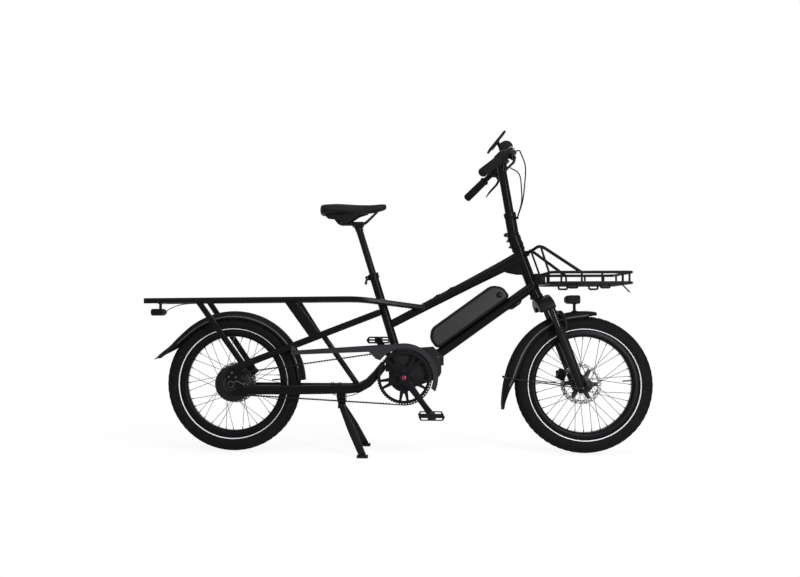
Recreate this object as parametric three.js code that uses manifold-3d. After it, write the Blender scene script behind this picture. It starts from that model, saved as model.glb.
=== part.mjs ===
// Longtail cargo bike with a mid motor and belt drive, in millimetres.
// +X is forward, +Y is the bike's left, +Z is up. The origin is the middle of its footprint.
import * as THREE from "three";
import { mergeVertices } from "three/addons/utils/BufferGeometryUtils.js";
import Module from "manifold-3d";

const wasm = await Module();
wasm.setup();

// Clearances shared by every fit
const weldGap = 0.3; // between two pieces that are welded, bolted or seated on each other
const runningGap = 0.6; // between a turning piece and what carries it
const overrun = 4; // how far a cutting tool reaches past the faces it opens

// Edge bevels
const castBevel = 4; // on the motor, the lights and the battery's case
const plateBevel = 3; // on forged plates
const armBevel = 2.5; // on the cranks

// Wheels and overall length
const wheelbase = 1355;
const tyreRadius = 264;
const tyreWidth = 61;
const tyreWall = 5;
const rackOverhang = 332; // from the rear axle back to the tail of the rack
const rimOuterRadius = 208;
const rimInnerRadius = 183;
const rimWidth = 36;
const rimWall = 2.5;
const rimWellRadius = 198;
const spokeRadius = 1.25;
const spokeCount = 32;
const wheelSides = 26;
const flangeThickness = 4;
const rearAxleX = (rackOverhang - wheelbase - tyreRadius) / 2;
const frontAxleX = rearAxleX + wheelbase;
const rotorSides = 25;

// Head tube and steering axis
const headTopBack = 246.5;
const headTopZ = 792;
const headBottomBack = 174.5;
const headBottomZ = 597;
const headTubeRadius = 22;
const headBoreRadius = 16;
const steererRadius = 14.3;
const headRingHeight = 12;
const headRingRadius = 25;

// Seat tube, seatpost and saddle
const seatCollarX = -98.6;
const seatCollarZ = 693;
const seatTubeFootX = -12;
const seatTubeFootZ = 410;
const seatTubeRadius = 17.5;
const seatPostRadius = 13.6;
const seatPostOut = 196; // from the collar up to the saddle clamp
const seatPostIn = 120; // below the collar
const collarHeight = 22;
const collarRadius = 21.5;
const collarEar = 14;
const leverLength = 62;
const leverThickness = 7;
const saddleTailX = -304;
const saddleLength = 262;
const saddleHalfWidth = 80;
const saddleTopZ = 966;
const saddleDepth = 46;
const saddleNoseDepth = 30;
const saddleDip = 9;
const saddleRailRadius = 3.5;
const saddleRailSpread = 22;
const saddleRailDrop = 16;
const saddleClampLength = 46;
const saddleClampHeight = 20;
const saddleClampWidth = 44;

// Main tubes
const topTubeRearX = -24;
const topTubeRearZ = 497;
const topTubeFrontBack = 233.5;
const topTubeFrontZ = 757;
const topTubeRearRadius = 16;
const topTubeFrontRadius = 27;
const gussetReach = 62;
const gussetDrop = 70;
const gussetThickness = 14;
const downTubeLowX = 150;
const downTubeLowZ = 375;
const downTubeHighBack = 189.5;
const downTubeHighZ = 643.4;
const downTubeHalfDepth = 19;
const downTubeHalfWidth = 25;
const motorBlisterLength = 70; // the swelling under the down tube behind the head
const motorBlisterDepth = 14;

// Bottom bracket, motor and belt drive
const bracketX = 21.5;
const bracketZ = 293;
const beltPitch = 11;
const chainringTeeth = 60;
const sprocketTeeth = 22;
const beltWidth = 11;
const beltLineY = -56;
const beltBack = 2;
const beltRoot = 0.8;
const beltToothDepth = 3;
const beltFitGap = 0.7;
const toothStartRing = 34; // the straight run is plain this near the wheel it leaves
const toothStartSprocket = 24;
const chainringWidth = 9;
const chainringRimDepth = 14;
const chainringHubRadius = 40;
const spindleRadius = 11;
const spindleFlangeRadius = 30;
const crankLength = 170;
const crankAngle = -53.7;
const crankInnerY = 71;
const crankThickness = 15;
const crankBossRadius = 18;
const crankTipRadius = 14;
const pedalInnerY = 98;
const pedalWidth = 90;
const pedalLength = 98;
const pedalHeight = 26;
const pedalAxleRadius = 5;
const pedalBarrelRadius = 11;
const pedalRail = 5;
const motorHalfWidth = 38;
const motorBodyRadius = 58;
const motorNoseX = 166;
const motorNoseTopZ = 372;
const motorNoseLowZ = 306;
const motorTopZ = 388;
const motorRearX = -40;
const motorBoreRadius = 13;
const motorCoverProud = 5;
const bracketShellThickness = 9;
const bracketHalfWidth = 34;
const guardOuterRadius = 129;
const guardInnerRadius = 111;
const guardFaceY = -66;
const guardWall = 2.5;
const guardDepth = 17;
const guardTailX = -413;
const guardTailZ = 393;
const guardBarDepth = 15;
const guardPanelX = -62;
const guardPanelZ = 356;
const guardTabLength = 16;

// Stays, struts and rack
const stayRearY = 74;
const chainstayDepth = 37;
const chainstayWidth = 19;
const chainstayZ = 244;
const chainstayStartAhead = 46; // ahead of the rear axle
const chainstayKneeX = -150;
const chainstayKneeY = 43;
const chainstayTopX = -55;
const chainstayTopY = 30;
const chainstayRise = 94;
const seatstayRadius = 13;
const seatstayWidth = 18;
const seatstayRearAhead = 11.5;
const seatstayRearZ = 326;
const seatstayFrontX = -74;
const seatstayFrontZ = 541;
const seatstayFrontY = 22;
const dropoutLength = 94;
const dropoutHeight = 114;
const dropoutThickness = 7;
const dropoutInnerY = 67.5;
const dropoutBoreRadius = 6;
const rackTailZ = 586;
const rackBendX = -153;
const rackBendZ = 593;
const rackHalfWidth = 100;
const rackRailHalf = 10.5;
const rackFrontX = 102;
const rackFrontZ = 560;
const rackFrontY = 12;
const crossTubeRadius = 9;
const tailCrossInset = 35.5;
const frontCrossAhead = 223.5;
const rearStrutTopBehind = 114.5;
const rearStrutFootAhead = 55.5;
const rearStrutWidth = 34;
const rearStrutThickness = 16;
const frontStrutTopAhead = 227.5;
const frontStrutFootAhead = 324.5;
const frontStrutWidth = 40;
const frontStrutThickness = 16;
const braceTopAhead = 347.5;
const braceFootX = -150;
const braceRadius = 7.5;
const braceY = 41;

// Axles and hubs
const axleRadius = 5;
const axleHalfLength = 88;
const axleNutRadius = 11;
const axleNutThickness = 9;
const rearHubRadius = 62;
const rearHubFlangeRadius = 70;
const rearHubHalfWidth = 34;
const rearHubEndRadius = 24;
const rearHubEndY = 47;
const frontHubRadius = 20;
const frontHubFlangeRadius = 29;
const frontHubHalfWidth = 30;
const frontHubEndY = 47;
const frontHubEndRadius = 12;
const rotorRadius = 80;
const rotorThickness = 2;
const rotorBand = 14;
const rotorY = 41;
const sprocketWidth = 12;

// Brake calipers
const caliperLength = 44;
const caliperDepth = 30;
const caliperThickness = 26;
const caliperSlot = 5;

// Fenders
const fenderRadius = 283;
const fenderHalfWidth = 33;
const fenderDrop = 14;
const fenderWall = 2.5;
const fenderFlapRadius = 329;
const fenderStayRadius = 3;
const bridgeAngle = 32;

// Fork, measured in the steering frame: x ahead of the axis, z along it from the lower head cup
const forkLegX = 28;
const forkLegY = 62;
const crownTopZ = -0.6;
const crownBottomZ = -56;
const crownHalfLength = 25;
const stanchionRadius = 14;
const stanchionFootZ = -262;
const lowerTopZ = -136;
const lowerFootZ = -392;
const lowerTopRadius = 19;
const lowerRadius = 17;
const lowerBoreRadius = 14.6;
const archRadius = 8;
const archX = 60;
const archRise = 54; // above the top of the lowers
const forkLugThickness = 9;
const forkLugRadius = 17;
const forkTravel = 24;
const forkAxleHalfLength = 74;
const forkAxleLever = 44;

// Stem, handlebar and controls
const stemBaseRadius = 25;
const stemPostRadius = 17;
const stemSleeveRadius = 21.5;
const stemSleeveTopZ = 928;
const stemClampBack = 309.5;
const stemClampZ = 1118;
const stemClampRadius = 20;
const stemClampHalfWidth = 24;
const stemKnobRadius = 8;
const stemKnobLength = 24;
const barRadius = 11.1;
const barCentreBack = 303.5;
const barCentreZ = 1138;
const barCentreHalf = 78;
const barRiseBack = 287.5;
const barRiseY = 120;
const barRiseZ = 1152;
const barBendBack = 289.5;
const barBendY = 172;
const barBendZ = 1146;
const barEndBack = 413.5;
const barEndY = 330;
const barEndZ = 1034;
const barBendRound = 34;
const gripRadius = 16.5;
const gripLength = 124;
const shifterLength = 44;
const shifterRadius = 20;
const controlGap = 1.2;
const brakeClampRadius = 17;
const brakeClampLength = 16;
const brakeBodyLength = 46;
const brakeBodyRadius = 10;
const brakePivotReach = 34;
const brakeLeverLength = 118;
const brakeLeverReach = 62;
const brakeLeverHalf = 5;
const brakeLeverDroop = 21.6;
const displayLength = 100;
const displayWidth = 66;
const displayThickness = 9;
const displayBack = 327.5;
const displayZ = 1206;
const displayTilt = -51;
const displayArmRadius = 7;
const displayHubRadius = 24;
const displayHubRise = 37; // above the bar
const displayHubWidth = 26;
const hoseRadius = 2.5;

// Front rack
const trayRearBack = 145.5;
const trayLength = 299;
const trayHalfWidth = 150;
const trayLowZ = 651;
const trayHighZ = 690;
const trayTubeRadius = 5.5;
const trayCorner = 26;
const traySlatRadius = 4;
const traySlatCount = 5;
const trayPostCount = 4;
const trayPlateWidth = 34;
const hoopCornerBack = 179.5;
const hoopCornerY = 118;
const hoopCornerZ = 793;
const hoopHeadBack = 211.5;
const hoopHeadY = 22;
const hoopTubeRadius = 6;
const hoopFootBack = 35.5;
const bracketLoopLength = 34;
const bracketLoopDrop = 17;
const bracketLoopBar = 4;

// Lights
const headlightRearBack = 68.5;
const headlightLength = 56;
const headlightHalfWidth = 30;
const headlightLowZ = 578;
const headlightHeight = 26;
const headlightStemRadius = 6;
const tailLightLength = 50;
const tailLightHeight = 27;
const tailLightHalfWidth = 32;
const tailLightRearInset = 6.5;
const tailLightTopZ = 556;

// Battery, measured along and square to the down tube
const batteryStart = 15;
const batteryHeadClear = 99.7; // between its front end and the end of the down tube
const batteryDepth = 76;
const batteryHalfWidth = 45;
const batteryCorner = 30;
const batteryRim = 10;
const batteryRimProud = 3;
const railHeight = 8;
const railSink = 1; // how deep the battery rail is let into the down tube
const railHalfWidth = 18;
const railInset = 24;

// Stand
const standX = -220;
const standPivotZ = 181;
const standBracketLength = 34;
const standPinRadius = 7;
const standTubeRadius = 12;
const standTubeHalf = 36;
const standCheekThickness = 6;
const standFootX = -134;
const standFootY = 150;
const standLegTopWidth = 20;
const standLegWidth = 34;
const standLegThickness = 15;
const standFootLength = 42;
const standFootHeight = 10;

// Places along the bike, counted back from the front axle
const headTopX = frontAxleX - headTopBack;
const headBottomX = frontAxleX - headBottomBack;
const topTubeFrontX = frontAxleX - topTubeFrontBack;
const downTubeHighX = frontAxleX - downTubeHighBack;
const stemClampX = frontAxleX - stemClampBack;
const barCentreX = frontAxleX - barCentreBack;
const barRiseX = frontAxleX - barRiseBack;
const barBendX = frontAxleX - barBendBack;
const barEndX = frontAxleX - barEndBack;
const displayX = frontAxleX - displayBack;
const trayRearX = frontAxleX - trayRearBack;
const hoopCornerX = frontAxleX - hoopCornerBack;
const hoopHeadX = frontAxleX - hoopHeadBack;
const hoopFootX = frontAxleX - hoopFootBack;
const headlightRearX = frontAxleX - headlightRearBack;

// Places along the bike, counted from the rear axle or from the tail of the rack
const seatstayRearX = rearAxleX + seatstayRearAhead;
const rearStrutTopX = rearAxleX - rearStrutTopBehind;
const rearStrutFootX = rearAxleX + rearStrutFootAhead;
const frontStrutTopX = rearAxleX + frontStrutTopAhead;
const frontStrutFootX = rearAxleX + frontStrutFootAhead;
const braceTopX = rearAxleX + braceTopAhead;
const tailCrossX = rearAxleX - rackOverhang + tailCrossInset;
const frontCrossX = rearAxleX + frontCrossAhead;
const tailLightRearX = rearAxleX - rackOverhang + tailLightRearInset;

// Finishes
const satinBlack = { color: 0x1b1c1e, roughness: 0.5, metalness: 0.35 };
const rubber = { color: 0x161616, roughness: 0.85, metalness: 0 };
const plastic = { color: 0x1a1b1c, roughness: 0.6, metalness: 0 };
const bareMetal = { color: 0x6d6f72, roughness: 0.35, metalness: 0.9 };
const greyShell = { color: 0x35373a, roughness: 0.55, metalness: 0.1 };
const cover = { color: 0x202022, roughness: 0.7, metalness: 0 };

// Geometry helpers
const V = (x, y, z) => new THREE.Vector3(x, y, z);
const turn = (degrees) => THREE.MathUtils.degToRad(degrees);
const weldTolerance = 1e-4;

function bare(geometry) {
  const copy = geometry.clone();
  for (const name of Object.keys(copy.attributes)) {
    if (name !== "position") copy.deleteAttribute(name);
  }
  const merged = mergeVertices(copy, weldTolerance);
  const kept = [];
  for (let i = 0; i < merged.index.count; i += 3) {
    const [a, b, c] = [0, 1, 2].map((k) => merged.index.getX(i + k));
    if (a !== b && b !== c && a !== c) kept.push(a, b, c);
  }
  merged.setIndex(kept);
  return merged;
}

function solidOf(geometry) {
  const plain = bare(geometry);
  return new wasm.Manifold(
    new wasm.Mesh({
      numProp: 3,
      vertProperties: new Float32Array(plain.attributes.position.array),
      triVerts: new Uint32Array(plain.index.array),
    }),
  );
}

function geometryOf(solid) {
  const mesh = solid.getMesh();
  const geometry = new THREE.BufferGeometry();
  const places = new Float32Array(mesh.numVert * 3);
  for (let i = 0; i < mesh.numVert; i++) {
    places.set(mesh.vertProperties.subarray(i * mesh.numProp, i * mesh.numProp + 3), i * 3);
  }
  geometry.setAttribute("position", new THREE.BufferAttribute(places, 3));
  geometry.setIndex(new THREE.BufferAttribute(new Uint32Array(mesh.triVerts), 1));
  return geometry;
}

function join(...geometries) {
  return geometryOf(geometries.map(solidOf).reduce((whole, next) => whole.add(next)));
}

function cut(geometry, ...tools) {
  return geometryOf(tools.map(solidOf).reduce((left, tool) => left.subtract(tool), solidOf(geometry)));
}

// The biggest solid of a geometry that a cut has left in several.
function largest(geometry) {
  const bodies = solidOf(geometry).decompose();
  bodies.sort((a, b) => b.volume() - a.volume());
  return geometryOf(bodies[0]);
}

// A copy on the other side of the bike's middle plane, with its faces still pointing out.
function mirrored(geometry) {
  const copy = bare(geometry);
  copy.scale(1, -1, 1);
  const index = copy.index.array;
  const flipped = [];
  for (let i = 0; i < index.length; i += 3) flipped.push(index[i], index[i + 2], index[i + 1]);
  copy.setIndex(flipped);
  return copy;
}

// A straight round bar between two points.
function rod(from, to, radius, endRadius = radius, sides = 10) {
  const span = to.clone().sub(from);
  const geometry = new THREE.CylinderGeometry(endRadius, radius, span.length(), sides);
  const lie = new THREE.Quaternion().setFromUnitVectors(V(0, 1, 0), span.normalize());
  geometry.applyQuaternion(lie);
  const middle = from.clone().add(to).multiplyScalar(0.5);
  geometry.translate(middle.x, middle.y, middle.z);
  return geometry;
}

// A round disc or drum about the cross axis, at x and z, from y to y + width.
function drum(x, z, y, width, radius, sides = 16) {
  const geometry = new THREE.CylinderGeometry(radius, radius, width, sides);
  geometry.translate(x, y + width / 2, z);
  return geometry;
}

function block(x, y, z, length, width, height) {
  const geometry = new THREE.BoxGeometry(length, width, height);
  geometry.translate(x, y, z);
  return geometry;
}

// A path through its points that a tube follows ring by ring.
class Route extends THREE.Curve {
  constructor(points) {
    super();
    this.points = points;
  }
  getPoint(t) {
    const place = t * (this.points.length - 1);
    const low = Math.min(Math.floor(place), this.points.length - 2);
    return this.points[low].clone().lerp(this.points[low + 1], place - low);
  }
  getPointAt(t) {
    return this.getPoint(t);
  }
  getTangentAt(t) {
    const i = Math.round(t * (this.points.length - 1));
    const before = this.points[Math.max(i - 1, 0)];
    const after = this.points[Math.min(i + 1, this.points.length - 1)];
    return after.clone().sub(before).normalize();
  }
  getSpacedPoints() {
    return this.points.map((point) => point.clone());
  }
}

// The same run of points with each corner rounded off.
function rounded(points, bend, steps = 4) {
  const path = [points[0]];
  for (let i = 1; i < points.length - 1; i++) {
    const back = points[i - 1].clone().sub(points[i]);
    const ahead = points[i + 1].clone().sub(points[i]);
    const reach = Math.min(bend, back.length() / 2, ahead.length() / 2);
    const start = points[i].clone().add(back.setLength(reach));
    const end = points[i].clone().add(ahead.setLength(reach));
    const corner = new THREE.QuadraticBezierCurve3(start, points[i], end);
    path.push(...corner.getPoints(steps));
  }
  path.push(points[points.length - 1]);
  return path.filter((point, i) => i === 0 || point.distanceTo(path[i - 1]) > weldTolerance * 10);
}

function tube(points, radius, sides = 10) {
  const section = new THREE.Shape();
  section.absarc(0, 0, radius, 0, Math.PI * 2);
  const geometry = new THREE.ExtrudeGeometry(section, {
    steps: points.length - 1,
    extrudePath: new Route(points),
    curveSegments: sides / 2,
    bevelEnabled: false,
  });
  return bare(geometry);
}

// Skins a closed section along stations that each hold a centre, a side vector and an up vector.
function loft(stations, sectionAt) {
  const rings = stations.map((station, i) =>
    sectionAt(i / (stations.length - 1), station).map(([side, up]) =>
      station.at.clone().addScaledVector(station.side, side).addScaledVector(station.up, up),
    ),
  );
  const around = rings[0].length;
  const places = rings.flat().flatMap((point) => point.toArray());
  const faces = [];
  for (let r = 0; r < rings.length - 1; r++) {
    for (let k = 0; k < around; k++) {
      const a = r * around + k;
      const b = r * around + ((k + 1) % around);
      faces.push(a, b, a + around, b, b + around, a + around);
    }
  }
  const cap = (ringIndex, t) => {
    const outline = sectionAt(t, stations[ringIndex]).map(([side, up]) => new THREE.Vector2(side, up));
    const corners = THREE.ShapeUtils.triangulateShape(outline, []);
    return THREE.ShapeUtils.area(outline) < 0 ? corners.map(([a, b, c]) => [a, c, b]) : corners;
  };
  const last = (rings.length - 1) * around;
  for (const [a, b, c] of cap(0, 0)) faces.push(a, c, b);
  for (const [a, b, c] of cap(rings.length - 1, 1)) faces.push(last + a, last + b, last + c);
  const geometry = new THREE.BufferGeometry();
  geometry.setAttribute("position", new THREE.Float32BufferAttribute(places, 3));
  geometry.setIndex(faces);
  if (signedVolume(geometry) < 0) {
    const turned = [];
    for (let i = 0; i < faces.length; i += 3) turned.push(faces[i], faces[i + 2], faces[i + 1]);
    geometry.setIndex(turned);
  }
  return geometry;
}

function signedVolume(geometry) {
  const position = geometry.attributes.position;
  const index = geometry.index.array;
  const corners = [V(0, 0, 0), V(0, 0, 0), V(0, 0, 0)];
  let volume = 0;
  for (let i = 0; i < index.length; i += 3) {
    corners.forEach((corner, k) => corner.fromBufferAttribute(position, index[i + k]));
    volume += corners[0].dot(corners[1].clone().cross(corners[2])) / 6;
  }
  return volume;
}

// Stations along a path whose sections keep their sides level with the given up direction.
function stationsAlong(points, up = V(0, 0, 1)) {
  return points.map((at, i) => {
    const before = points[Math.max(i - 1, 0)];
    const after = points[Math.min(i + 1, points.length - 1)];
    const ahead = after.clone().sub(before).normalize();
    const side = up.clone().cross(ahead).normalize();
    return { at, ahead, side, up: ahead.clone().cross(side).normalize() };
  });
}

function oval(halfWidth, halfHeight, sides = 12, power = 0.75) {
  return Array.from({ length: sides }, (_, k) => {
    const angle = ((k + 0.5) / sides) * Math.PI * 2;
    const c = Math.cos(angle);
    const s = Math.sin(angle);
    return [
      halfWidth * Math.sign(c) * Math.abs(c) ** power,
      halfHeight * Math.sign(s) * Math.abs(s) ** power,
    ];
  });
}

// A flat outline in the bike's side view, pushed from y to y + width.
function sidePlate(outline, y, width, holes = [], bevel = 0) {
  const shape = new THREE.Shape(outline.map(([x, z]) => new THREE.Vector2(x, z)));
  for (const hole of holes) shape.holes.push(
    new THREE.Path(hole.map(([x, z]) => new THREE.Vector2(x, z))),
  );
  const geometry = new THREE.ExtrudeGeometry(shape, {
    depth: width - 2 * bevel,
    bevelEnabled: bevel > 0,
    bevelThickness: bevel,
    bevelSize: bevel,
    bevelOffset: -bevel,
    bevelSegments: 1,
  });
  geometry.rotateX(Math.PI / 2);
  geometry.translate(0, y + width - bevel, 0);
  return bare(geometry);
}

const arcPoints = (x, z, radius, from, to, steps) =>
  Array.from({ length: steps + 1 }, (_, i) => {
    const angle = turn(from + ((to - from) * i) / steps);
    return [x + radius * Math.cos(angle), z + radius * Math.sin(angle)];
  });

// A whole circle as an outline of so many points.
const circlePoints = (x, z, radius, count) => arcPoints(x, z, radius, 0, 360 - 360 / count, count - 1);

const root = new THREE.Group();

function piece(name, geometry, finish, parent = root) {
  const mesh = new THREE.Mesh(geometry, new THREE.MeshStandardMaterial(finish));
  mesh.name = name;
  parent.add(mesh);
  return mesh;
}

// Main directions
const headTop = V(headTopX, 0, headTopZ);
const headBottom = V(headBottomX, 0, headBottomZ);
const headUp = headTop.clone().sub(headBottom).normalize();
const headAhead = V(headUp.z, 0, -headUp.x);
const headLength = headTop.distanceTo(headBottom);
const steer = (x, y, z) =>
  headBottom.clone().addScaledVector(headAhead, x).addScaledVector(headUp, z).add(V(0, y, 0));
const seatCollar = V(seatCollarX, 0, seatCollarZ);
const seatFoot = V(seatTubeFootX, 0, seatTubeFootZ);
const seatUp = seatCollar.clone().sub(seatFoot).normalize();
const seatAhead = V(seatUp.z, 0, -seatUp.x);
const downLow = V(downTubeLowX, 0, downTubeLowZ);
const downHigh = V(downTubeHighX, 0, downTubeHighZ);
const downAhead = downHigh.clone().sub(downLow).normalize();
const downUp = V(-downAhead.z, 0, downAhead.x);
const onDownTube = (along, y, above) =>
  downLow.clone().addScaledVector(downAhead, along).addScaledVector(downUp, above).add(V(0, y, 0));

// Head tube: a forged tube with a wider ring at each end for the headset cups
const headBore = rod(
  headBottom.clone().addScaledVector(headUp, -overrun),
  headTop.clone().addScaledVector(headUp, overrun),
  headBoreRadius,
);
const headShape = (grow) => rod(headBottom, headTop, headTubeRadius + grow, headTubeRadius + grow, 12);
const headRing = (at, grow) =>
  rod(
    at,
    at.clone().addScaledVector(headUp, headRingHeight),
    headRingRadius + grow,
    headRingRadius + grow,
    12,
  );
const headTopRingFoot = headTop.clone().addScaledVector(headUp, -headRingHeight);
const headTube = cut(
  join(headShape(0), headRing(headBottom, 0), headRing(headTopRingFoot, 0)),
  headBore,
);
piece("head_tube", headTube, satinBlack);
const headSolid = join(
  headShape(weldGap),
  headRing(headBottom, weldGap),
  headRing(headTopRingFoot, weldGap),
);

// Seat tube with its collar and the ears that the clamp lever draws together
const seatBoreRadius = seatPostRadius + runningGap;
const seatShape = (grow) => rod(seatFoot, seatCollar, seatTubeRadius + grow, seatTubeRadius + grow, 12);
const collarFoot = seatCollar.clone().addScaledVector(seatUp, -collarHeight);
const collarRing = rod(collarFoot, seatCollar, collarRadius, collarRadius, 12);
const collarMiddle = seatCollar.clone().addScaledVector(seatUp, -collarHeight / 2);
const earAt = collarMiddle.clone().addScaledVector(seatAhead, -collarRadius - collarEar / 3);
const ears = block(0, 0, 0, collarEar, collarEar, collarHeight * 0.8);
ears.applyMatrix4(new THREE.Matrix4().makeBasis(seatAhead, V(0, 1, 0), seatUp).setPosition(earAt));
const seatBore = rod(
  seatFoot.clone().addScaledVector(seatUp, -overrun),
  seatCollar.clone().addScaledVector(seatUp, overrun),
  seatBoreRadius,
  seatBoreRadius,
  16,
);
piece("seat_tube", cut(join(seatShape(0), collarRing, ears), seatBore), satinBlack);
const seatSolid = seatShape(weldGap);

// Top tube: it swells towards the head and carries a gusset under its front end
const topRear = V(topTubeRearX, 0, topTubeRearZ);
const topFront = V(topTubeFrontX, 0, topTubeFrontZ);
const topAhead = topFront.clone().sub(topRear).normalize();
const topPath = [0, 0.3, 0.62, 0.85, 1].map((share) => topRear.clone().lerp(topFront, share));
const topRadiusAt = (share) =>
  THREE.MathUtils.lerp(topTubeRearRadius, topTubeFrontRadius, share ** 1.6);
const topShape = (grow) =>
  loft(
    stationsAlong(topPath),
    (share) => oval(topRadiusAt(share) * 0.86 + grow, topRadiusAt(share) + grow, 12, 0.9),
  );
const gussetTop = topFront.clone().addScaledVector(topAhead, -gussetReach);
const gussetOutline = [
  [gussetTop.x - gussetReach * 0.4, gussetTop.z - topTubeFrontRadius * 0.9],
  [gussetTop.x, gussetTop.z - topTubeFrontRadius * 1.25],
  [topFront.x - gussetReach * 0.28, topFront.z - gussetDrop],
  [topFront.x + gussetReach * 0.3, topFront.z - gussetDrop],
  [topFront.x + gussetReach * 0.1, topFront.z],
];
const gusset = sidePlate(gussetOutline, -gussetThickness, gussetThickness * 2, [], gussetThickness / 3);
piece("top_tube", cut(join(topShape(0), gusset), headSolid, seatSolid), satinBlack);

// Down tube: a flattened tube with the battery rail on top and a cable cover under its front end
const downPath = [0, 0.5, 1].map((share) => downLow.clone().lerp(downHigh, share));
const downLength = downLow.distanceTo(downHigh);
const batteryLength = downLength - batteryStart - batteryHeadClear;
const downShape = (grow) =>
  loft(stationsAlong(downPath), () => oval(downTubeHalfWidth + grow, downTubeHalfDepth + grow, 12, 0.8));
const blisterPath = [0, 0.25, 0.75, 1].map((share) =>
  onDownTube(downLength - motorBlisterLength * (1.9 - share), 0, -downTubeHalfDepth * 0.8),
);
const blister = loft(stationsAlong(blisterPath), (share) => {
  const swell = Math.sin(Math.PI * (0.08 + 0.84 * share));
  return oval(downTubeHalfWidth * 0.7 * swell, motorBlisterDepth * swell, 8);
});
const railMiddle = downTubeHalfDepth + railHeight / 2 - railSink;
const railPath = [onDownTube(railInset, 0, railMiddle)];
railPath.push(onDownTube(batteryStart + batteryLength - railInset, 0, railMiddle));
const batteryRail = loft(
  stationsAlong(railPath),
  () => oval(railHalfWidth, railHeight / 2 + railSink, 8, 0.3),
);
const downTubeWhole = join(downShape(0), blister, batteryRail);

// Motor housing: a drum about the bottom bracket with a nose that reaches up to the down tube
const motorOutline = (grow) => [
  ...arcPoints(bracketX, bracketZ, motorBodyRadius + grow, 175, 318, 12),
  [motorNoseX - motorBodyRadius / 4 + grow / 2, motorNoseLowZ - motorBodyRadius / 3 - grow],
  [motorNoseX + grow, motorNoseLowZ],
  [motorNoseX + grow, motorNoseTopZ - motorBodyRadius / 4],
  [motorNoseX - motorBodyRadius / 5, motorNoseTopZ + grow],
  [bracketX + motorBodyRadius, motorTopZ + grow],
  [bracketX - motorBodyRadius / 3, motorTopZ + grow],
  [motorRearX - grow, motorTopZ - motorBodyRadius / 2],
];
const motorBore = drum(
  bracketX,
  bracketZ,
  -motorHalfWidth - motorCoverProud * 2,
  (motorHalfWidth + motorCoverProud * 2) * 2,
  motorBoreRadius,
  12,
);
const motorBody = sidePlate(motorOutline(0), -motorHalfWidth, motorHalfWidth * 2, [], castBevel);
const coverDrum = drum(
  bracketX,
  bracketZ,
  -motorHalfWidth - motorCoverProud,
  (motorHalfWidth + motorCoverProud) * 2,
  motorBodyRadius * 0.62,
  16,
);
piece("motor_housing", cut(join(motorBody, coverDrum), motorBore), greyShell);
const motorClear = sidePlate(
  motorOutline(weldGap),
  -motorHalfWidth - overrun,
  (motorHalfWidth + overrun) * 2,
);
piece("down_tube", cut(downTubeWhole, headSolid, topShape(weldGap), motorClear), satinBlack);

// Motor bracket: the cast shell that the seat tube, down tube and stays are welded to
const shellOutline = [
  [motorRearX - bracketShellThickness, motorTopZ - motorBodyRadius * 1.3],
  [motorRearX - bracketShellThickness, motorTopZ - motorBodyRadius * 0.4],
  [bracketX - motorBodyRadius / 2, motorTopZ + bracketShellThickness * 1.6],
  [bracketX + motorBodyRadius, motorTopZ + bracketShellThickness * 1.8],
  [motorNoseX - motorBodyRadius * 0.5, motorTopZ + bracketShellThickness * 2.2],
  [motorNoseX + bracketShellThickness, motorNoseTopZ],
  [motorNoseX + bracketShellThickness, motorNoseTopZ - motorBodyRadius * 0.6],
  [motorNoseX - bracketShellThickness, motorNoseTopZ - motorBodyRadius * 0.6],
  [bracketX, bracketZ + motorBodyRadius / 2],
  [motorRearX, motorTopZ - motorBodyRadius * 1.3],
];
const motorBracket = cut(
  sidePlate(shellOutline, -bracketHalfWidth, bracketHalfWidth * 2, [], plateBevel),
  motorClear,
  seatSolid,
  downShape(weldGap * 1.5),
  rod(seatFoot, seatFoot.clone().addScaledVector(seatUp, -collarHeight * 2), seatBoreRadius),
);
piece("motor_bracket", motorBracket, satinBlack);

// Chainstays with their dropouts: tall flattened tubes that run level and then climb to the bracket
const chainstayStartX = rearAxleX + chainstayStartAhead;
const chainstayRunShares = [0, 0.26, 0.49, 0.73, 0.91, 1];
const chainstayInShares = [0, 0.13, 0.36, 0.61, 0.86, 1];
const chainstayLiftShares = [0, 0, 0, 0.01, 0.02, 0.06];
const climbRunShares = [0.36, 0.7, 1];
const climbInShares = [0.38, 0.69, 1];
const climbRiseShares = [0.26, 0.62, 1];
const chainstayLevel = chainstayRunShares.map((share, i) =>
  V(
    THREE.MathUtils.lerp(chainstayStartX, chainstayKneeX, share),
    -THREE.MathUtils.lerp(stayRearY, chainstayKneeY, chainstayInShares[i]),
    chainstayZ + chainstayRise * chainstayLiftShares[i],
  ),
);
const chainstayClimb = climbRunShares.map((share, i) =>
  V(
    THREE.MathUtils.lerp(chainstayKneeX, chainstayTopX, share),
    -THREE.MathUtils.lerp(chainstayKneeY, chainstayTopY, climbInShares[i]),
    chainstayZ + chainstayRise * climbRiseShares[i],
  ),
);
const chainstayPath = [...chainstayLevel, ...chainstayClimb];
const chainstayShape = (grow) =>
  loft(stationsAlong(chainstayPath), (share) =>
    oval(
      (chainstayWidth / 2) * (1 - 0.16 * share) + grow,
      (chainstayDepth / 2) * (1 - 0.16 * share) + grow,
      12,
      0.6,
    ),
  );
const dropoutLengthShares = [
  -0.213,
  -0.149,
  0.213,
  0.766,
  0.787,
  0.468,
  0.362,
  0.468,
  0.404,
  -0.064,
  -0.17,
  -0.213,
];
const dropoutHeightShares = [
  -0.123,
  -0.246,
  -0.351,
  -0.333,
  -0.018,
  0.07,
  0.281,
  0.509,
  0.649,
  0.579,
  0.421,
  0.175,
];
const dropoutOutline = dropoutLengthShares.map((share, i) => [
  rearAxleX + dropoutLength * share,
  tyreRadius + dropoutHeight * dropoutHeightShares[i],
]);
const dropout = sidePlate(dropoutOutline, -dropoutInnerY - dropoutThickness, dropoutThickness, [
  circlePoints(rearAxleX, tyreRadius, dropoutBoreRadius, 12),
]);
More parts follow.
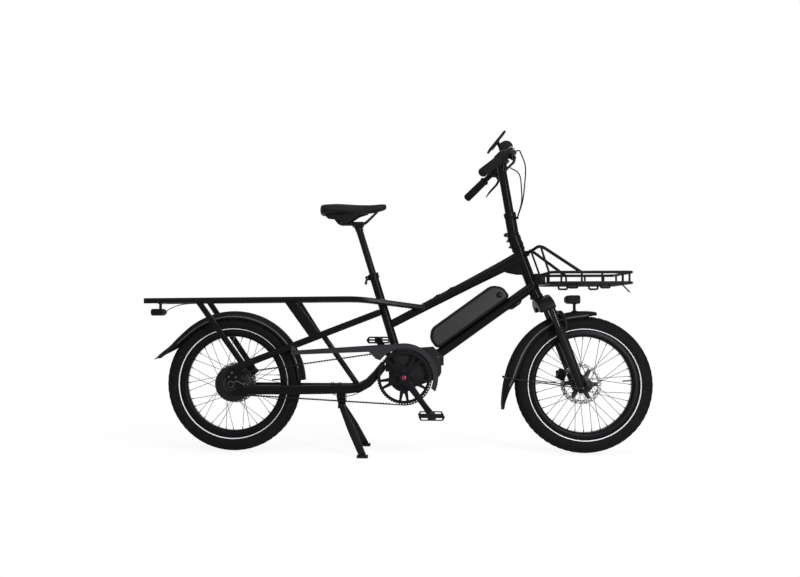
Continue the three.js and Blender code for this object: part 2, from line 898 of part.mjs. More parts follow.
const motorBracketRear = sidePlate(
  [
    [motorRearX - bracketShellThickness - weldGap, motorTopZ + overrun],
    [motorRearX - bracketShellThickness - weldGap, bracketZ - motorBodyRadius],
    [motorNoseX, bracketZ - motorBodyRadius],
    [motorNoseX, motorTopZ + overrun],
  ],
  -stayRearY,
  stayRearY * 2,
);
const chainstay = cut(join(chainstayShape(0), dropout), motorBracketRear);
piece("chainstay_right", chainstay, satinBlack);
piece("chainstay_left", mirrored(chainstay), satinBlack);

// Seatstays: flattened tubes from the dropouts up to the seat tube
const seatstayRear = V(seatstayRearX, -stayRearY, seatstayRearZ);
const seatstayFront = V(seatstayFrontX, -seatstayFrontY, seatstayFrontZ);
const seatstayPath = [0, 0.5, 1].map((share) => seatstayRear.clone().lerp(seatstayFront, share));
const seatstayShape = (grow) =>
  loft(
    stationsAlong(seatstayPath),
    () => oval(seatstayWidth / 2 + grow, seatstayRadius + grow, 12, 0.7),
  );
const dropoutGrown = sidePlate(
  dropoutOutline,
  -dropoutInnerY - dropoutThickness - weldGap,
  dropoutThickness + 2 * weldGap,
);
const seatstay = cut(seatstayShape(0), seatSolid, dropoutGrown);
piece("seatstay_right", seatstay, satinBlack);
piece("seatstay_left", mirrored(seatstay), satinBlack);

// Rack rails: square tubes with soft corners that run level and then draw in to the top tube
const rackZAt = (x) =>
  THREE.MathUtils.lerp(
    rackTailZ,
    rackBendZ,
    (x - (rearAxleX - rackOverhang)) / (rackBendX - (rearAxleX - rackOverhang)),
  );
const railCorners = [
  V(rearAxleX - rackOverhang, -rackHalfWidth, rackTailZ),
  V(rackBendX, -rackHalfWidth, rackBendZ),
  V(rackFrontX, -rackFrontY, rackFrontZ),
];
const rackRailPath = rounded(railCorners, rackHalfWidth / 2, 5);
const rackRailShape = (grow) =>
  loft(stationsAlong(rackRailPath), () => oval(rackRailHalf + grow, rackRailHalf + grow, 12, 0.45));
const middleWall = block(0, 0, rackFrontZ, wheelbase * 2, weldGap, wheelbase);
const rackRail = cut(rackRailShape(0), topShape(weldGap), seatSolid, middleWall);
piece("rack_rail_right", rackRail, satinBlack);
piece("rack_rail_left", mirrored(rackRail), satinBlack);

// Cross tubes that tie the two rails together
const crossReach = rackHalfWidth - rackRailHalf - weldGap;
const crossTube = (x, grow) =>
  rod(V(x, -crossReach, rackZAt(x)), V(x, crossReach, rackZAt(x)), crossTubeRadius + grow);
piece("rack_cross_tube_tail", crossTube(tailCrossX, 0), satinBlack);
piece("rack_cross_tube_front", crossTube(frontCrossX, 0), satinBlack);

// Struts: flat tubes between the rails and the seatstays
const onSeatstay = (x) =>
  seatstayRear.clone().lerp(seatstayFront, (x - seatstayRearX) / (seatstayFrontX - seatstayRearX));
function strut(top, foot, width, thickness) {
  const path = [top, foot];
  return loft(stationsAlong(path, V(0, 1, 0)), () => oval(width / 2, thickness / 2, 12, 0.5));
}
const rearStrut = cut(
  strut(
    V(rearStrutTopX, -rackHalfWidth, rackZAt(rearStrutTopX)),
    onSeatstay(rearStrutFootX),
    rearStrutWidth,
    rearStrutThickness,
  ),
  rackRailShape(weldGap),
  seatstayShape(weldGap),
  dropoutGrown,
  block(rearStrutTopX, -rackHalfWidth, rackTailZ + wheelbase / 2, wheelbase, wheelbase, wheelbase),
);
piece("rear_strut_right", largest(rearStrut), satinBlack);
piece("rear_strut_left", mirrored(largest(rearStrut)), satinBlack);
const frontStrut = cut(
  strut(
    V(frontStrutTopX, -rackHalfWidth, rackZAt(frontStrutTopX)),
    onSeatstay(frontStrutFootX),
    frontStrutWidth,
    frontStrutThickness,
  ),
  rackRailShape(weldGap),
  seatstayShape(weldGap),
);
piece("front_strut_right", largest(frontStrut), satinBlack);
piece("front_strut_left", mirrored(largest(frontStrut)), satinBlack);

// Brace tubes: thin tubes that carry on from the front struts down to the chainstays
const braceTop = V(braceTopX, -braceY, onSeatstay(braceTopX).z);
const braceFoot = V(braceFootX, -braceY, chainstayZ + overrun);
const brace = cut(
  rod(braceTop, braceFoot, braceRadius, braceRadius, 8),
  seatstayShape(weldGap),
  chainstayShape(weldGap),
);
piece("brace_tube_right", largest(brace), satinBlack);
piece("brace_tube_left", mirrored(largest(brace)), satinBlack);

// Rear axle: a rod with a hexagon nut outside each dropout
const nutY = dropoutInnerY + dropoutThickness + weldGap;
const rearAxle = join(
  drum(rearAxleX, tyreRadius, -axleHalfLength, axleHalfLength * 2, axleRadius, 10),
  drum(rearAxleX, tyreRadius, nutY, axleNutThickness, axleNutRadius, 6),
  drum(rearAxleX, tyreRadius, -nutY - axleNutThickness, axleNutThickness, axleNutRadius, 6),
);
piece("rear_axle", rearAxle, bareMetal);

// Wheels, each made about its own axle
const hubBoreRadius = axleRadius + runningGap;

function revolved(profile, sides = wheelSides) {
  return bare(
    new THREE.LatheGeometry(profile.map(([radius, y]) => new THREE.Vector2(radius, y)), sides),
  );
}

function tyre() {
  const section = tyreWidth / 2;
  const middle = tyreRadius - section;
  const outer = [0, 40, 82, 126].map((degrees) => turn(degrees));
  const inner = [122, 45].map((degrees) => turn(degrees));
  const side = [
    ...outer.map((a) => [middle + section * Math.cos(a), section * Math.sin(a)]),
    [rimOuterRadius + 0.5 * rimWall, rimWidth / 2 - 1.2 * rimWall],
    [rimWellRadius + 0.6 * rimWall, rimWidth / 2 - 2.8 * rimWall],
    [rimWellRadius + 0.6 * rimWall, rimWidth / 2 - 4.4 * rimWall],
    ...inner.map(
      (a) => [middle + (section - tyreWall) * Math.cos(a), (section - tyreWall) * Math.sin(a)],
    ),
  ];
  const other = side.slice(1).reverse().map(([radius, y]) => [radius, -y]);
  const loop = [...side, ...other];
  return revolved([...loop, loop[0]]);
}

function rim() {
  const half = rimWidth / 2;
  const side = [
    [rimInnerRadius, half * 0.62],
    [rimInnerRadius + 3 * rimWall, half],
    [rimOuterRadius, half],
    [rimOuterRadius, half - rimWall],
    [rimWellRadius, half - 2.2 * rimWall],
  ];
  const loop = [...side, ...side.slice().reverse().map(([radius, y]) => [radius, -y])].reverse();
  return revolved([...loop, loop[0]]);
}

// Spokes cross each other between the flanges and the rim, half of them trailing and half leading.
function spokedRim(flangeRadius, flangeY, lean) {
  const hubEnd = flangeRadius + spokeRadius / 2 + weldGap;
  const rimEnd = rimInnerRadius + 2 * rimWall;
  const spokes = Array.from({ length: spokeCount }, (_, i) => {
    const side = i % 2 ? 1 : -1;
    const leads = i % 4 < 2 ? 1 : -1;
    const rimAngle = (360 * i) / spokeCount;
    const hubAngle = rimAngle + leads * lean;
    const lift = leads * spokeRadius * 1.3;
    const from = V(
      hubEnd * Math.cos(turn(hubAngle)),
      side * flangeY + lift,
      hubEnd * Math.sin(turn(hubAngle)),
    );
    const to = V(
      rimEnd * Math.cos(turn(rimAngle)),
      side * rimWall + lift,
      rimEnd * Math.sin(turn(rimAngle)),
    );
    return rod(from, to, spokeRadius, spokeRadius, 3);
  });
  return join(rim(), ...spokes);
}

function rotor() {
  const windows = Array.from({ length: 5 }, (_, i) => {
    const start = 72 * i;
    const inner = rotorRadius * 0.4;
    return [
      ...arcPoints(0, 0, rotorRadius - rotorBand, start + 6, start + 66, 3),
      ...arcPoints(0, 0, inner, start + 50, start + 22, 1),
    ];
  });
  const plate = sidePlate(
    circlePoints(0, 0, rotorRadius, rotorSides),
    rotorY - rotorThickness / 2,
    rotorThickness,
    windows,
  );
  return cut(plate, drum(0, 0, rotorY - overrun, overrun * 2, hubBoreRadius, 16));
}

const frontHubProfile = [
  [hubBoreRadius, -frontHubEndY],
  [frontHubEndRadius, -frontHubEndY],
  [frontHubRadius, -frontHubHalfWidth - flangeThickness],
  [frontHubFlangeRadius, -frontHubHalfWidth - flangeThickness / 2],
  [frontHubFlangeRadius, -frontHubHalfWidth + flangeThickness / 2],
  [frontHubRadius, -frontHubHalfWidth + flangeThickness],
  [frontHubRadius * 0.85, 0],
  [frontHubRadius, frontHubHalfWidth - flangeThickness],
  [frontHubFlangeRadius, frontHubHalfWidth - flangeThickness / 2],
  [frontHubFlangeRadius, frontHubHalfWidth + flangeThickness / 2],
  [frontHubRadius * 1.35, frontHubHalfWidth + flangeThickness],
  [frontHubRadius * 1.35, frontHubEndY - flangeThickness],
  [frontHubEndRadius, frontHubEndY - flangeThickness],
  [frontHubEndRadius, frontHubEndY],
  [hubBoreRadius, frontHubEndY],
  [hubBoreRadius, -frontHubEndY],
];
const rearHubProfile = [
  [hubBoreRadius, -rearHubEndY],
  [rearHubEndRadius, -rearHubEndY],
  [rearHubFlangeRadius * 0.8, -rearHubHalfWidth - flangeThickness],
  [rearHubFlangeRadius, -rearHubHalfWidth],
  [rearHubFlangeRadius, -rearHubHalfWidth + flangeThickness],
  [rearHubRadius, -rearHubHalfWidth + 2 * flangeThickness],
  [rearHubRadius, rearHubHalfWidth - 2 * flangeThickness],
  [rearHubFlangeRadius, rearHubHalfWidth - flangeThickness],
  [rearHubFlangeRadius, rearHubHalfWidth],
  [rearHubFlangeRadius * 0.75, rearHubHalfWidth + flangeThickness / 2],
  [rearHubEndRadius * 1.2, rotorY + rotorThickness],
  [rearHubEndRadius, rearHubEndY],
  [hubBoreRadius, rearHubEndY],
  [hubBoreRadius, -rearHubEndY],
];

const rearWheel = new THREE.Group();
rearWheel.position.set(rearAxleX, 0, tyreRadius);
root.add(rearWheel);
piece("rear_hub", join(revolved(rearHubProfile, 20), rotor()), bareMetal, rearWheel);
piece(
  "rear_rim",
  spokedRim(rearHubFlangeRadius, rearHubHalfWidth - flangeThickness / 2, 20),
  satinBlack,
  rearWheel,
);
piece("rear_tyre", tyre(), rubber, rearWheel);

const frontWheel = new THREE.Group();
frontWheel.position.set(frontAxleX, 0, tyreRadius);
root.add(frontWheel);
piece("front_hub", join(revolved(frontHubProfile, 16), rotor()), bareMetal, frontWheel);
piece("front_rim", spokedRim(frontHubFlangeRadius, frontHubHalfWidth, 46), satinBlack, frontWheel);
piece("front_tyre", tyre(), rubber, frontWheel);

// Belt drive: a toothed belt round a spoked chainring and a rear sprocket
const pitchRadius = (teeth) => (beltPitch * teeth) / (2 * Math.PI);
const ringPitchRadius = pitchRadius(chainringTeeth);
const sprocketPitchRadius = pitchRadius(sprocketTeeth);

// A toothed wheel's outline: flat lands with a groove between each pair for a belt tooth.
function toothedOutline(x, z, teeth) {
  const land = pitchRadius(teeth) - beltFitGap - beltRoot;
  const groove = land - beltToothDepth;
  const step = 360 / teeth;
  const outline = [];
  for (let i = 0; i < teeth; i++) {
    const toothShares = [0.1, 0.5, 0.75];
    const radii = [land, land, groove];
    toothShares.forEach((share, k) => {
      const angle = turn(step * (i + share));
      outline.push([x + radii[k] * Math.cos(angle), z + radii[k] * Math.sin(angle)]);
    });
  }
  return outline;
}

const beltRun = V(bracketX - rearAxleX, 0, bracketZ - tyreRadius);
const beltRunAngle = Math.atan2(beltRun.z, beltRun.x);
const beltSpread = Math.acos((ringPitchRadius - sprocketPitchRadius) / beltRun.length());
const ringTouch = THREE.MathUtils.radToDeg(Math.PI - beltSpread);
const runDegrees = THREE.MathUtils.radToDeg(beltRunAngle);

// One loop of the belt at a distance outside its pitch line, with or without teeth on its straight runs.
function beltLoop(offset, toothed) {
  const around = (x, z, radius, from, to, steps = 20) =>
    arcPoints(x, z, radius + offset, from, to, steps);
  const ring = around(
    bracketX,
    bracketZ,
    ringPitchRadius,
    runDegrees - ringTouch,
    runDegrees + ringTouch,
  );
  const sprocket = around(
    rearAxleX,
    tyreRadius,
    sprocketPitchRadius,
    runDegrees + ringTouch,
    runDegrees + 360 - ringTouch,
    12,
  );
  if (!toothed) return [...ring, ...sprocket];
  const top = toothedRun(ring[ring.length - 1], sprocket[0], toothStartRing, toothStartSprocket);
  const bottom = toothedRun(sprocket[sprocket.length - 1], ring[0], toothStartSprocket, toothStartRing);
  return [...ring, ...top, ...sprocket, ...bottom];
}

function toothedRun(from, to, plainAtStart, plainAtEnd) {
  const length = Math.hypot(to[0] - from[0], to[1] - from[1]);
  const ahead = [(to[0] - from[0]) / length, (to[1] - from[1]) / length];
  const inward = [-ahead[1], ahead[0]];
  const count = Math.floor((length - plainAtStart - plainAtEnd) / beltPitch);
  const points = [];
  for (let i = 0; i < count; i++) {
    const toothShares = [[0.12, 0], [0.42, 1], [0.72, 0]];
    for (const [share, depthShare] of toothShares) {
      const along = plainAtStart + beltPitch * (i + share);
      const depth = beltToothDepth * depthShare;
      points.push([
        from[0] + ahead[0] * along + inward[0] * depth,
        from[1] + ahead[1] * along + inward[1] * depth,
      ]);
    }
  }
  return points;
}

const beltY = beltLineY - beltWidth / 2;
piece(
  "drive_belt",
  sidePlate(beltLoop(beltBack, false), beltY, beltWidth, [beltLoop(-beltRoot, true)]),
  rubber,
);

// Rear sprocket, turning on the axle beside the hub
const sprocketBore = circlePoints(rearAxleX, tyreRadius, axleRadius + runningGap, 24);
const sprocketOutline = toothedOutline(rearAxleX, tyreRadius, sprocketTeeth);
piece(
  "rear_sprocket",
  sidePlate(sprocketOutline, beltLineY - sprocketWidth / 2, sprocketWidth, [sprocketBore]),
  bareMetal,
);

// Chainring: a toothed rim on a spider of paired spokes, with the spindle through the motor
const ringLand = ringPitchRadius - beltFitGap - beltRoot;
const ringWindows = [];
for (let arm = 0; arm < 5; arm++) {
  const at = arm * 72 + 54;
  const outer = ringLand - chainringRimDepth;
  ringWindows.push([
    ...arcPoints(bracketX, bracketZ, outer, at + 12, at + 60, 6),
    ...arcPoints(bracketX, bracketZ, chainringHubRadius, at + 52, at + 20, 3),
  ]);
  ringWindows.push([
    ...arcPoints(bracketX, bracketZ, outer, at - 6, at + 6, 2),
    ...arcPoints(bracketX, bracketZ, outer * 0.68, at + 2, at - 2, 1),
  ]);
}
const chainringPlate = sidePlate(
  toothedOutline(bracketX, bracketZ, chainringTeeth),
  beltLineY - chainringWidth / 2,
  chainringWidth,
  ringWindows,
);
const spindleHalf = crankInnerY + crankThickness - weldGap;
const spindle = drum(bracketX, bracketZ, -spindleHalf, spindleHalf * 2, spindleRadius, 12);
const spindleFlange = drum(
  bracketX,
  bracketZ,
  beltLineY - chainringWidth,
  chainringWidth * 1.4,
  spindleFlangeRadius,
  16,
);
piece("chainring", join(chainringPlate, spindle, spindleFlange), satinBlack);

// Crank arms: tapered forgings, each with its pedal spindle
const crankAhead = V(Math.cos(turn(crankAngle)), 0, Math.sin(turn(crankAngle)));
function crankArm(direction, innerY) {
  const centre = V(bracketX, 0, bracketZ);
  const tip = centre.clone().addScaledVector(direction, crankLength);
  const outline = [];
  const facing = THREE.MathUtils.radToDeg(Math.atan2(direction.z, direction.x));
  outline.push(...arcPoints(centre.x, centre.z, crankBossRadius, facing + 70, facing + 290, 8));
  outline.push(...arcPoints(tip.x, tip.z, crankTipRadius, facing - 75, facing + 75, 5));
  const arm = sidePlate(outline, innerY, crankThickness, [], armBevel);
  const outward = Math.sign(innerY + crankThickness / 2);
  const face = outward > 0 ? innerY + crankThickness : innerY;
  const axleEnd = outward * (pedalInnerY + pedalWidth - pedalRail * 2);
  const axle = rod(
    V(tip.x, face - outward * crankThickness * 0.5, tip.z),
    V(tip.x, axleEnd, tip.z),
    pedalAxleRadius,
    pedalAxleRadius,
    8,
  );
  const bore = drum(
    centre.x,
    centre.z,
    innerY - overrun,
    crankThickness + 2 * overrun,
    spindleRadius + weldGap,
    16,
  );
  return cut(join(arm, axle), bore);
}
piece("crank_right", crankArm(crankAhead, -crankInnerY - crankThickness), satinBlack);
piece("crank_left", crankArm(crankAhead.clone().negate(), crankInnerY), satinBlack);

// Pedals: cage platforms that spin on the crank's spindles
function pedal(centre, outward) {
  const half = pedalLength / 2;
  const rise = pedalHeight / 2;
  const edge = pedalRail;
  const outline = [
    [-half + edge * 1.6, -rise],
    [half - edge * 1.6, -rise],
    [half, 0],
    [half - edge * 1.6, rise],
    [-half + edge * 1.6, rise],
    [-half, 0],
  ];
  const window = (side, up) => [
    [side * edge * 3, up * edge * 0.45],
    [side * (half - edge * 1.7), up * edge * 0.45],
    [side * (half - edge * 2.4), up * (rise - edge * 0.8)],
    [side * edge * 3, up * (rise - edge * 0.8)],
  ];
  const windows = [window(1, 1), window(-1, 1), window(1, -1), window(-1, -1)];
  const cage = (y) =>
    cut(
      sidePlate(outline, y, pedalRail),
      ...windows.map((points) => sidePlate(points, y - overrun, pedalRail + 2 * overrun)),
    );
  const inner = cage(pedalInnerY);
  const outer = cage(pedalInnerY + pedalWidth - pedalRail);
  const barrel = drum(0, 0, pedalInnerY, pedalWidth - pedalRail / 2, pedalBarrelRadius, 8);
  const bars = [-1, 1].map((side) =>
    block(
      side * (half - edge * 1.5),
      pedalInnerY + pedalWidth / 2,
      0,
      edge * 1.4,
      pedalWidth,
      rise * 1.1,
    ),
  );
  const web = block(0, pedalInnerY + pedalWidth * 0.5, 0, pedalLength - edge * 3, edge, edge);
  const bore = drum(
    0,
    0,
    pedalInnerY - overrun,
    pedalWidth - pedalRail + overrun - weldGap,
    pedalAxleRadius + runningGap,
    10,
  );
  const body = cut(join(inner, outer, barrel, ...bars, web), bore);
  if (outward < 0) {
    const right = mirrored(body);
    right.translate(centre.x, 0, centre.z);
    return right;
  }
  body.translate(centre.x, 0, centre.z);
  return body;
}
const rightPedalAt = V(bracketX, 0, bracketZ).addScaledVector(crankAhead, crankLength);
const leftPedalAt = V(bracketX, 0, bracketZ).addScaledVector(crankAhead, -crankLength);
piece("pedal_right", pedal(rightPedalAt, -1), plastic);
piece("pedal_left", pedal(leftPedalAt, 1), plastic);

// Belt guard: a moulded cover over the top run, with a face, a roof and a boss to the motor
const guardTop = (inset) => arcPoints(bracketX, bracketZ, guardOuterRadius - inset, -24, 94, 13);
const guardFaceOutline = [
  ...guardTop(0),
  [guardTailX, guardTailZ],
  [guardTailX, guardTailZ - guardBarDepth],
  [guardPanelX - guardBarDepth * 3.4, guardTailZ - guardBarDepth * 0.2],
  [guardPanelX - guardBarDepth * 1.6, guardPanelZ + guardBarDepth * 0.5],
  [guardPanelX, guardPanelZ],
  ...arcPoints(bracketX, bracketZ, guardInnerRadius, 144, -22, 13),
];
const guardRoofOutline = [
  ...guardTop(0),
  [guardTailX, guardTailZ],
  [guardTailX, guardTailZ - guardWall],
  ...guardTop(guardWall).reverse(),
];
const guardBossAt = turn(32);
const guardBossRadius = (guardOuterRadius - guardInnerRadius) / 2 - guardWall / 2;
const guardMiddle = (guardOuterRadius + guardInnerRadius) / 2;
const guardBoss = drum(
  bracketX + guardMiddle * Math.cos(guardBossAt),
  bracketZ + guardMiddle * Math.sin(guardBossAt),
  guardFaceY + guardWall / 2,
  -guardFaceY - guardWall / 2 - motorHalfWidth - weldGap,
  guardBossRadius,
  12,
);
const guardTab = block(
  guardTailX + guardTabLength / 2,
  guardFaceY + guardDepth / 2,
  guardTailZ + guardBarDepth / 2,
  guardTabLength,
  guardDepth,
  guardBarDepth * 1.6,
);
const beltGuard = cut(
  join(
    sidePlate(guardFaceOutline, guardFaceY, guardWall),
    sidePlate(guardRoofOutline, guardFaceY, guardDepth),
    guardBoss,
    guardTab,
  ),
  seatstayShape(weldGap),
);
piece("belt_guard", largest(beltGuard), cover);

// Fork, built in the steering frame: steerer, crown and stanchions first
const steerPlace = (x) =>
  new THREE.Matrix4().makeBasis(V(0, 1, 0), headUp, headAhead).setPosition(steer(x, 0, 0));
function crossPlate(outline, x, length, bevel = 0) {
  const shape = new THREE.Shape(outline.map(([y, z]) => new THREE.Vector2(y, z)));
  const geometry = new THREE.ExtrudeGeometry(shape, {
    depth: length - 2 * bevel,
    bevelEnabled: bevel > 0,
    bevelThickness: bevel,
    bevelSize: bevel,
    bevelOffset: -bevel,
    bevelSegments: 1,
  });
  geometry.applyMatrix4(steerPlace(x + bevel));
  return bare(geometry);
}
const crownReach = forkLegY + lowerTopRadius;
const crownArch = forkLegY - lowerTopRadius;
const crownHalf = [
  [steererRadius * 1.7, crownTopZ],
  [forkLegY * 0.9, crownTopZ - stanchionRadius * 0.8],
  [crownReach, crownTopZ - stanchionRadius * 2],
  [crownReach, crownBottomZ],
  [crownArch, crownBottomZ],
  [crownArch * 0.85, crownBottomZ * 0.62],
];
const crownOutline = [...crownHalf, ...crownHalf.slice().reverse().map(([y, z]) => [-y, z])];
const stemBaseFoot = headLength + weldGap;
const steererTop = headLength + stemBaseRadius * 2;
const forkCrown = join(
  crossPlate(crownOutline, forkLegX - crownHalfLength * 1.8, crownHalfLength * 2.5, plateBevel),
  rod(steer(0, 0, crownBottomZ / 2), steer(0, 0, steererTop), steererRadius, steererRadius, 12),
  ...[-1, 1].map((side) =>
    rod(
      steer(forkLegX, side * forkLegY, stanchionFootZ),
      steer(forkLegX, side * forkLegY, crownBottomZ * 0.8),
      stanchionRadius,
      stanchionRadius,
      10,
    ),
  ),
);

// Fenders: thin arched shells round each tyre, ending in a flat flap
function fenderSection(halfWidth, drop) {
  const archShares = [-1, -0.72, -0.3, 0.3, 0.72, 1];
  const arch = (lower, narrower) =>
    archShares.map((share) => [share * (halfWidth - narrower), -drop * Math.abs(share) ** 2.4 - lower]);
  return [...arch(0, 0), ...arch(fenderWall, fenderWall * 0.6).reverse()];
}
function fenderShell(centreX, stops, grow = 0) {
  const stations = stops.map(([degrees, radius]) => {
    const up = V(Math.cos(turn(degrees)), 0, Math.sin(turn(degrees)));
    return { at: V(centreX, 0, tyreRadius).addScaledVector(up, radius + grow), side: V(0, 1, 0), up };
  });
  const flatness = stops.map((stop) => stop[2]);
  return loft(stations, (share) => {
    const drop = flatness[Math.round(share * (stops.length - 1))];
    return fenderSection(fenderHalfWidth + grow, drop);
  });
}
// Each stop has its angle, how far it flares out to the flap's radius, and how deep its sides come down.
const fenderStops = (angles, flareShares, dropShares) =>
  angles.map((degrees, i) => [
    degrees,
    THREE.MathUtils.lerp(fenderRadius, fenderFlapRadius, flareShares[i]),
    fenderDrop * dropShares[i],
  ]);
const frontFlareShares = [0.02, 0, 0.02, 0.11, 0.22, 0.33, 0.43, 0.61, 0.8, 1];
const frontDropShares = [0.43, 1, 1, 1, 1, 1, 0.8, 0.43, 0.21, 0.14];
const frontFenderStops = fenderStops(
  [80, 92, 106, 120, 134, 148, 162, 174, 185, 197],
  frontFlareShares,
  frontDropShares,
);
const rearFlareShares = [0, 0, 0, 0, 0, 0, 0, 0, 0.07, 0.46, 1];
const rearDropShares = [1, 1, 1, 1, 1, 1, 1, 1, 0.7, 0.29, 0.14];
const rearFenderStops = fenderStops(
  [3, 20, 37, 54, 71, 88, 105, 122, 138, 151, 163],
  rearFlareShares,
  rearDropShares,
);
const legRod = (side, grow) =>
  rod(
    steer(forkLegX, side * forkLegY, lowerFootZ),
    steer(forkLegX, side * forkLegY, lowerTopZ),
    lowerRadius + grow,
    lowerTopRadius + grow,
    10,
  );
const stayStart = steer(forkLegX, forkLegY, lowerFootZ + lowerRadius);
const stayEndAt = turn(175);
const stayEndRadius = THREE.MathUtils.lerp(fenderRadius, fenderFlapRadius, 0.43);
const stayEndX = frontAxleX + stayEndRadius * Math.cos(stayEndAt);
const stayEndZ = tyreRadius + stayEndRadius * Math.sin(stayEndAt);
const fenderStay = (side) =>
  rod(
    V(stayStart.x, side * stayStart.y, stayStart.z),
    V(stayEndX, side * (fenderHalfWidth - fenderWall), stayEndZ),
    fenderStayRadius,
    fenderStayRadius,
    8,
  );
const frontFender = cut(
  join(fenderShell(frontAxleX, frontFenderStops), fenderStay(1), fenderStay(-1)),
  legRod(1, weldGap),
  legRod(-1, weldGap),
  drum(frontAxleX, tyreRadius, -crownReach, crownReach * 2, forkLugRadius + weldGap),
);

// Fork lowers: two hollow legs, the arch between them, the axle lugs and the thru-axle with its lever
const forkAxle = V(frontAxleX, 0, tyreRadius);
const lugInnerY = frontHubEndY + runningGap;
const archPath = rounded(
  [
    steer(forkLegX + lowerRadius, -forkLegY, lowerTopZ - lowerRadius),
    steer(archX, -forkLegY, lowerTopZ + lowerRadius / 2),
    steer(archX, -forkLegY * 0.86, lowerTopZ + archRise),
    steer(archX, forkLegY * 0.86, lowerTopZ + archRise),
    steer(archX, forkLegY, lowerTopZ + lowerRadius / 2),
    steer(forkLegX + lowerRadius, forkLegY, lowerTopZ - lowerRadius),
  ],
  forkLegY * 0.6,
  2,
);
const lowerBores = [-1, 1].map((side) =>
  rod(
    steer(forkLegX, side * forkLegY, stanchionFootZ - forkTravel - overrun),
    steer(forkLegX, side * forkLegY, lowerTopZ + overrun),
    lowerBoreRadius,
    lowerBoreRadius,
    10,
  ),
);
const lowerLugs = [-1, 1].flatMap((side) => {
  const y = side > 0 ? lugInnerY : -lugInnerY - forkLugThickness * 2;
  return drum(forkAxle.x, forkAxle.z, y, forkLugThickness * 2, forkLugRadius, 10);
});
const axleHead = -forkAxleHalfLength - axleNutThickness;
const forkLowers = cut(
  join(
    legRod(-1, 0),
    legRod(1, 0),
    tube(archPath, archRadius, 6),
    ...lowerLugs,
    drum(forkAxle.x, forkAxle.z, -forkAxleHalfLength, forkAxleHalfLength * 2, axleRadius, 8),
    drum(forkAxle.x, forkAxle.z, axleHead, axleNutThickness * 1.4, axleNutRadius, 10),
    rod(
      V(forkAxle.x, axleHead + axleNutThickness / 2, forkAxle.z),
      V(forkAxle.x - forkAxleLever * 0.5, axleHead + axleNutThickness / 2, forkAxle.z + forkAxleLever),
      axleRadius,
      axleRadius * 0.7,
      6,
    ),
  ),
  ...lowerBores,
  fenderShell(frontAxleX, frontFenderStops, weldGap),
);

// Front caliper: a body astride the rotor with an ear that bolts to the back of the left leg
const caliperShape = (x, z, tilt) => {
  const body = block(0, rotorY, 0, caliperLength, caliperThickness, caliperDepth);
  const slot = block(0, rotorY, 0, caliperLength + overrun, caliperSlot, caliperDepth + overrun * 4);
  const opened = cut(body, slot);
  const back = block(
    0,
    rotorY,
    caliperDepth / 2 - caliperSlot / 2,
    caliperLength,
    caliperThickness,
    caliperSlot,
  );
  const whole = join(opened, back);
  whole.rotateY(-turn(tilt));
  whole.translate(x, 0, z);
  return whole;
};
const caliperRadius = rotorRadius + caliperSlot / 2;
const frontCaliperAt = turn(155);
const frontCaliperX = frontAxleX + caliperRadius * Math.cos(frontCaliperAt);
const frontCaliperZ = tyreRadius + caliperRadius * Math.sin(frontCaliperAt);
const frontCaliper = cut(
  join(
    caliperShape(frontCaliperX, frontCaliperZ, 65),
    block(
      frontCaliperX + caliperDepth * 0.2,
      forkLegY - caliperSlot,
      frontCaliperZ + caliperDepth * 0.2,
      caliperLength * 1.4,
      caliperSlot * 3,
      caliperDepth * 0.8,
    ),
  ),
  legRod(1, weldGap),
);
const rearCaliperAt = turn(38);
const rearCaliperX = rearAxleX + caliperRadius * Math.cos(rearCaliperAt);
const rearCaliperZ = tyreRadius + caliperRadius * Math.sin(rearCaliperAt);
const leftSeatstay = mirrored(seatstayShape(weldGap));
const leftChainstay = mirrored(chainstayShape(weldGap));
const rearCaliper = cut(
  join(
    caliperShape(rearCaliperX, rearCaliperZ, -52),
    block(
      rearCaliperX,
      dropoutInnerY - caliperSlot * 2,
      rearCaliperZ,
      caliperLength * 0.7,
      caliperSlot * 4.4,
      caliperDepth,
    ),
  ),
  leftSeatstay,
  leftChainstay,
  mirrored(dropoutGrown),
  drum(
    rearAxleX,
    tyreRadius,
    0,
    rearHubHalfWidth + 2 * spokeRadius + runningGap,
    rearHubFlangeRadius * 2,
  ),
  drum(rearAxleX, tyreRadius, 0, rearHubHalfWidth + 2 * runningGap, rearHubFlangeRadius + runningGap),
);
piece("rear_caliper", largest(rearCaliper), satinBlack);

// Rear fender, held by a bridge between the seatstays
const bridgeRadius = fenderRadius - fenderWall;
const bridgeX = rearAxleX + bridgeRadius * Math.cos(turn(bridgeAngle));
const bridgeZ = tyreRadius + bridgeRadius * Math.sin(turn(bridgeAngle));
const bridge = rod(
  V(bridgeX, -stayRearY, bridgeZ),
  V(bridgeX, stayRearY, bridgeZ),
  fenderStayRadius * 1.5,
  fenderStayRadius * 1.5,
  6,
);
const rearFender = cut(
  join(fenderShell(rearAxleX, rearFenderStops), bridge),
  seatstayShape(weldGap),
  leftSeatstay,
);
piece("rear_fender", largest(rearFender), plastic);

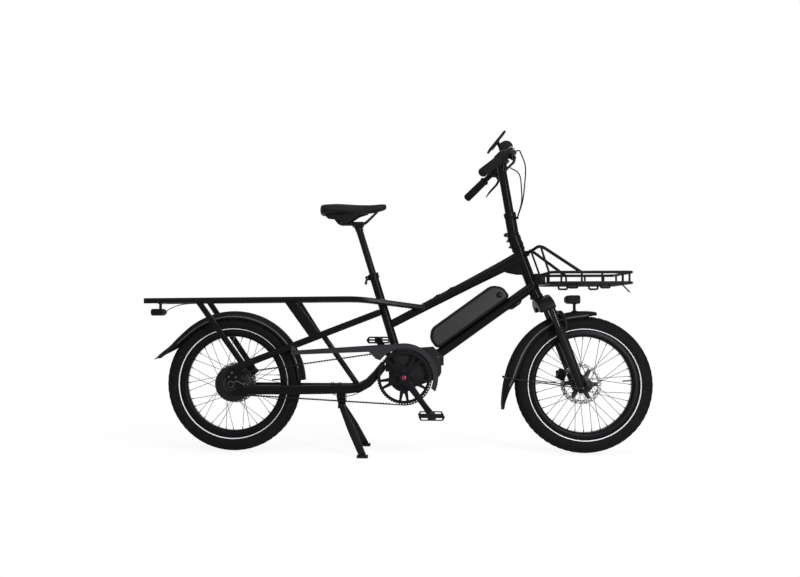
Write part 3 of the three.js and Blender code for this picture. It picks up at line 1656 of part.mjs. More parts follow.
// Tail light: a rounded box hung from the tail cross tube
const tailLightMidZ = tailLightTopZ - tailLightHeight / 2;
const tailLightOutline = [
  [tailLightRearX, tailLightTopZ - tailLightHeight],
  [tailLightRearX + tailLightLength * 0.8, tailLightTopZ - tailLightHeight],
  [tailLightRearX + tailLightLength, tailLightMidZ],
  [tailLightRearX + tailLightLength * 0.8, tailLightTopZ],
  [tailLightRearX, tailLightTopZ],
  [tailLightRearX - tailLightHeight * 0.12, tailLightMidZ],
];
const tailLightStem = block(
  tailCrossX,
  0,
  (tailLightTopZ + rackTailZ) / 2 - tailLightHeight * 0.15,
  crossTubeRadius * 1.6,
  tailLightHalfWidth,
  rackTailZ - tailLightTopZ + tailLightHeight * 0.3,
);
const tailLight = cut(
  join(
    sidePlate(tailLightOutline, -tailLightHalfWidth, tailLightHalfWidth * 2, [], castBevel),
    tailLightStem,
  ),
  crossTube(tailCrossX, weldGap),
);
piece("tail_light", largest(tailLight), plastic);

// Steering group: everything that turns with the bar
const steering = new THREE.Group();
root.add(steering);
piece("fork_crown", forkCrown, satinBlack, steering);
piece("fork_lowers", largest(forkLowers), satinBlack, steering);
piece("front_fender", largest(frontFender), plastic, steering);
piece("front_caliper", largest(frontCaliper), satinBlack, steering);

// Headlight: a rounded lamp on a stem from the fender
const lampMidZ = headlightLowZ + headlightHeight / 2;
const lampFrontX = headlightRearX + headlightLength;
const lampOutline = [
  [headlightRearX, lampMidZ - headlightHeight * 0.3],
  [headlightRearX + headlightLength * 0.2, headlightLowZ],
  [lampFrontX, headlightLowZ],
  [lampFrontX, headlightLowZ + headlightHeight],
  [headlightRearX + headlightLength * 0.3, headlightLowZ + headlightHeight],
  [headlightRearX, lampMidZ + headlightHeight * 0.2],
];
const lampStemX = headlightRearX + headlightLength * 0.66;
const lamp = cut(
  join(
    sidePlate(lampOutline, -headlightHalfWidth, headlightHalfWidth * 2, [], castBevel),
    rod(
      V(lampStemX, 0, tyreRadius + fenderRadius - fenderDrop),
      V(lampStemX, 0, lampMidZ),
      headlightStemRadius,
      headlightStemRadius,
      12,
    ),
  ),
  fenderShell(frontAxleX, frontFenderStops, weldGap),
);
piece("headlight", largest(lamp), plastic, steering);

// Stem: a base clamped on the steerer, a sleeve and post that lean less, and the bar clamp
const stemLow = steer(0, 0, headLength + stemBaseRadius * 1.8);
const stemTop = V(stemClampX, 0, stemClampZ);
const stemAhead = stemTop.clone().sub(stemLow).normalize();
const sleeveTop = stemLow.clone().addScaledVector(stemAhead, (stemSleeveTopZ - stemLow.z) / stemAhead.z);
const stemBar = rod(
  V(barCentreX, -stemClampHalfWidth - overrun, barCentreZ),
  V(barCentreX, stemClampHalfWidth + overrun, barCentreZ),
  barRadius + weldGap,
  barRadius + weldGap,
  16,
);
const stem = cut(
  join(
    rod(
      steer(0, 0, stemBaseFoot),
      steer(0, 0, headLength + stemBaseRadius * 2.6),
      stemBaseRadius,
      stemBaseRadius * 0.92,
      12,
    ),
    rod(stemLow, sleeveTop, stemSleeveRadius, stemSleeveRadius, 12),
    rod(stemLow, stemTop, stemPostRadius, stemPostRadius, 12),
    drum(barCentreX, barCentreZ, -stemClampHalfWidth, stemClampHalfWidth * 2, stemClampRadius, 12),
    drum(
      stemLow.x - stemBaseRadius * 1.2,
      stemLow.z + stemKnobRadius,
      -stemKnobLength / 2,
      stemKnobLength,
      stemKnobRadius,
      12,
    ),
  ),
  rod(
    steer(0, 0, headLength - overrun),
    steer(0, 0, steererTop + weldGap),
    steererRadius + weldGap,
    steererRadius + weldGap,
    12,
  ),
  stemBar,
);
piece("stem", stem, satinBlack, steering);

// Handlebar: a tube that sweeps back, with a brake clamp and master cylinder at each bend
const barHalf = [
  V(barEndX, -barEndY, barEndZ),
  V(barBendX, -barBendY, barBendZ),
  V(barRiseX, -barRiseY, barRiseZ),
  V(barCentreX, -barCentreHalf, barCentreZ),
];
const otherSide = (point) => V(point.x, -point.y, point.z);
const barPath = rounded([...barHalf, ...barHalf.slice().reverse().map(otherSide)], barBendRound, 2);
const barEnd = barHalf[0];
const barIn = barHalf[1].clone().sub(barHalf[0]).normalize();
const barOut = barIn.clone().negate();
const onBar = (fromEnd) => barEnd.clone().addScaledVector(barIn, fromEnd);
const leverLevel = V(barIn.y, -barIn.x, 0).normalize();
const leverAhead = leverLevel.clone().applyAxisAngle(barIn, turn(brakeLeverDroop));
const leverAxis = leverAhead.clone().cross(barOut).normalize();
const gripEnd = gripLength - gripRadius / 4;
const shifterStart = gripEnd + controlGap;
const clampStart = shifterStart + shifterLength + controlGap;
const clampAt = onBar(clampStart + brakeClampLength / 2);
const reach = (from, ahead, out, up) =>
  from.clone().addScaledVector(leverAhead, ahead).addScaledVector(barOut, out).addScaledVector(
    leverAxis,
    up,
  );
const pivotAt = reach(clampAt, brakePivotReach + brakeBodyRadius * 0.8, brakeBodyRadius, 0);
const pinRadius = brakeLeverHalf * 0.5;
const earThickness = brakeLeverHalf * 0.7;
const brakeEarOut = brakeLeverHalf + runningGap + earThickness / 2;
const brakeEar = (side) =>
  rod(
    reach(clampAt, brakeBodyRadius * 2.4, brakeBodyRadius, side * brakeEarOut),
    reach(pivotAt, brakeLeverHalf, 0, side * brakeEarOut),
    brakeLeverHalf,
    brakeLeverHalf,
    6,
  );
const brakeSet = join(
  rod(onBar(clampStart), onBar(clampStart + brakeClampLength), brakeClampRadius, brakeClampRadius, 10),
  rod(
    reach(clampAt, brakeBodyRadius * 2, -brakeBodyLength * 0.75, 0),
    reach(clampAt, brakeBodyRadius * 2, brakeClampLength / 2, 0),
    brakeBodyRadius,
    brakeBodyRadius,
    8,
  ),
  rod(
    clampAt,
    reach(clampAt, brakeBodyRadius * 2, 0, 0),
    brakeBodyRadius * 0.7,
    brakeBodyRadius * 0.7,
    6,
  ),
);
const brakeEars = cut(
  join(brakeEar(1), brakeEar(-1)),
  block(0, 0, 0, brakeLeverReach, brakeLeverReach, (brakeLeverHalf + runningGap) * 2).applyMatrix4(
    new THREE.Matrix4().makeBasis(leverAhead, barOut, leverAxis).setPosition(pivotAt),
  ),
);
const brakePin = rod(
  reach(pivotAt, 0, 0, -brakeEarOut),
  reach(pivotAt, 0, 0, brakeEarOut),
  pinRadius,
  pinRadius,
  6,
);
const brakeWhole = join(brakeSet, brakeEars, brakePin);
piece(
  "handlebar",
  join(tube(barPath, barRadius, 10), brakeWhole, mirrored(brakeWhole)),
  satinBlack,
  steering,
);

// Grips and the twist shifter
const gripBore = rod(
  onBar(-weldGap),
  onBar(gripEnd + overrun),
  barRadius + weldGap,
  barRadius + weldGap,
  16,
);
const gripShape = join(
  rod(onBar(-gripRadius / 4), onBar(gripEnd), gripRadius, gripRadius * 0.94, 12),
  rod(onBar(gripEnd - gripRadius / 3), onBar(gripEnd), gripRadius * 1.1, gripRadius * 1.1, 12),
);
const grip = cut(gripShape, gripBore);
piece("grip_right", grip, rubber, steering);
piece("grip_left", mirrored(grip), rubber, steering);
const shifter = cut(
  join(
    rod(
      onBar(shifterStart),
      onBar(shifterStart + shifterLength * 0.55),
      shifterRadius * 0.9,
      shifterRadius,
      12,
    ),
    rod(
      onBar(shifterStart + shifterLength * 0.5),
      onBar(shifterStart + shifterLength),
      shifterRadius,
      shifterRadius * 1.08,
      12,
    ),
  ),
  rod(
    onBar(shifterStart - overrun),
    onBar(clampStart + overrun),
    barRadius + runningGap,
    barRadius + runningGap,
    16,
  ),
);
piece("twist_shifter", shifter, plastic, steering);

// Brake levers: curved blades ahead of the grips, each turning on its pin
const bladePath = rounded(
  [
    pivotAt,
    reach(pivotAt, brakeLeverReach * 0.22, brakeLeverLength * 0.25, 0),
    reach(pivotAt, brakeLeverReach * 0.26, brakeLeverLength * 0.7, 0),
    reach(pivotAt, brakeLeverReach * 0.36, brakeLeverLength, 0),
  ],
  brakeLeverLength * 0.2,
  2,
);
const blade = loft(stationsAlong(bladePath, leverAxis), (share) =>
  oval(brakeLeverHalf * (1.1 - 0.35 * share), brakeLeverHalf * (0.95 - 0.2 * share), 8),
);
const leverBoss = rod(
  reach(pivotAt, 0, 0, -brakeLeverHalf),
  reach(pivotAt, 0, 0, brakeLeverHalf),
  brakeLeverHalf * 1.3,
  brakeLeverHalf * 1.3,
  8,
);
const leverBore = rod(
  reach(pivotAt, 0, 0, -brakeLeverHalf - overrun),
  reach(pivotAt, 0, 0, brakeLeverHalf + overrun),
  pinRadius + runningGap,
  pinRadius + runningGap,
  6,
);
const brakeLever = cut(join(blade, leverBoss), leverBore);
piece("brake_lever_right", brakeLever, satinBlack, steering);
piece("brake_lever_left", mirrored(brakeLever), satinBlack, steering);

// Display: a flat unit and its round housing, on an arm from a ring round the bar
const displayAt = V(displayX, 0, displayZ);
const displayPlate = block(0, 0, 0, displayLength, displayWidth, displayThickness);
displayPlate.rotateY(-turn(displayTilt));
displayPlate.translate(displayAt.x, displayAt.y, displayAt.z);
const displayRingY = -stemClampHalfWidth - displayArmRadius * 1.2;
const displayRing = (y) =>
  drum(barCentreX, barCentreZ, y - displayArmRadius, displayArmRadius * 2, barRadius * 1.6, 12);
const display = cut(
  join(
    displayPlate,
    displayRing(displayRingY),
    drum(
      barCentreX + displayArmRadius,
      barCentreZ + displayHubRise,
      displayRingY + displayArmRadius / 2 - displayHubWidth - displayArmRadius,
      displayHubWidth,
      displayHubRadius,
      14,
    ),
    rod(
      V(barCentreX, displayRingY, barCentreZ + barRadius),
      V(displayAt.x, displayRingY + displayArmRadius, displayAt.z),
      displayArmRadius,
      displayArmRadius,
      10,
    ),
  ),
  rod(
    V(barCentreX, -barCentreHalf, barCentreZ),
    V(barCentreX, barCentreHalf, barCentreZ),
    barRadius + weldGap,
    barRadius + weldGap,
    16,
  ),
);
piece("display", display, plastic, steering);

// Cockpit hoses: one from each master cylinder, meeting in a clip on the front of the stem sleeve
const clipAt = stemLow.clone().lerp(sleeveTop, 0.8).add(V(stemSleeveRadius + hoseRadius * 2, 0, 0));
const hoseStart = reach(clampAt, brakeBodyRadius * 2, -brakeBodyLength * 0.75 - 3 * runningGap, 0);
const hoseLead = reach(clampAt, brakeBodyRadius * 2.6, -brakeBodyLength * 1.4, 0);
const hosePath = rounded(
  [
    hoseStart,
    hoseLead,
    V(stemClampX + stemSleeveRadius * 4, -barCentreHalf, stemClampZ - stemSleeveRadius),
    V(clipAt.x + stemSleeveRadius, -hoseRadius * 5, clipAt.z + stemSleeveRadius * 3),
    V(clipAt.x, -hoseRadius * 1.5, clipAt.z),
  ],
  stemSleeveRadius * 2,
  3,
);
const hose = tube(hosePath, hoseRadius, 6);
const hoseClip = block(clipAt.x, 0, clipAt.z, hoseRadius * 4, hoseRadius * 7, hoseRadius * 4);
const hoses = cut(
  join(hose, mirrored(hose), hoseClip),
  rod(stemLow, sleeveTop, stemSleeveRadius + weldGap, stemSleeveRadius + weldGap, 12),
);
piece("cockpit_hose", largest(hoses), rubber, steering);

// Front rack tray: two rounded rails on posts, with lengthwise slats and a plate to the head tube
function railLoop(z, radius) {
  const lowX = trayRearX;
  const highX = trayRearX + trayLength;
  const corners = [
    V(lowX, radius, z),
    V(lowX, -trayHalfWidth, z),
    V(highX, -trayHalfWidth, z),
    V(highX, radius, z),
  ];
  const half = tube(rounded(corners, trayCorner, 2), radius, 6);
  return join(half, mirrored(half));
}
const trayBars = [];
for (let i = 0; i < trayPostCount; i++) {
  const x = trayRearX + (trayLength * (i + 0.5)) / trayPostCount;
  for (const side of [-1, 1]) {
    trayBars.push(
      rod(
        V(x, side * trayHalfWidth, trayLowZ),
        V(x, side * trayHalfWidth, trayHighZ),
        traySlatRadius,
        traySlatRadius,
        4,
      ),
    );
  }
}
for (let i = 0; i < traySlatCount; i++) {
  const y = trayHalfWidth * (((i + 1) * 2) / (traySlatCount + 1) - 1);
  trayBars.push(
    rod(
      V(trayRearX, y, trayLowZ),
      V(trayRearX + trayLength, y, trayLowZ),
      traySlatRadius,
      traySlatRadius,
      4,
    ),
  );
  if (i % 2 === 0) {
    for (const x of [trayRearX, trayRearX + trayLength]) {
      trayBars.push(rod(V(x, y, trayLowZ), V(x, y, trayHighZ), traySlatRadius, traySlatRadius, 4));
    }
  }
}
for (const side of [-1, 1]) {
  for (const share of [0.3, 0.7]) {
    const x = trayRearX + trayLength * share;
    const y = (side * trayHalfWidth * 2) / 3;
    const loopPath = rounded(
      [
        V(x - bracketLoopLength, y, trayLowZ),
        V(x - bracketLoopLength * 0.8, y, trayLowZ - bracketLoopDrop),
        V(x + bracketLoopLength * 0.8, y, trayLowZ - bracketLoopDrop),
        V(x + bracketLoopLength, y, trayLowZ),
      ],
      bracketLoopLength * 0.3,
      2,
    );
    trayBars.push(tube(loopPath, bracketLoopBar, 4));
  }
}
const trayPlate = block(
  trayRearX - trayPlateWidth * 0.55,
  0,
  (trayLowZ + trayHighZ) / 2,
  trayPlateWidth * 1.2,
  trayPlateWidth,
  trayHighZ - trayLowZ + trayTubeRadius,
);
const tray = cut(
  join(railLoop(trayLowZ, trayTubeRadius), railLoop(trayHighZ, trayTubeRadius), ...trayBars, trayPlate),
  headSolid,
);
piece("front_rack_tray", largest(tray), satinBlack);

// Front rack hoop: a tube from the head tube out and down to the top rail on each side
const hoopPath = rounded(
  [
    V(hoopFootX, -trayHalfWidth, trayHighZ),
    V(hoopCornerX, -hoopCornerY, hoopCornerZ),
    V(hoopHeadX, -hoopHeadY, headTopZ - headTubeRadius),
    V(hoopHeadX, hoopHeadY, headTopZ - headTubeRadius),
    V(hoopCornerX, hoopCornerY, hoopCornerZ),
    V(hoopFootX, trayHalfWidth, trayHighZ),
  ],
  trayCorner,
  2,
);
const hoopBrace = (side) =>
  rod(
    V(hoopCornerX, side * hoopCornerY, hoopCornerZ),
    V(trayRearX, side * trayHalfWidth * 0.72, trayHighZ),
    traySlatRadius,
    traySlatRadius,
    4,
  );
const hoop = cut(
  join(tube(hoopPath, hoopTubeRadius, 6), hoopBrace(-1), hoopBrace(1)),
  railLoop(trayHighZ, trayTubeRadius + weldGap),
  ...trayBars,
  headSolid,
  topShape(weldGap),
);
piece("front_rack_hoop", largest(hoop), satinBlack);

// Battery: a long case with cut corners that slides on the down tube's rail
function batteryPlate(outline, halfWidth, bevel) {
  const geometry = sidePlate(outline, -halfWidth, halfWidth * 2, [], bevel);
  geometry.applyMatrix4(
    new THREE.Matrix4().makeBasis(downAhead, V(0, 1, 0), downUp).setPosition(downLow),
  );
  return geometry;
}
const batteryFoot = downTubeHalfDepth + weldGap + 2 * runningGap;
const batteryBox = (from, to, foot, top, corner) => [
  [from, foot],
  [to, foot],
  [to, top - corner],
  [to - corner, top],
  [from + corner, top],
  [from, top - corner],
];
const batteryTop = batteryFoot + batteryDepth;
const batteryEnd = batteryStart + batteryLength;
const railClear = loft(
  stationsAlong(
    [
      onDownTube(batteryStart - batteryLength, 0, railMiddle),
      onDownTube(batteryEnd + batteryLength, 0, railMiddle),
    ],
  ),
  () => oval(railHalfWidth + runningGap, railHeight / 2 + railSink + runningGap, 8, 0.3),
);
const lockAt = onDownTube(batteryEnd - batteryRim * 3, 0, batteryDepth * 0.5);
const battery = cut(
  join(
    batteryPlate(
      batteryBox(batteryStart, batteryEnd, batteryFoot, batteryTop, batteryCorner),
      batteryHalfWidth,
      castBevel * 1.5,
    ),
    batteryPlate(
      batteryBox(
        batteryStart + batteryRim,
        batteryEnd - batteryRim,
        batteryFoot + batteryRim,
        batteryTop - batteryRim,
        batteryCorner,
      ),
      batteryHalfWidth + batteryRimProud,
      batteryRimProud,
    ),
    drum(lockAt.x, lockAt.z, -batteryHalfWidth - batteryRimProud * 2, batteryHalfWidth, batteryRim, 12),
  ),
  railClear,
);
piece("battery_case", largest(battery), plastic);

// Seatpost with the saddle clamp and rails
const postTop = seatCollar.clone().addScaledVector(seatUp, seatPostOut);
const postFoot = seatCollar.clone().addScaledVector(seatUp, -seatPostIn);
const saddleUnderZ = saddleTopZ - saddleDepth;
const saddleRails = [-1, 1].map((side) => {
  const y = side * saddleRailSpread;
  const low = postTop.z + saddleClampHeight * 0.35;
  return tube(
    rounded(
      [
        V(saddleTailX + saddleLength * 0.16, y * 1.4, saddleUnderZ + saddleNoseDepth * 0.3),
        V(saddleTailX + saddleLength * 0.28, y, low),
        V(saddleTailX + saddleLength * 0.66, y, low),
        V(saddleTailX + saddleLength * 0.86, y * 0.4, saddleUnderZ + saddleNoseDepth * 0.6),
      ],
      saddleRailDrop,
      2,
    ),
    saddleRailRadius,
    6,
  );
});
const saddleStationShares = [0, 0.04, 0.12, 0.24, 0.38, 0.52, 0.66, 0.8, 0.92, 1];
const saddleWidthShares = [0.55, 0.84, 1, 0.98, 0.82, 0.56, 0.37, 0.29, 0.24, 0.14];
function saddleShape(grow) {
  const stations = saddleStationShares.map((share) => {
    const end = share === 0 ? -grow : share === 1 ? grow : 0;
    const dip = saddleDip * Math.sin(Math.PI * share);
    return {
      at: V(saddleTailX + saddleLength * share + end, 0, saddleTopZ - dip * share),
      side: V(0, 1, 0),
      up: V(0, 0, 1),
    };
  });
  return loft(stations, (t) => {
    const index = Math.round(t * (saddleStationShares.length - 1));
    const half = saddleHalfWidth * saddleWidthShares[index] + grow;
    const depth = THREE.MathUtils.lerp(saddleDepth, saddleNoseDepth, saddleStationShares[index]);
    const ends = index === 0 || index === saddleStationShares.length - 1 ? 0.35 : 0;
    const top = -depth * ends * 0.5 + grow;
    return [
      [-half * 0.3, top - depth * 0.005],
      [0, top],
      [half * 0.3, top - depth * 0.005],
      [half * 0.7, top - depth * 0.13],
      [half * 0.93, top - depth * 0.36],
      [half, -depth * 0.62],
      [half * 0.86, -depth * 0.9 - grow],
      [half * 0.5, -depth - grow],
      [-half * 0.5, -depth - grow],
      [-half * 0.86, -depth * 0.9 - grow],
      [-half, -depth * 0.62],
      [-half * 0.93, top - depth * 0.36],
      [-half * 0.7, top - depth * 0.13],
    ];
  });
}
const clampBlock = block(
  postTop.x,
  0,
  postTop.z + saddleClampHeight * 0.3,
  saddleClampLength,
  saddleClampWidth + saddleRailRadius * 3,
  saddleClampHeight,
);
const seatpost = cut(
  join(rod(postFoot, postTop, seatPostRadius, seatPostRadius, 12), clampBlock, ...saddleRails),
  saddleShape(weldGap),
);
piece("seatpost", largest(seatpost), satinBlack);
piece("saddle", saddleShape(0), rubber);

// Seat clamp lever: a cam boss beside the collar's ears with a blade that lies along the tube
const leverPivot = earAt.clone().add(V(0, -collarEar / 2 - weldGap - leverThickness / 2, 0));
const camBoss = drum(
  leverPivot.x,
  leverPivot.z,
  leverPivot.y - leverThickness / 2,
  leverThickness,
  leverThickness * 0.7,
  12,
);
const leverTip = leverPivot.clone().addScaledVector(seatUp, -leverLength * 0.35).addScaledVector(
  seatAhead,
  -leverLength * 0.2,
);
const leverBlade = loft(
  stationsAlong([leverPivot, leverPivot.clone().lerp(leverTip, 0.5), leverTip], V(0, 1, 0)),
  (share) => oval(leverThickness * (0.55 + 0.2 * share), leverThickness * 0.4, 10),
);
piece(
  "seat_clamp_lever",
  cut(
    join(camBoss, leverBlade),
    rod(collarFoot, seatCollar, collarRadius + weldGap, collarRadius + weldGap, 12),
    seatSolid,
  ),
  bareMetal,
);

// Stand: a bracket under the chainstays and a pair of legs that fold back on its pin
const bracketTopZ = chainstayZ;
const bracketNeckZ = bracketTopZ - chainstayDepth * 0.86;
const standCheekY = standTubeHalf * 0.45;
const standBracketSolid = cut(
  join(
    block(
      standX,
      0,
      (bracketTopZ + bracketNeckZ) / 2,
      standBracketLength,
      stayRearY * 1.45,
      bracketTopZ - bracketNeckZ,
    ),
    block(
      standX,
      0,
      (bracketNeckZ + standPivotZ + standTubeRadius * 1.3 + overrun) / 2,
      standBracketLength,
      stayRearY,
      bracketNeckZ - standPivotZ - standTubeRadius * 1.3 + overrun,
    ),
    ...[-1, 1].map((side) =>
      block(
        standX,
        side * standCheekY,
        (bracketTopZ + standPivotZ - standTubeRadius) / 2,
        standBracketLength * 0.85,
        standCheekThickness,
        bracketTopZ - standPivotZ + standTubeRadius,
      ),
    ),
  ),
  chainstayShape(weldGap),
  leftChainstay,
  brace,
  mirrored(brace),
  drum(standX, standPivotZ, -standTubeHalf, standTubeHalf * 2, standPinRadius + runningGap, 12),
);
piece("stand_bracket", largest(standBracketSolid), satinBlack);
const standHip = V(standX, standTubeHalf * 0.85, standPivotZ);
const standAnkle = V(standFootX, standFootY, standFootHeight);
const standLegPath = [0, 0.18, 0.4, 1].map((share) => standHip.clone().lerp(standAnkle, share));
const standLeg = loft(stationsAlong(standLegPath, V(0, 1, 0)), (share) => {
  const width = THREE.MathUtils.lerp(standLegTopWidth, standLegWidth, Math.min(share * 2, 1)) * (1 - 0.2 * share);
  return oval(width / 2, standLegThickness / 2, 10, 0.6);
});
const standFoot = block(
  standFootX,
  standFootY,
  standFootHeight / 2,
  standFootLength,
  standLegWidth,
  standFootHeight,
);
const belowFloor = block(standFootX, 0, -wheelbase / 2, wheelbase, wheelbase, wheelbase);
const standInner = standCheekY + standCheekThickness / 2 + runningGap;
const standBoss = drum(
  standX,
  standPivotZ,
  standInner,
  standTubeHalf - standInner + standLegThickness / 2,
  standTubeRadius,
  12,
);
const standSide = cut(
  join(standLeg, standFoot, standBoss),
  belowFloor,
  block(standX, 0, standPivotZ, standLegWidth * 2, standInner * 2, standLegWidth * 2),
);
const standLegs = join(
  standSide,
  mirrored(standSide),
  drum(standX, standPivotZ, -standTubeHalf, standTubeHalf * 2, standPinRadius, 12),
);
piece("stand_legs", largest(standLegs), satinBlack);

export default root;
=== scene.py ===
import math

import bmesh
import bpy
import numpy as np
from mathutils import Matrix, Vector
from mathutils.bvhtree import BVHTree


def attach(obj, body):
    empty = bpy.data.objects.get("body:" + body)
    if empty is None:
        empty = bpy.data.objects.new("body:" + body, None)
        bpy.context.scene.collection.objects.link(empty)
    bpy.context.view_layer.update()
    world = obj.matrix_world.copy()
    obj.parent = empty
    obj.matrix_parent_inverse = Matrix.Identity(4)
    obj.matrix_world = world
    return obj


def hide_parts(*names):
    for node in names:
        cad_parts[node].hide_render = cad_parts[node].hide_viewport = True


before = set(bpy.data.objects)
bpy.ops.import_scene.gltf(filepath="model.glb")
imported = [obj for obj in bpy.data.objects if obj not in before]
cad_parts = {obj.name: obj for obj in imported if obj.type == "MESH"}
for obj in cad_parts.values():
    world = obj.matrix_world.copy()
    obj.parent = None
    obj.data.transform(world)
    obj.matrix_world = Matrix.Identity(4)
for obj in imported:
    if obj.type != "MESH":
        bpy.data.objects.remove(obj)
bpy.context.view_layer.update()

# Studio: a long lens at hub height that looks a little to the rear, as for a catalogue picture.
# The bike stands on a pale sheet under three broad soft lamps and an upright strip for the highlights.
lens_mm = 39.223
camera_place = (-0.00512, -3.41025, 0.52638)
camera_yaw = math.radians(2.9905)
camera_pitch = math.radians(1.8282)


def placed(name, data):
    """An object of its own in the scene, at the origin."""
    made = bpy.data.objects.new(name, data)
    bpy.context.scene.collection.objects.link(made)
    return made


camera_data = bpy.data.cameras.new("studio_camera")
camera_data.lens = lens_mm
camera_data.sensor_width = 36
camera_data.shift_x = 0.0609
camera = placed("studio_camera", camera_data)
camera.location = camera_place
camera.rotation_euler = (math.pi / 2 + camera_pitch, 0, camera_yaw)
bpy.context.scene.camera = camera
bpy.context.scene.view_settings.view_transform = "Standard"


def soft_lamp(name, place, aim, size, power):
    lamp = bpy.data.lights.new(name, "AREA")
    lamp.shape = "RECTANGLE"
    lamp.size, lamp.size_y = size
    lamp.energy = power
    stand = placed(name, lamp)
    stand.location = place
    stand.rotation_euler = (Vector(aim) - Vector(place)).to_track_quat("-Z", "Y").to_euler()


soft_lamp("lamp_over", (0.3, -1.2, 3.4), (0, 0, 0.4), (3.4, 1.6), 62)
soft_lamp("lamp_front", (-1.6, -3.6, 1.9), (0, 0, 0.5), (2.2, 2.2), 26)
soft_lamp("lamp_strip", (1.9, -2.9, 1.1), (0.1, 0, 0.6), (0.22, 2.2), 110)
soft_lamp("lamp_behind", (1.4, 3.0, 2.4), (0, 0, 0.6), (2.6, 1.4), 38)


class Wire:
    """One output of a shader node, whose sums and products add Math nodes."""

    def __init__(self, finish, socket):
        self.finish = finish
        self.socket = socket

    def math(self, operation, *values):
        sockets = dict(zip(("a", "b", "c"), values))
        return Wire(
            self.finish, self.finish.node("ShaderNodeMath", {"operation": operation}, **sockets).outputs[0]
        )

    def __add__(self, other):
        return self.math("ADD", self, other)

    __radd__ = __add__

    def __sub__(self, other):
        return self.math("SUBTRACT", self, other)

    def __rsub__(self, other):
        return self.math("SUBTRACT", other, self)

    def __mul__(self, other):
        return self.math("MULTIPLY", self, other)

    __rmul__ = __mul__

    def __gt__(self, other):
        return self.math("GREATER_THAN", self, other)

    def __lt__(self, other):
        return self.math("LESS_THAN", self, other)

    def band(self, middle, reach):
        """1 within reach of middle, and 0 past it."""
        return self.math("COMPARE", self, middle, reach)

    def smooth(self, low, high):
        node = self.finish.node(
            "ShaderNodeMapRange",
            {"interpolation_type": "SMOOTHSTEP"},
            Value=self,
            **{"From Min": low, "From Max": high},
        )
        return Wire(self.finish, node.outputs[0])


class Finish:
    """A material whose plain values sit on the shader and whose detail comes from node patterns."""

    def __init__(self, name, colour, roughness, metallic=0.0, **plain):
        self.material = bpy.data.materials.new(name)
        self.material.use_nodes = True
        self.nodes = self.material.node_tree.nodes
        self.links = self.material.node_tree.links
        self.shader = self.nodes["Principled BSDF"]
        self.shader.inputs["Base Color"].default_value = (*colour, 1.0)
        self.shader.inputs["Roughness"].default_value = roughness
        self.shader.inputs["Metallic"].default_value = metallic
        for socket, value in plain.items():
            self.shader.inputs[socket.replace("_", " ")].default_value = value
        self.place = None

    def node(self, kind, settings=None, **sockets):
        made = self.nodes.new(kind)
        for key, value in (settings or {}).items():
            if key == "stops":
                ramp = made.color_ramp
                for stop, (at, colour) in zip(ramp.elements, value):
                    stop.position, stop.color = at, (*colour, 1.0)
                for at, colour in value[2:]:
                    ramp.elements.new(at).color = (*colour, 1.0)
            else:
                setattr(made, key, value)
        for key, value in sockets.items():
            socket = made.inputs[("a", "b", "c").index(key)] if key in ("a", "b", "c") else made.inputs[key]
            self.feed(socket, value)
        return made

    def feed(self, socket, value):
        if isinstance(socket, str):
            socket = self.shader.inputs[socket]
        if isinstance(value, Wire):
            self.links.new(value.socket, socket)
        else:
            socket.default_value = value

    def spot(self):
        """The place on the piece, from one node that all patterns share."""
        if self.place is None:
            self.place = Wire(self, self.node("ShaderNodeTexCoord").outputs["Object"])
        return self.place

    def vector(self, operation, first, second):
        node = self.node("ShaderNodeVectorMath", {"operation": operation}, a=first, b=second)
        return Wire(self, node.outputs[0])

    def about(self, centre, stretch=(1, 1, 1)):
        """Coordinates counted from a centre, so that a round pattern turns about it."""
        return self.vector("MULTIPLY", self.vector("SUBTRACT", self.spot(), tuple(centre)), stretch)

    def parts(self, vector):
        node = self.node("ShaderNodeSeparateXYZ", Vector=vector)
        return [Wire(self, out) for out in node.outputs]

    def grain(self, scale, detail=2.0, vector=None, kind="ShaderNodeTexNoise"):
        node = self.node(kind, Vector=vector or self.spot(), Scale=scale)
        if "Detail" in node.inputs and detail:
            node.inputs["Detail"].default_value = detail
        return Wire(self, node.outputs[0])

    def bump(self, height, strength, distance=0.0004):
        node = self.node("ShaderNodeBump", Height=height, Strength=strength, Distance=distance)
        self.feed("Normal", Wire(self, node.outputs["Normal"]))

    def blend(self, mask, low, high):
        node = self.node("ShaderNodeMix", {"data_type": "RGBA"}, Factor=mask)
        for name, colour in (("A", low), ("B", high)):
            socket = [s for s in node.inputs if s.name == name and s.type == "RGBA"][0]
            self.feed(socket, colour if isinstance(colour, Wire) else (*colour[:3], 1.0))
        return Wire(self, [s for s in node.outputs if s.type == "RGBA"][0])

    def uneven(self, pebble=None, rough=None, tone=None):
        """What most finishes share: a fine bump, and a roughness and a colour that vary a little."""
        if pebble:
            scale, detail, strength, distance = pebble
            self.bump(self.grain(scale, detail), strength, distance)
        if rough:
            base, scale, detail, reach = rough
            self.feed("Roughness", base + self.grain(scale, detail) * reach)
        if tone:
            scale, detail, low, high = tone
            self.feed("Base Color", self.blend(self.grain(scale, detail), low, high))


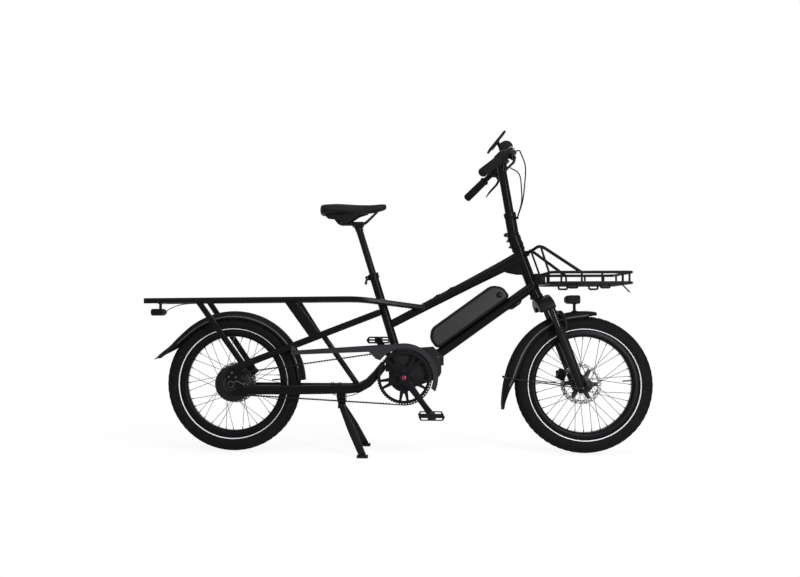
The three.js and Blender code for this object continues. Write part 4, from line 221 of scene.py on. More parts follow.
def sweep_floor():
    """A pale sheet that runs back under the bike and shows white where the bike leaves no shade."""
    shade_glow, shade_start, shade_end, half = 0.84, 0.75, 1.7, 9
    sheet = Finish("studio_sheet", (0.86, 0.86, 0.86), 0.9)
    rays = sheet.node("ShaderNodeLightPath")
    seen = Wire(sheet, rays.outputs["Is Camera Ray"]) + Wire(sheet, rays.outputs["Is Glossy Ray"])
    seen = seen + Wire(sheet, rays.outputs["Is Transmission Ray"])
    spread_out = sheet.about((-0.05, 0.0, 0.0), (0.8, 1, 1))
    reach = sheet.node("ShaderNodeVectorMath", {"operation": "LENGTH"}, a=spread_out)
    far = Wire(sheet, reach.outputs["Value"]).smooth(shade_start, shade_end)
    glow = sheet.node("ShaderNodeEmission", Color=(1, 1, 1, 1), Strength=1.0)
    share = seen.math("MINIMUM", seen, 1.0) * (shade_glow + far * (1 - shade_glow))
    mixed = sheet.node("ShaderNodeMixShader", Fac=share)
    sheet.links.new(sheet.shader.outputs[0], mixed.inputs[1])
    sheet.links.new(glow.outputs[0], mixed.inputs[2])
    sheet.links.new(mixed.outputs[0], sheet.nodes["Material Output"].inputs["Surface"])
    mesh = bpy.data.meshes.new("studio_floor")
    mesh.from_pydata(
        [(-half, -half, 0), (half, -half, 0), (half, half, 0), (-half, half, 0)], [], [(0, 1, 2, 3)]
    )
    floor = placed("studio_floor", mesh)
    floor.data.materials.append(sheet.material)


sweep_floor()

# The air is white where the camera looks, and less bright where it lights the bike.
air_seen, air_lit = 1.0, 0.62
world = bpy.data.worlds.new("studio_air")
bpy.context.scene.world = world
world.use_nodes = True
air = world.node_tree
rays = air.nodes.new("ShaderNodeLightPath")
clear = air.nodes.new("ShaderNodeMath")
clear.operation = "MAXIMUM"
air.links.new(rays.outputs["Is Camera Ray"], clear.inputs[0])
air.links.new(rays.outputs["Is Transmission Ray"], clear.inputs[1])
level = air.nodes.new("ShaderNodeMix")
level.data_type = "FLOAT"
level.inputs["A"].default_value = air_lit
level.inputs["B"].default_value = air_seen
air.links.new(clear.outputs[0], level.inputs["Factor"])
air.nodes["Background"].inputs["Color"].default_value = (1, 1, 1, 1)
air.links.new(level.outputs[0], air.nodes["Background"].inputs["Strength"])

# Frame: welded tubes in near-black satin powder coat, head tube first.
# The coat has a fine pebble, and its tone and its gloss vary a little from place to place.
paint = Finish("frame_coat", (0.004, 0.0041, 0.0046), 0.3, Specular_IOR_Level=0.056)
paint.uneven(
    (900, 3, 0.12, 0.0002), (0.2, 22, 3, 0.08), (7, 3, (0.0022, 0.0023, 0.0027), (0.0036, 0.0038, 0.0044))
)


def spread(axis, sides):
    """An axis at length one, and the directions that stand out from it, one for each side."""
    axis = Vector(axis).normalized()
    one = axis.orthogonal().normalized()
    two = axis.cross(one)
    turns = [2 * math.pi * k / sides for k in range(sides)]
    return axis, [one * math.cos(a) + two * math.sin(a) for a in turns]


def axes(x, y, z, origin=None):
    """The turn that takes X, Y and Z to three directions, and the place with it if an origin is given."""
    turn = Matrix((x, y, z)).transposed()
    return turn if origin is None else Matrix.Translation(origin) @ turn.to_4x4()


class Form:
    """Collects the faces of one piece: tubes, turnings, plates and lofts in their own places."""

    def __init__(self):
        self.points = []
        self.faces = []

    def add(self, points, faces):
        start = len(self.points)
        self.points += [tuple(map(float, p)) for p in points]
        self.faces += [tuple(start + i for i in face) for face in faces]
        return self

    def skin(self, rings, closed=False):
        """Faces from ring to ring, with a lid on each end or back round to the first."""
        rings = [list(map(tuple, ring)) for ring in rings]
        around = len(rings[0])
        faces = []
        last = len(rings) if closed else len(rings) - 1
        for r in range(last):
            low, high = r * around, ((r + 1) % len(rings)) * around
            for k in range(around):
                n = (k + 1) % around
                faces.append((low + k, low + n, high + n, high + k))
        if not closed:
            faces.append(tuple(range(around - 1, -1, -1)))
            faces.append(tuple((len(rings) - 1) * around + k for k in range(around)))
        return self.add([p for ring in rings for p in ring], faces)

    def sweep(self, path, section, up):
        """Carries a section of (side, up) points along a path, or a rule that gives it for each step."""
        path = [np.array(p, float) for p in path]
        rings = []
        for i, at in enumerate(path):
            ahead = path[min(i + 1, len(path) - 1)] - path[max(i - 1, 0)]
            ahead /= np.linalg.norm(ahead)
            side = np.cross(up, ahead)
            side /= np.linalg.norm(side)
            outline = section(i / (len(path) - 1), i) if callable(section) else section
            rings.append([at + side * a + np.cross(ahead, side) * b for a, b in outline])
        return self.skin(rings)

    def tube(self, path, radius, sides=20, taper=None, closed=False):
        """A round bar along a path, which narrows to the taper if there is one."""
        path = [np.array(p, float) for p in path]
        count = len(path)
        side = None
        rings = []
        for i, at in enumerate(path):
            before = path[(i - 1) % count] if closed else path[max(i - 1, 0)]
            after = path[(i + 1) % count] if closed else path[min(i + 1, count - 1)]
            ahead = after - before
            ahead /= np.linalg.norm(ahead)
            if side is None:
                side = np.cross((0, 0, 1), ahead)
                if np.linalg.norm(side) < 0.1:
                    side = np.cross((0, 1, 0), ahead)
            side = side - ahead * side.dot(ahead)
            side /= np.linalg.norm(side)
            other = np.cross(ahead, side)
            wide = radius if taper is None else radius + (taper - radius) * i / (count - 1)
            angles = np.linspace(0, 2 * math.pi, sides, endpoint=False)
            rings.append([at + (side * math.cos(a) + other * math.sin(a)) * wide for a in angles])
        return self.skin(rings, closed)

    def turned(self, profile, centre, sides=64, axis=(0, 1, 0), side=1):
        """A closed profile of (radius, along) turned about an axis through a centre."""
        axis, outs = spread(axis, sides)
        centre = Vector(centre)
        return self.skin(
            [[centre + out * r + axis * (y * side) for r, y in profile] for out in outs], closed=True
        )

    def disc(self, profile, centre, sides=48, axis=(0, 1, 0), side=1):
        """An open profile that starts and ends on the axis, turned into a solid."""
        axis, outs = spread(axis, sides)
        centre = Vector(centre)
        inner = profile[1:-1]
        many = len(inner)
        points = [centre + axis * (profile[end][1] * side) for end in (0, -1)]
        faces = []
        for k, out in enumerate(outs):
            points += [centre + out * r + axis * (y * side) for r, y in inner]
            here, there = 2 + k * many, 2 + ((k + 1) % sides) * many
            faces += [(0, here, there), (1, there + many - 1, here + many - 1)]
            faces += [(here + j, here + j + 1, there + j + 1, there + j) for j in range(many - 1)]
        return self.add(points, faces)

    def plate(self, outline, low, high, holes=(), bevel=0.001, steps=2):
        """A side-view outline of (x, z) points, with its holes, between two places across the bike."""
        data = bpy.data.curves.new("outline", "CURVE")
        data.dimensions = "2D"
        data.fill_mode = "BOTH"
        data.extrude = (high - low) / 2 - bevel
        data.bevel_depth = bevel
        data.bevel_resolution = steps
        data.offset = -bevel
        for loop in (outline, *holes):
            spline = data.splines.new("POLY")
            spline.points.add(len(loop) - 1)
            for point, (x, z) in zip(spline.points, loop):
                point.co = (x, z, 0, 1)
            spline.use_cyclic_u = True
        drawn = bpy.data.objects.new("outline", data)
        mesh = drawn.to_mesh()
        middle = (low + high) / 2
        points = [(v.co.x, middle - v.co.z, v.co.y) for v in mesh.vertices]
        self.add(points, [tuple(p.vertices) for p in mesh.polygons])
        drawn.to_mesh_clear()
        bpy.data.objects.remove(drawn)
        bpy.data.curves.remove(data)
        return self

    def block(self, centre, size, bevel=0.001, turned=None):
        """A box with softened edges."""
        bm = bmesh.new()
        bmesh.ops.create_cube(bm, size=1.0, matrix=Matrix.Diagonal((*size, 1)))
        bmesh.ops.bevel(bm, geom=bm.edges[:], offset=bevel, segments=2, profile=0.6, affect="EDGES")
        place = Matrix.Translation(centre) @ (turned.to_4x4() if turned is not None else Matrix())
        bm.transform(place)
        bm.verts.index_update()
        self.add([v.co for v in bm.verts], [[v.index for v in f.verts] for f in bm.faces])
        bm.free()
        return self

    def mirror(self):
        """Adds the same faces on the other side of the bike's middle plane."""
        return self.add([(x, -y, z) for x, y, z in self.points], [face[::-1] for face in self.faces])

    def moved(self, change):
        self.points = [tuple(change @ Vector(p)) for p in self.points]
        return self


def meshed(name, points, faces, corner=32):
    """A mesh with its doubles merged and its faces outwards, shaded round up to the corner angle."""
    mesh = bpy.data.meshes.new(name)
    mesh.from_pydata(points, [], faces)
    bm = bmesh.new()
    bm.from_mesh(mesh)
    bmesh.ops.remove_doubles(bm, verts=bm.verts[:], dist=1e-6)
    bmesh.ops.recalc_face_normals(bm, faces=bm.faces[:])
    bm.to_mesh(mesh)
    bm.free()
    mesh.shade_smooth()
    mesh.set_sharp_from_angle(angle=math.radians(corner))
    return mesh


def show(name, form, body, finish, replaced=(), corner=32, flipped=False):
    """Makes the piece and lets it ride on its body, in place of the CAD nodes that it stands for."""
    points = [(x, -y, z) for x, y, z in form.points] if flipped else form.points
    made = placed(name, meshed(name, points, form.faces, corner))
    made.data.materials.append(finish.material)
    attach(made, body)
    if replaced:
        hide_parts(*replaced)


def show_pair(name, form, bodies, finish, corner):
    """A piece of the bike's right side, and its mirror image on the left."""
    for side, body in zip(("_right", "_left"), bodies):
        show(name + side + "_shown", form, body, finish, (name + side,), corner, side == "_left")


def eased(node, body, finish, corner=38):
    """The CAD piece's own faces, joined and shaded round, so that its tubes read as tubes."""
    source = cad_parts[node].data
    form = Form().add([v.co for v in source.vertices], [tuple(p.vertices) for p in source.polygons])
    show(node + "_shown", form, body, finish, (node,), corner)


def bend_at(before, at, after, bend, steps):
    """The curve that stands for one corner of a run of points."""
    back, ahead = before - at, after - at
    reach = min(bend, np.linalg.norm(back) / 2, np.linalg.norm(ahead) / 2)
    start = at + back / np.linalg.norm(back) * reach
    end = at + ahead / np.linalg.norm(ahead) * reach
    return [start * (1 - t) ** 2 + at * 2 * t * (1 - t) + end * t * t for t in np.arange(steps + 1) / steps]


def rounded(points, bend, steps=6):
    """The same run of points with each corner drawn as a curve."""
    points = [np.array(p, float) for p in points]
    path = [points[0]]
    for before, at, after in zip(points, points[1:], points[2:]):
        path += bend_at(before, at, after, bend, steps)
    path.append(points[-1])
    return [p for i, p in enumerate(path) if i == 0 or np.linalg.norm(p - path[i - 1]) > 1e-6]


for tube in ("head_tube", "top_tube", "down_tube", "seat_tube"):
    eased(tube, "frame", paint)
for stay in ("chainstay", "seatstay"):
    for side in ("_right", "_left"):
        eased(stay + side, "frame", paint)
top_tube_lean = -0.48
roots = Form().tube([(-0.092, -0.0237, 0.534), (-0.0705, -0.0203, 0.5423)], 0.0115, 28)
for x, z in ((0.1512, 0.6075), (0.205, 0.6361)):
    roots.block((x, 0, z), (0.009, 0.013, 0.0065), 0.002, Matrix.Rotation(top_tube_lean, 3, "Y"))
    roots.tube([(x - 0.012, 0.0045, z - 0.0078), (x + 0.012, 0.0045, z + 0.005)], 0.0024, 12)
show("stay_roots", roots.mirror(), "frame", paint)

# Rear carrier: square rails joined by cross tubes, on flat struts that rise from the seatstays.
# It is one weldment with the frame and wears the same coat.
for tube in ("rack_rail_right", "rack_rail_left", "rack_cross_tube_tail", "rack_cross_tube_front"):
    eased(tube, "frame", paint)
for tube in ("front_strut_right", "front_strut_left", "brace_tube_right", "brace_tube_left"):
    eased(tube, "frame", paint)


def oval(wide, high, sides, across=1, up=1):
    """Points round an oval, whose flanks grow flatter as its powers fall below one."""
    return [
        (
            wide * math.copysign(abs(math.cos(a)) ** across, math.cos(a)),
            high * math.copysign(abs(math.sin(a)) ** up, math.sin(a)),
        )
        for a in np.linspace(0, 2 * math.pi, sides + 1)[:-1]
    ]


strut_run = [(-0.766, -0.1, 0.584), (-0.597, -0.0709, 0.341)]
rear_strut = Form().sweep(strut_run, oval(0.0112, 0.0078, 32, 0.5, 0.5), (0, 1, 0))
show_pair("rear_strut", rear_strut, ("frame", "frame"), paint, 44)

# Wheels: 20 inch tyres on black double-wall rims with crossed wire spokes.
# The tyres have low tread blocks and a pale reflecting line round each wall.
front_axle = np.array([0.7115, 0.0, 0.264])
rear_axle = np.array([-0.6435, 0.0, 0.264])
tyre_radius = 0.264
tyre_half = 0.0302
carcass_radius = 0.2615


def tyre_finish(name, centre):
    """Worn rubber with fine rings, and the pale line that runs round each wall."""
    line_radius, line_reach, wall_start = 0.2135, 0.0016, 0.018
    rubber = Finish(name, (0.004, 0.004, 0.0044), 0.7, Specular_IOR_Level=0.04)
    x, y, z = rubber.parts(rubber.about(centre))
    radius = x.math("SQRT", x * x + z * z)
    line = radius.band(line_radius, line_reach) * (y.math("ABSOLUTE", y) > wall_start)
    worn = rubber.grain(60, 3)
    dark = rubber.blend(worn, (0.0028, 0.0028, 0.0032), (0.007, 0.007, 0.0075))
    rubber.feed("Base Color", rubber.blend(line, dark, (0.52, 0.53, 0.54)))
    rings = radius.math("SINE", radius * 2400)
    rubber.bump(rings * 0.35 + rubber.grain(700, 2), 0.3, 0.0003)
    rubber.feed("Roughness", 0.82 - line * 0.4 - worn * 0.12)
    return rubber


def turning_copies():
    """A node tree that repeats its mesh by a turn about a cross axis and by a shift, copy after copy."""
    tree = bpy.data.node_groups.new("turning_copies", "GeometryNodeTree")
    sockets = {}
    for label, kind in (
        ("Geometry", "NodeSocketGeometry"),
        ("Copies", "NodeSocketInt"),
        ("Turn per copy", "NodeSocketFloat"),
        ("Shift per copy", "NodeSocketVector"),
        ("Turning centre", "NodeSocketVector"),
        ("Surface", "NodeSocketMaterial"),
    ):
        sockets[label] = tree.interface.new_socket(label, in_out="INPUT", socket_type=kind).identifier
    tree.interface.new_socket("Geometry", in_out="OUTPUT", socket_type="NodeSocketGeometry")
    made = {}
    for label, kind in (
        ("in", "NodeGroupInput"),
        ("out", "NodeGroupOutput"),
        ("back", "ShaderNodeVectorMath"),
        ("centred", "GeometryNodeTransform"),
        ("spots", "GeometryNodePoints"),
        ("number", "GeometryNodeInputIndex"),
        ("angle", "ShaderNodeMath"),
        ("turn", "ShaderNodeCombineXYZ"),
        ("along", "ShaderNodeVectorMath"),
        ("placed", "GeometryNodeSetPosition"),
        ("copies", "GeometryNodeInstanceOnPoints"),
        ("moved", "GeometryNodeTransform"),
        ("real", "GeometryNodeRealizeInstances"),
        ("coat", "GeometryNodeSetMaterial"),
    ):
        made[label] = tree.nodes.new(kind)
    made["angle"].operation = "MULTIPLY"
    made["back"].operation = made["along"].operation = "SCALE"
    made["back"].inputs["Scale"].default_value = -1
    for start, output, end, entry in (
        ("in", "Turning centre", "back", 0),
        ("in", "Geometry", "centred", "Geometry"),
        ("back", 0, "centred", "Translation"),
        ("in", "Copies", "spots", "Count"),
        ("number", 0, "angle", 0),
        ("in", "Turn per copy", "angle", 1),
        ("angle", 0, "turn", "Y"),
        ("in", "Shift per copy", "along", 0),
        ("number", 0, "along", "Scale"),
        ("spots", 0, "placed", "Geometry"),
        ("along", 0, "placed", "Offset"),
        ("placed", 0, "copies", "Points"),
        ("centred", 0, "copies", "Instance"),
        ("turn", 0, "copies", "Rotation"),
        ("copies", 0, "moved", "Geometry"),
        ("in", "Turning centre", "moved", "Translation"),
        ("moved", 0, "real", 0),
        ("real", 0, "coat", "Geometry"),
        ("in", "Surface", "coat", "Material"),
        ("coat", 0, "out", 0),
    ):
        tree.links.new(made[start].outputs[output], made[end].inputs[entry])
    return tree, sockets


copies_tree, copies_socket = turning_copies()


def repeated(name, form, body, finish, copies, degrees=0.0, shift=(0, 0, 0), centre=(0, 0, 0)):
    """Runs the copies tree on one unit, and keeps the result as a plain mesh on its body."""
    unit = placed(name, meshed(name, form.points, form.faces))
    rule = unit.modifiers.new("copies", "NODES")
    rule.node_group = copies_tree
    for label, value in (
        ("Copies", copies),
        ("Turn per copy", math.radians(degrees)),
        ("Shift per copy", shift),
        ("Turning centre", tuple(map(float, centre))),
        ("Surface", finish.material),
    ):
        rule[copies_socket[label]] = value
    whole = bpy.data.meshes.new_from_object(unit.evaluated_get(bpy.context.evaluated_depsgraph_get()))
    unit.modifiers.clear()
    unit.data = whole
    if not whole.materials:
        whole.materials.append(finish.material)
    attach(unit, body)


def ring_point(centre, radius, degrees, y=0.0):
    a = math.radians(degrees)
    return np.array([centre[0] + radius * math.cos(a), centre[1] + y, centre[2] + radius * math.sin(a)])


def aside(y):
    """A step across the bike, to its left."""
    return np.array([0, y, 0])


def tread(centre, half, middle, pitch):
    """One pitch of the tread: a block in the middle lane and two a side, each narrower at its top."""
    blocks = Form()
    for lane, wide, long, high, offset in (
        (0.0, 0.0042, 0.62, 0.0015, 0.5),
        (0.011, 0.0045, 0.55, 0.0015, 0.0),
        (0.0205, 0.0042, 0.5, 0.0016, 0.5),
    ):
        for sign in (-1, 1) if lane else (1,):
            rings = []
            for lift, shrink in ((-0.0012, 1), (high * 0.82, 0.8)):
                corners = []
                for da, dy in ((-1, -1), (1, -1), (1, 1), (-1, 1)):
                    degrees = offset * pitch + da * pitch * long * 0.5 * shrink + dy * sign * 0.5
                    roll = math.asin(min((lane + dy * wide * 0.5 * shrink) / half, 0.99))
                    out, y = middle + (half + lift) * math.cos(roll), sign * (half + lift) * math.sin(roll)
                    corners.append(ring_point(centre, out, degrees, y))
                rings.append(corners)
            blocks.skin(rings)
    return blocks


def tyre(name, centre, body):
    rubber = tyre_finish(name + "_rubber", centre)
    half, middle, wall, pitches = tyre_half, carcass_radius - tyre_half, 0.0045, 60
    outer = [(middle + half * math.cos(a), half * math.sin(a)) for a in np.radians(np.linspace(0, 128, 22))]
    bead = [(0.2085, 0.0165), (0.2, 0.0128), (0.2, 0.0092)]
    inner = [
        (middle + (half - wall) * math.cos(a), (half - wall) * math.sin(a))
        for a in np.radians((124, 90, 45, 0))
    ]
    side = outer + bead + inner
    loop = side + [(r, -y) for r, y in side[::-1] if y > 1e-9]
    show(name + "_carcass", Form().turned(loop, centre, 96), body, rubber, (name,), 40)
    pitch = 360 / pitches
    repeated(name + "_tread", tread(centre, half, middle, pitch), body, rubber, pitches, pitch, centre=centre)


tyre("front_tyre", front_axle, "front_wheel")
tyre("rear_tyre", rear_axle, "rear_wheel")

# Rims and spokes: an eyeleted black rim, drawn wire spokes in a three-cross pattern, small nipples.
# Each spoke hooks into a hub flange, and neighbours pass on opposite sides.
rim_black = Finish("rim_black", (0.006, 0.006, 0.007), 0.34, 0.6, Specular_IOR_Level=0.05)
rim_black.uneven((1200, 2, 0.08, 0.0001), (0.3, 40, 3, 0.12))
spoke_wire = Finish("spoke_wire", (0.02, 0.02, 0.0215), 0.33, 0.85)
spoke_wire.uneven(rough=(0.28, 300, 2, 0.15))


def rim(name, centre, body, flange_radius, flange_y, lean):
    half, seat_radius, nipple_length, crossing = 0.018, 0.1862, 0.013, 0.0016
    side = [(0.183, 0.009), (0.1845, 0.0128), (0.1895, 0.0172), (0.194, half), (0.2075, half)]
    side += [
        (0.2085, half - 0.0006),
        (0.2085, half - 0.002),
        (0.2075, half - 0.0026),
        (0.2, 0.0148),
        (0.198, 0.0125),
    ]
    loop = side + [(r, -y) for r, y in side[::-1]]
    show(name, Form().turned(loop, centre, 128), body, rim_black, (name,), 40)
    unit = Form()
    for k, (sign, leads) in enumerate(((1, 1), (-1, 1), (1, -1), (-1, -1))):
        at, lift = 10.0 * k, leads * crossing
        start = ring_point(centre, flange_radius + 0.0004, at + leads * lean, sign * flange_y + lift)
        end = ring_point(centre, seat_radius, at, sign * 0.003 + lift * 0.4)
        unit.tube([start, end], 0.001, 8)
        unit.tube([end, end + (start - end) / np.linalg.norm(start - end) * nipple_length], 0.0019, 8)
    repeated(name + "_spokes", unit, body, spoke_wire, 9, -40, centre=centre)
    valve = Form().tube([ring_point(centre, 0.186, 5), ring_point(centre, 0.15, 5)], 0.0028, 12)
    show(name + "_valve", valve, body, spoke_wire)


rim("front_rim", front_axle, "front_wheel", 0.029, 0.030, 46)
rim("rear_rim", rear_axle, "rear_wheel", 0.070, 0.032, 20)

# Hubs and brake rotors: a small front hub and a large drum-shaped gear hub at the rear.
# The rotors are ground steel discs with slotted rims, on the bike's left.
hub_shell = Finish("hub_shell", (0.012, 0.0124, 0.0135), 0.36, 0.55, Specular_IOR_Level=0.099)
hub_shell.uneven((500, 3, 0.1, 0.0002), (0.32, 30, 3, 0.14))
rotor_y = 0.041


def rotor_finish(name, centre):
    """Ground steel with fine round tracks where the pads sweep it, and a dark carrier inside."""
    steel = Finish(name, (0.42, 0.42, 0.43), 0.3, 1.0)
    x, y, z = steel.parts(steel.about(centre))
    radius = x.math("SQRT", x * x + z * z)
    tracks = radius.math("SINE", radius * 9000)
    swept = (radius > 0.0655) * (radius < 0.0802)
    steel.feed("Base Color", steel.blend(swept, (0.02, 0.02, 0.023), (0.15, 0.15, 0.155)))
    steel.feed("Roughness", 0.34 + tracks * 0.06)
    steel.bump(tracks * swept, 0.12, 0.0001)
    return steel


def arc(centre, radius, start, end, steps):
    """Side-view points (x, z) on part of a circle, from one angle to another."""
    turns = np.radians(np.linspace(start, end, steps))
    return [(centre[0] + radius * math.cos(a), centre[-1] + radius * math.sin(a)) for a in turns]


def rotor(name, centre, body):
    steel = rotor_finish(name + "_steel", centre)
    half, hole = 0.00095, 0.0021
    outer, windows, holes = [], [], []
    for at in range(0, 360, 30):
        outer += arc(centre, 0.0798, at, at + 22, 7) + arc(centre, 0.0785, at + 24, at + 28, 3)
    for at in range(0, 360, 60):
        windows.append(arc(centre, 0.064, at + 5, at + 52, 10) + arc(centre, 0.031, at + 34, at + 14, 5))
    for at in range(0, 360, 15):
        for radius, shift in ((0.0695, 0.0), (0.0752, 7.5)):
            holes.append(arc(ring_point(centre, radius, at + shift), hole, 0, 315, 8))
    form = Form().plate(outer, rotor_y - half, rotor_y + half, [*windows, *holes], 0.0001, 1)
    show(name, form, body, steel, (), 30)
    bolt_profile = [(0, rotor_y + 0.0022), (0.0042, rotor_y + 0.0022), (0.0042, rotor_y), (0, rotor_y)]
    bolt = Form().disc(bolt_profile, ring_point(centre, 0.022, 0), 10)
    repeated(name + "_bolts", bolt, body, spoke_wire, 6, -60, centre=centre)


front_hub = [(0.0056, -0.047), (0.0115, -0.047), (0.0125, -0.045), (0.0135, -0.037), (0.019, -0.0345)]
front_hub += [(0.0285, -0.0335), (0.029, -0.0325), (0.029, -0.029), (0.028, -0.028), (0.02, -0.0265)]
front_hub += [(0.017, -0.015), (0.0165, 0), (0.018, 0.015), (0.02, 0.0265), (0.0285, 0.0275), (0.029, 0.0285)]
front_hub += [
    (0.029, 0.0325), (0.0265, 0.0345), (0.0265, 0.0425), (0.0125, 0.0435), (0.0115, 0.047), (0.0056, 0.047)
]
rear_hub = [
    (0.0056, -0.047), (0.0235, -0.047), (0.024, -0.0455), (0.03, -0.0435), (0.034, -0.041), (0.05, -0.0395)
]
rear_hub += [(0.0555, -0.0375), (0.067, -0.0358), (0.07, -0.0342), (0.07, -0.0298), (0.067, -0.0285)]
rear_hub += [(0.0635, -0.026), (0.0625, -0.02), (0.062, 0), (0.0625, 0.02), (0.0635, 0.026), (0.067, 0.0285)]
rear_hub += [
    (0.07, 0.0298), (0.07, 0.0342), (0.067, 0.0358), (0.052, 0.0375), (0.03, 0.0405), (0.029, 0.0425)
]
rear_hub += [(0.0235, 0.047), (0.0056, 0.047)]
show(
    "front_hub_shell", Form().turned(front_hub, front_axle, 72), "front_wheel", hub_shell, ("front_hub",), 30
)
show("rear_hub_shell", Form().turned(rear_hub, rear_axle, 72), "rear_wheel", hub_shell, ("rear_hub",), 30)
rotor("front_rotor", front_axle, "front_wheel")
rotor("rear_rotor", rear_axle, "rear_wheel")


def head(radius, ease, top, edge, foot):
    """The profile of a round head: a flat top, an eased edge and a straight side down to its foot."""
    return [(0, top), (radius - ease, top), (radius, edge), (radius, foot), (0, foot)]


screw = Form().disc(head(0.0038, 0.0004, -0.0408, -0.0402, -0.037), ring_point(rear_axle, 0.044, 15), 12)
repeated("hub_cover_screws", screw, "rear_wheel", spoke_wire, 8, -45, centre=rear_axle)

# Belt drive: a carbon-cord belt whose teeth sit in a slotted chainring and a small rear sprocket.
# The chainring is a thin toothed rim on five pairs of arms, milled from one plate and anodised black.
bracket = np.array([0.0215, 0.0, 0.293])
belt_pitch = 0.011
belt_y = -0.056
ring_teeth, sprocket_teeth = 60, 22
ring_radius = belt_pitch * ring_teeth / (2 * math.pi)
sprocket_radius = belt_pitch * sprocket_teeth / (2 * math.pi)
anodised = Finish("black_anodised", (0.008, 0.0082, 0.0094), 0.34, 0.7, Specular_IOR_Level=0.066)
anodised.uneven((1500, 2, 0.08, 0.0001), (0.31, 35, 3, 0.14))


def soft_loop(points, bend, steps=4):
    """A closed side-view outline with each corner drawn as a curve."""
    points = [np.array(p, float) for p in points]
    path = []
    for i, at in enumerate(points):
        path += bend_at(points[i - 1], at, points[(i + 1) % len(points)], bend, steps)
    return [tuple(p) for p in path]


def toothed(centre, teeth, land, depth):
    """Flat lands with a round-cornered groove between each pair, one for each tooth of the belt."""
    groove = ((0.1, 0), (0.5, 0), (0.58, 0.8), (0.68, 1), (0.82, 1), (0.94, 0.8))
    return [
        tuple(ring_point(centre, land - depth * sunk, 360 / teeth * (i + share))[[0, 2]])
        for i in range(teeth)
        for share, sunk in groove
    ]


groove_depth, tooth_land, bore = 0.003, 0.0015, 0.0056
ring_land = ring_radius - tooth_land
rim_inner = ring_land - 0.0125
ring_teeth_line = toothed(bracket, ring_teeth, ring_land, groove_depth)
ring_hole = arc(bracket, rim_inner, 0, 357, 120)
ring_form = Form().plate(ring_teeth_line, belt_y - 0.0045, belt_y + 0.0045, [ring_hole], 0.0004, 1)
windows = []
for arm in range(5):
    at = arm * 72 + 54
    big = arc(bracket, rim_inner - 0.0015, at + 12, at + 60, 14)
    big += arc(bracket, 0.041, at + 52, at + 20, 7)
    small = arc(bracket, rim_inner - 0.0015, at - 6, at + 6, 5)
    small += arc(bracket, rim_inner * 0.68, at + 2, at - 2, 2)
    windows += [soft_loop(big, 0.004, 2), soft_loop(small, 0.002, 2)]
ring_form.plate(
    arc(bracket, rim_inner + 0.001, 0, 357, 120), belt_y - 0.0025, belt_y + 0.0025, windows, 0.0006, 2
)
ring_form.disc(head(0.03, 0.0015, -0.065, -0.0638, -0.0536), bracket, 64)
ring_form.disc([(0, -0.0857), (0.011, -0.0857), (0.011, 0.0857), (0, 0.0857)], bracket, 40)
show("chainring_shown", ring_form, "crank", anodised, ("chainring",))
ring_bolt = Form().disc(head(0.0038, 0.0006, -0.0662, -0.0656, -0.064), ring_point(bracket, 0.0235, 18), 16)
repeated("chainring_bolts", ring_bolt, "crank", spoke_wire, 5, -72, centre=bracket)
sprocket_line = toothed(rear_axle, sprocket_teeth, sprocket_radius - tooth_land, groove_depth)
sprocket_hole = arc(rear_axle, bore, 0, 345, 24)
sprocket_form = Form().plate(sprocket_line, belt_y - 0.006, belt_y + 0.006, [sprocket_hole], 0.0004, 1)
sprocket_form.turned([(bore, -0.0635), (0.0225, -0.0635), (0.024, -0.062), (bore, -0.062)], rear_axle, 48)
show("rear_sprocket_shown", sprocket_form, "sprocket", spoke_wire, ("rear_sprocket",))

belt_rubber = Finish("belt_rubber", (0.006, 0.006, 0.0064), 0.62, Specular_IOR_Level=0.083)
_, belt_across, _ = belt_rubber.parts(belt_rubber.spot())
ribs = belt_across.math("SINE", belt_across * 5200)
belt_rubber.bump(ribs * 0.6 + belt_rubber.grain(600, 2) * 0.4, 0.35, 0.0003)
belt_rubber.feed("Roughness", 0.6 + ribs * 0.08)
run = bracket - rear_axle
run_degrees = math.degrees(math.atan2(run[2], run[0]))
touch = 180 - math.degrees(math.acos((ring_radius - sprocket_radius) / np.linalg.norm(run)))
ring_arc = [(bracket, ring_radius, a) for a in np.linspace(run_degrees - touch, run_degrees + touch, 90)]
sprocket_turns = np.linspace(run_degrees + touch, run_degrees + 360 - touch, 40)
sprocket_arc = [(rear_axle, sprocket_radius, a) for a in sprocket_turns]
belt_section = [(-0.0012, -0.0052), (-0.0012, 0.0052), (-0.0007, 0.0055), (0.0021, 0.0055)]
belt_section += [(0.0026, 0.005), (0.0026, -0.005), (0.0021, -0.0055), (-0.0007, -0.0055)]
belt_rings = [
    [ring_point(centre, radius + off, degrees, belt_y + y) for off, y in belt_section]
    for centre, radius, degrees in ring_arc + sprocket_arc
]
show("belt_band", Form().skin(belt_rings, closed=True), "frame", belt_rubber, ("drive_belt",))
tooth_line = (
    (-0.0032, 0), (-0.0022, 0.0022), (-0.0012, 0.003), (0.0012, 0.003), (0.0022, 0.0022), (0.0032, 0)
)
tooth_root, tooth_half = 0.0006, 0.0054
for label, first, last, plain_first, plain_last in (
    ("top", ring_arc[-1], sprocket_arc[0], 0.034, 0.024),
    ("bottom", sprocket_arc[-1], ring_arc[0], 0.024, 0.034),
):
    start, end = (ring_point(c, r, a, belt_y) for c, r, a in (first, last))
    length = np.linalg.norm(end - start)
    ahead = (end - start) / length
    inward = np.array([-ahead[2], 0, ahead[0]])
    count = int((length - plain_first - plain_last) / belt_pitch)
    foot = start + ahead * (plain_first + belt_pitch * 0.42)
    tooth = [
        [foot + ahead * a + inward * (tooth_root + depth) + aside(y) for a, depth in tooth_line]
        for y in (-tooth_half, tooth_half)
    ]
    repeated(
        "belt_teeth_" + label,
        Form().skin(tooth),
        "frame",
        belt_rubber,
        count,
        shift=tuple(ahead * belt_pitch),
    )

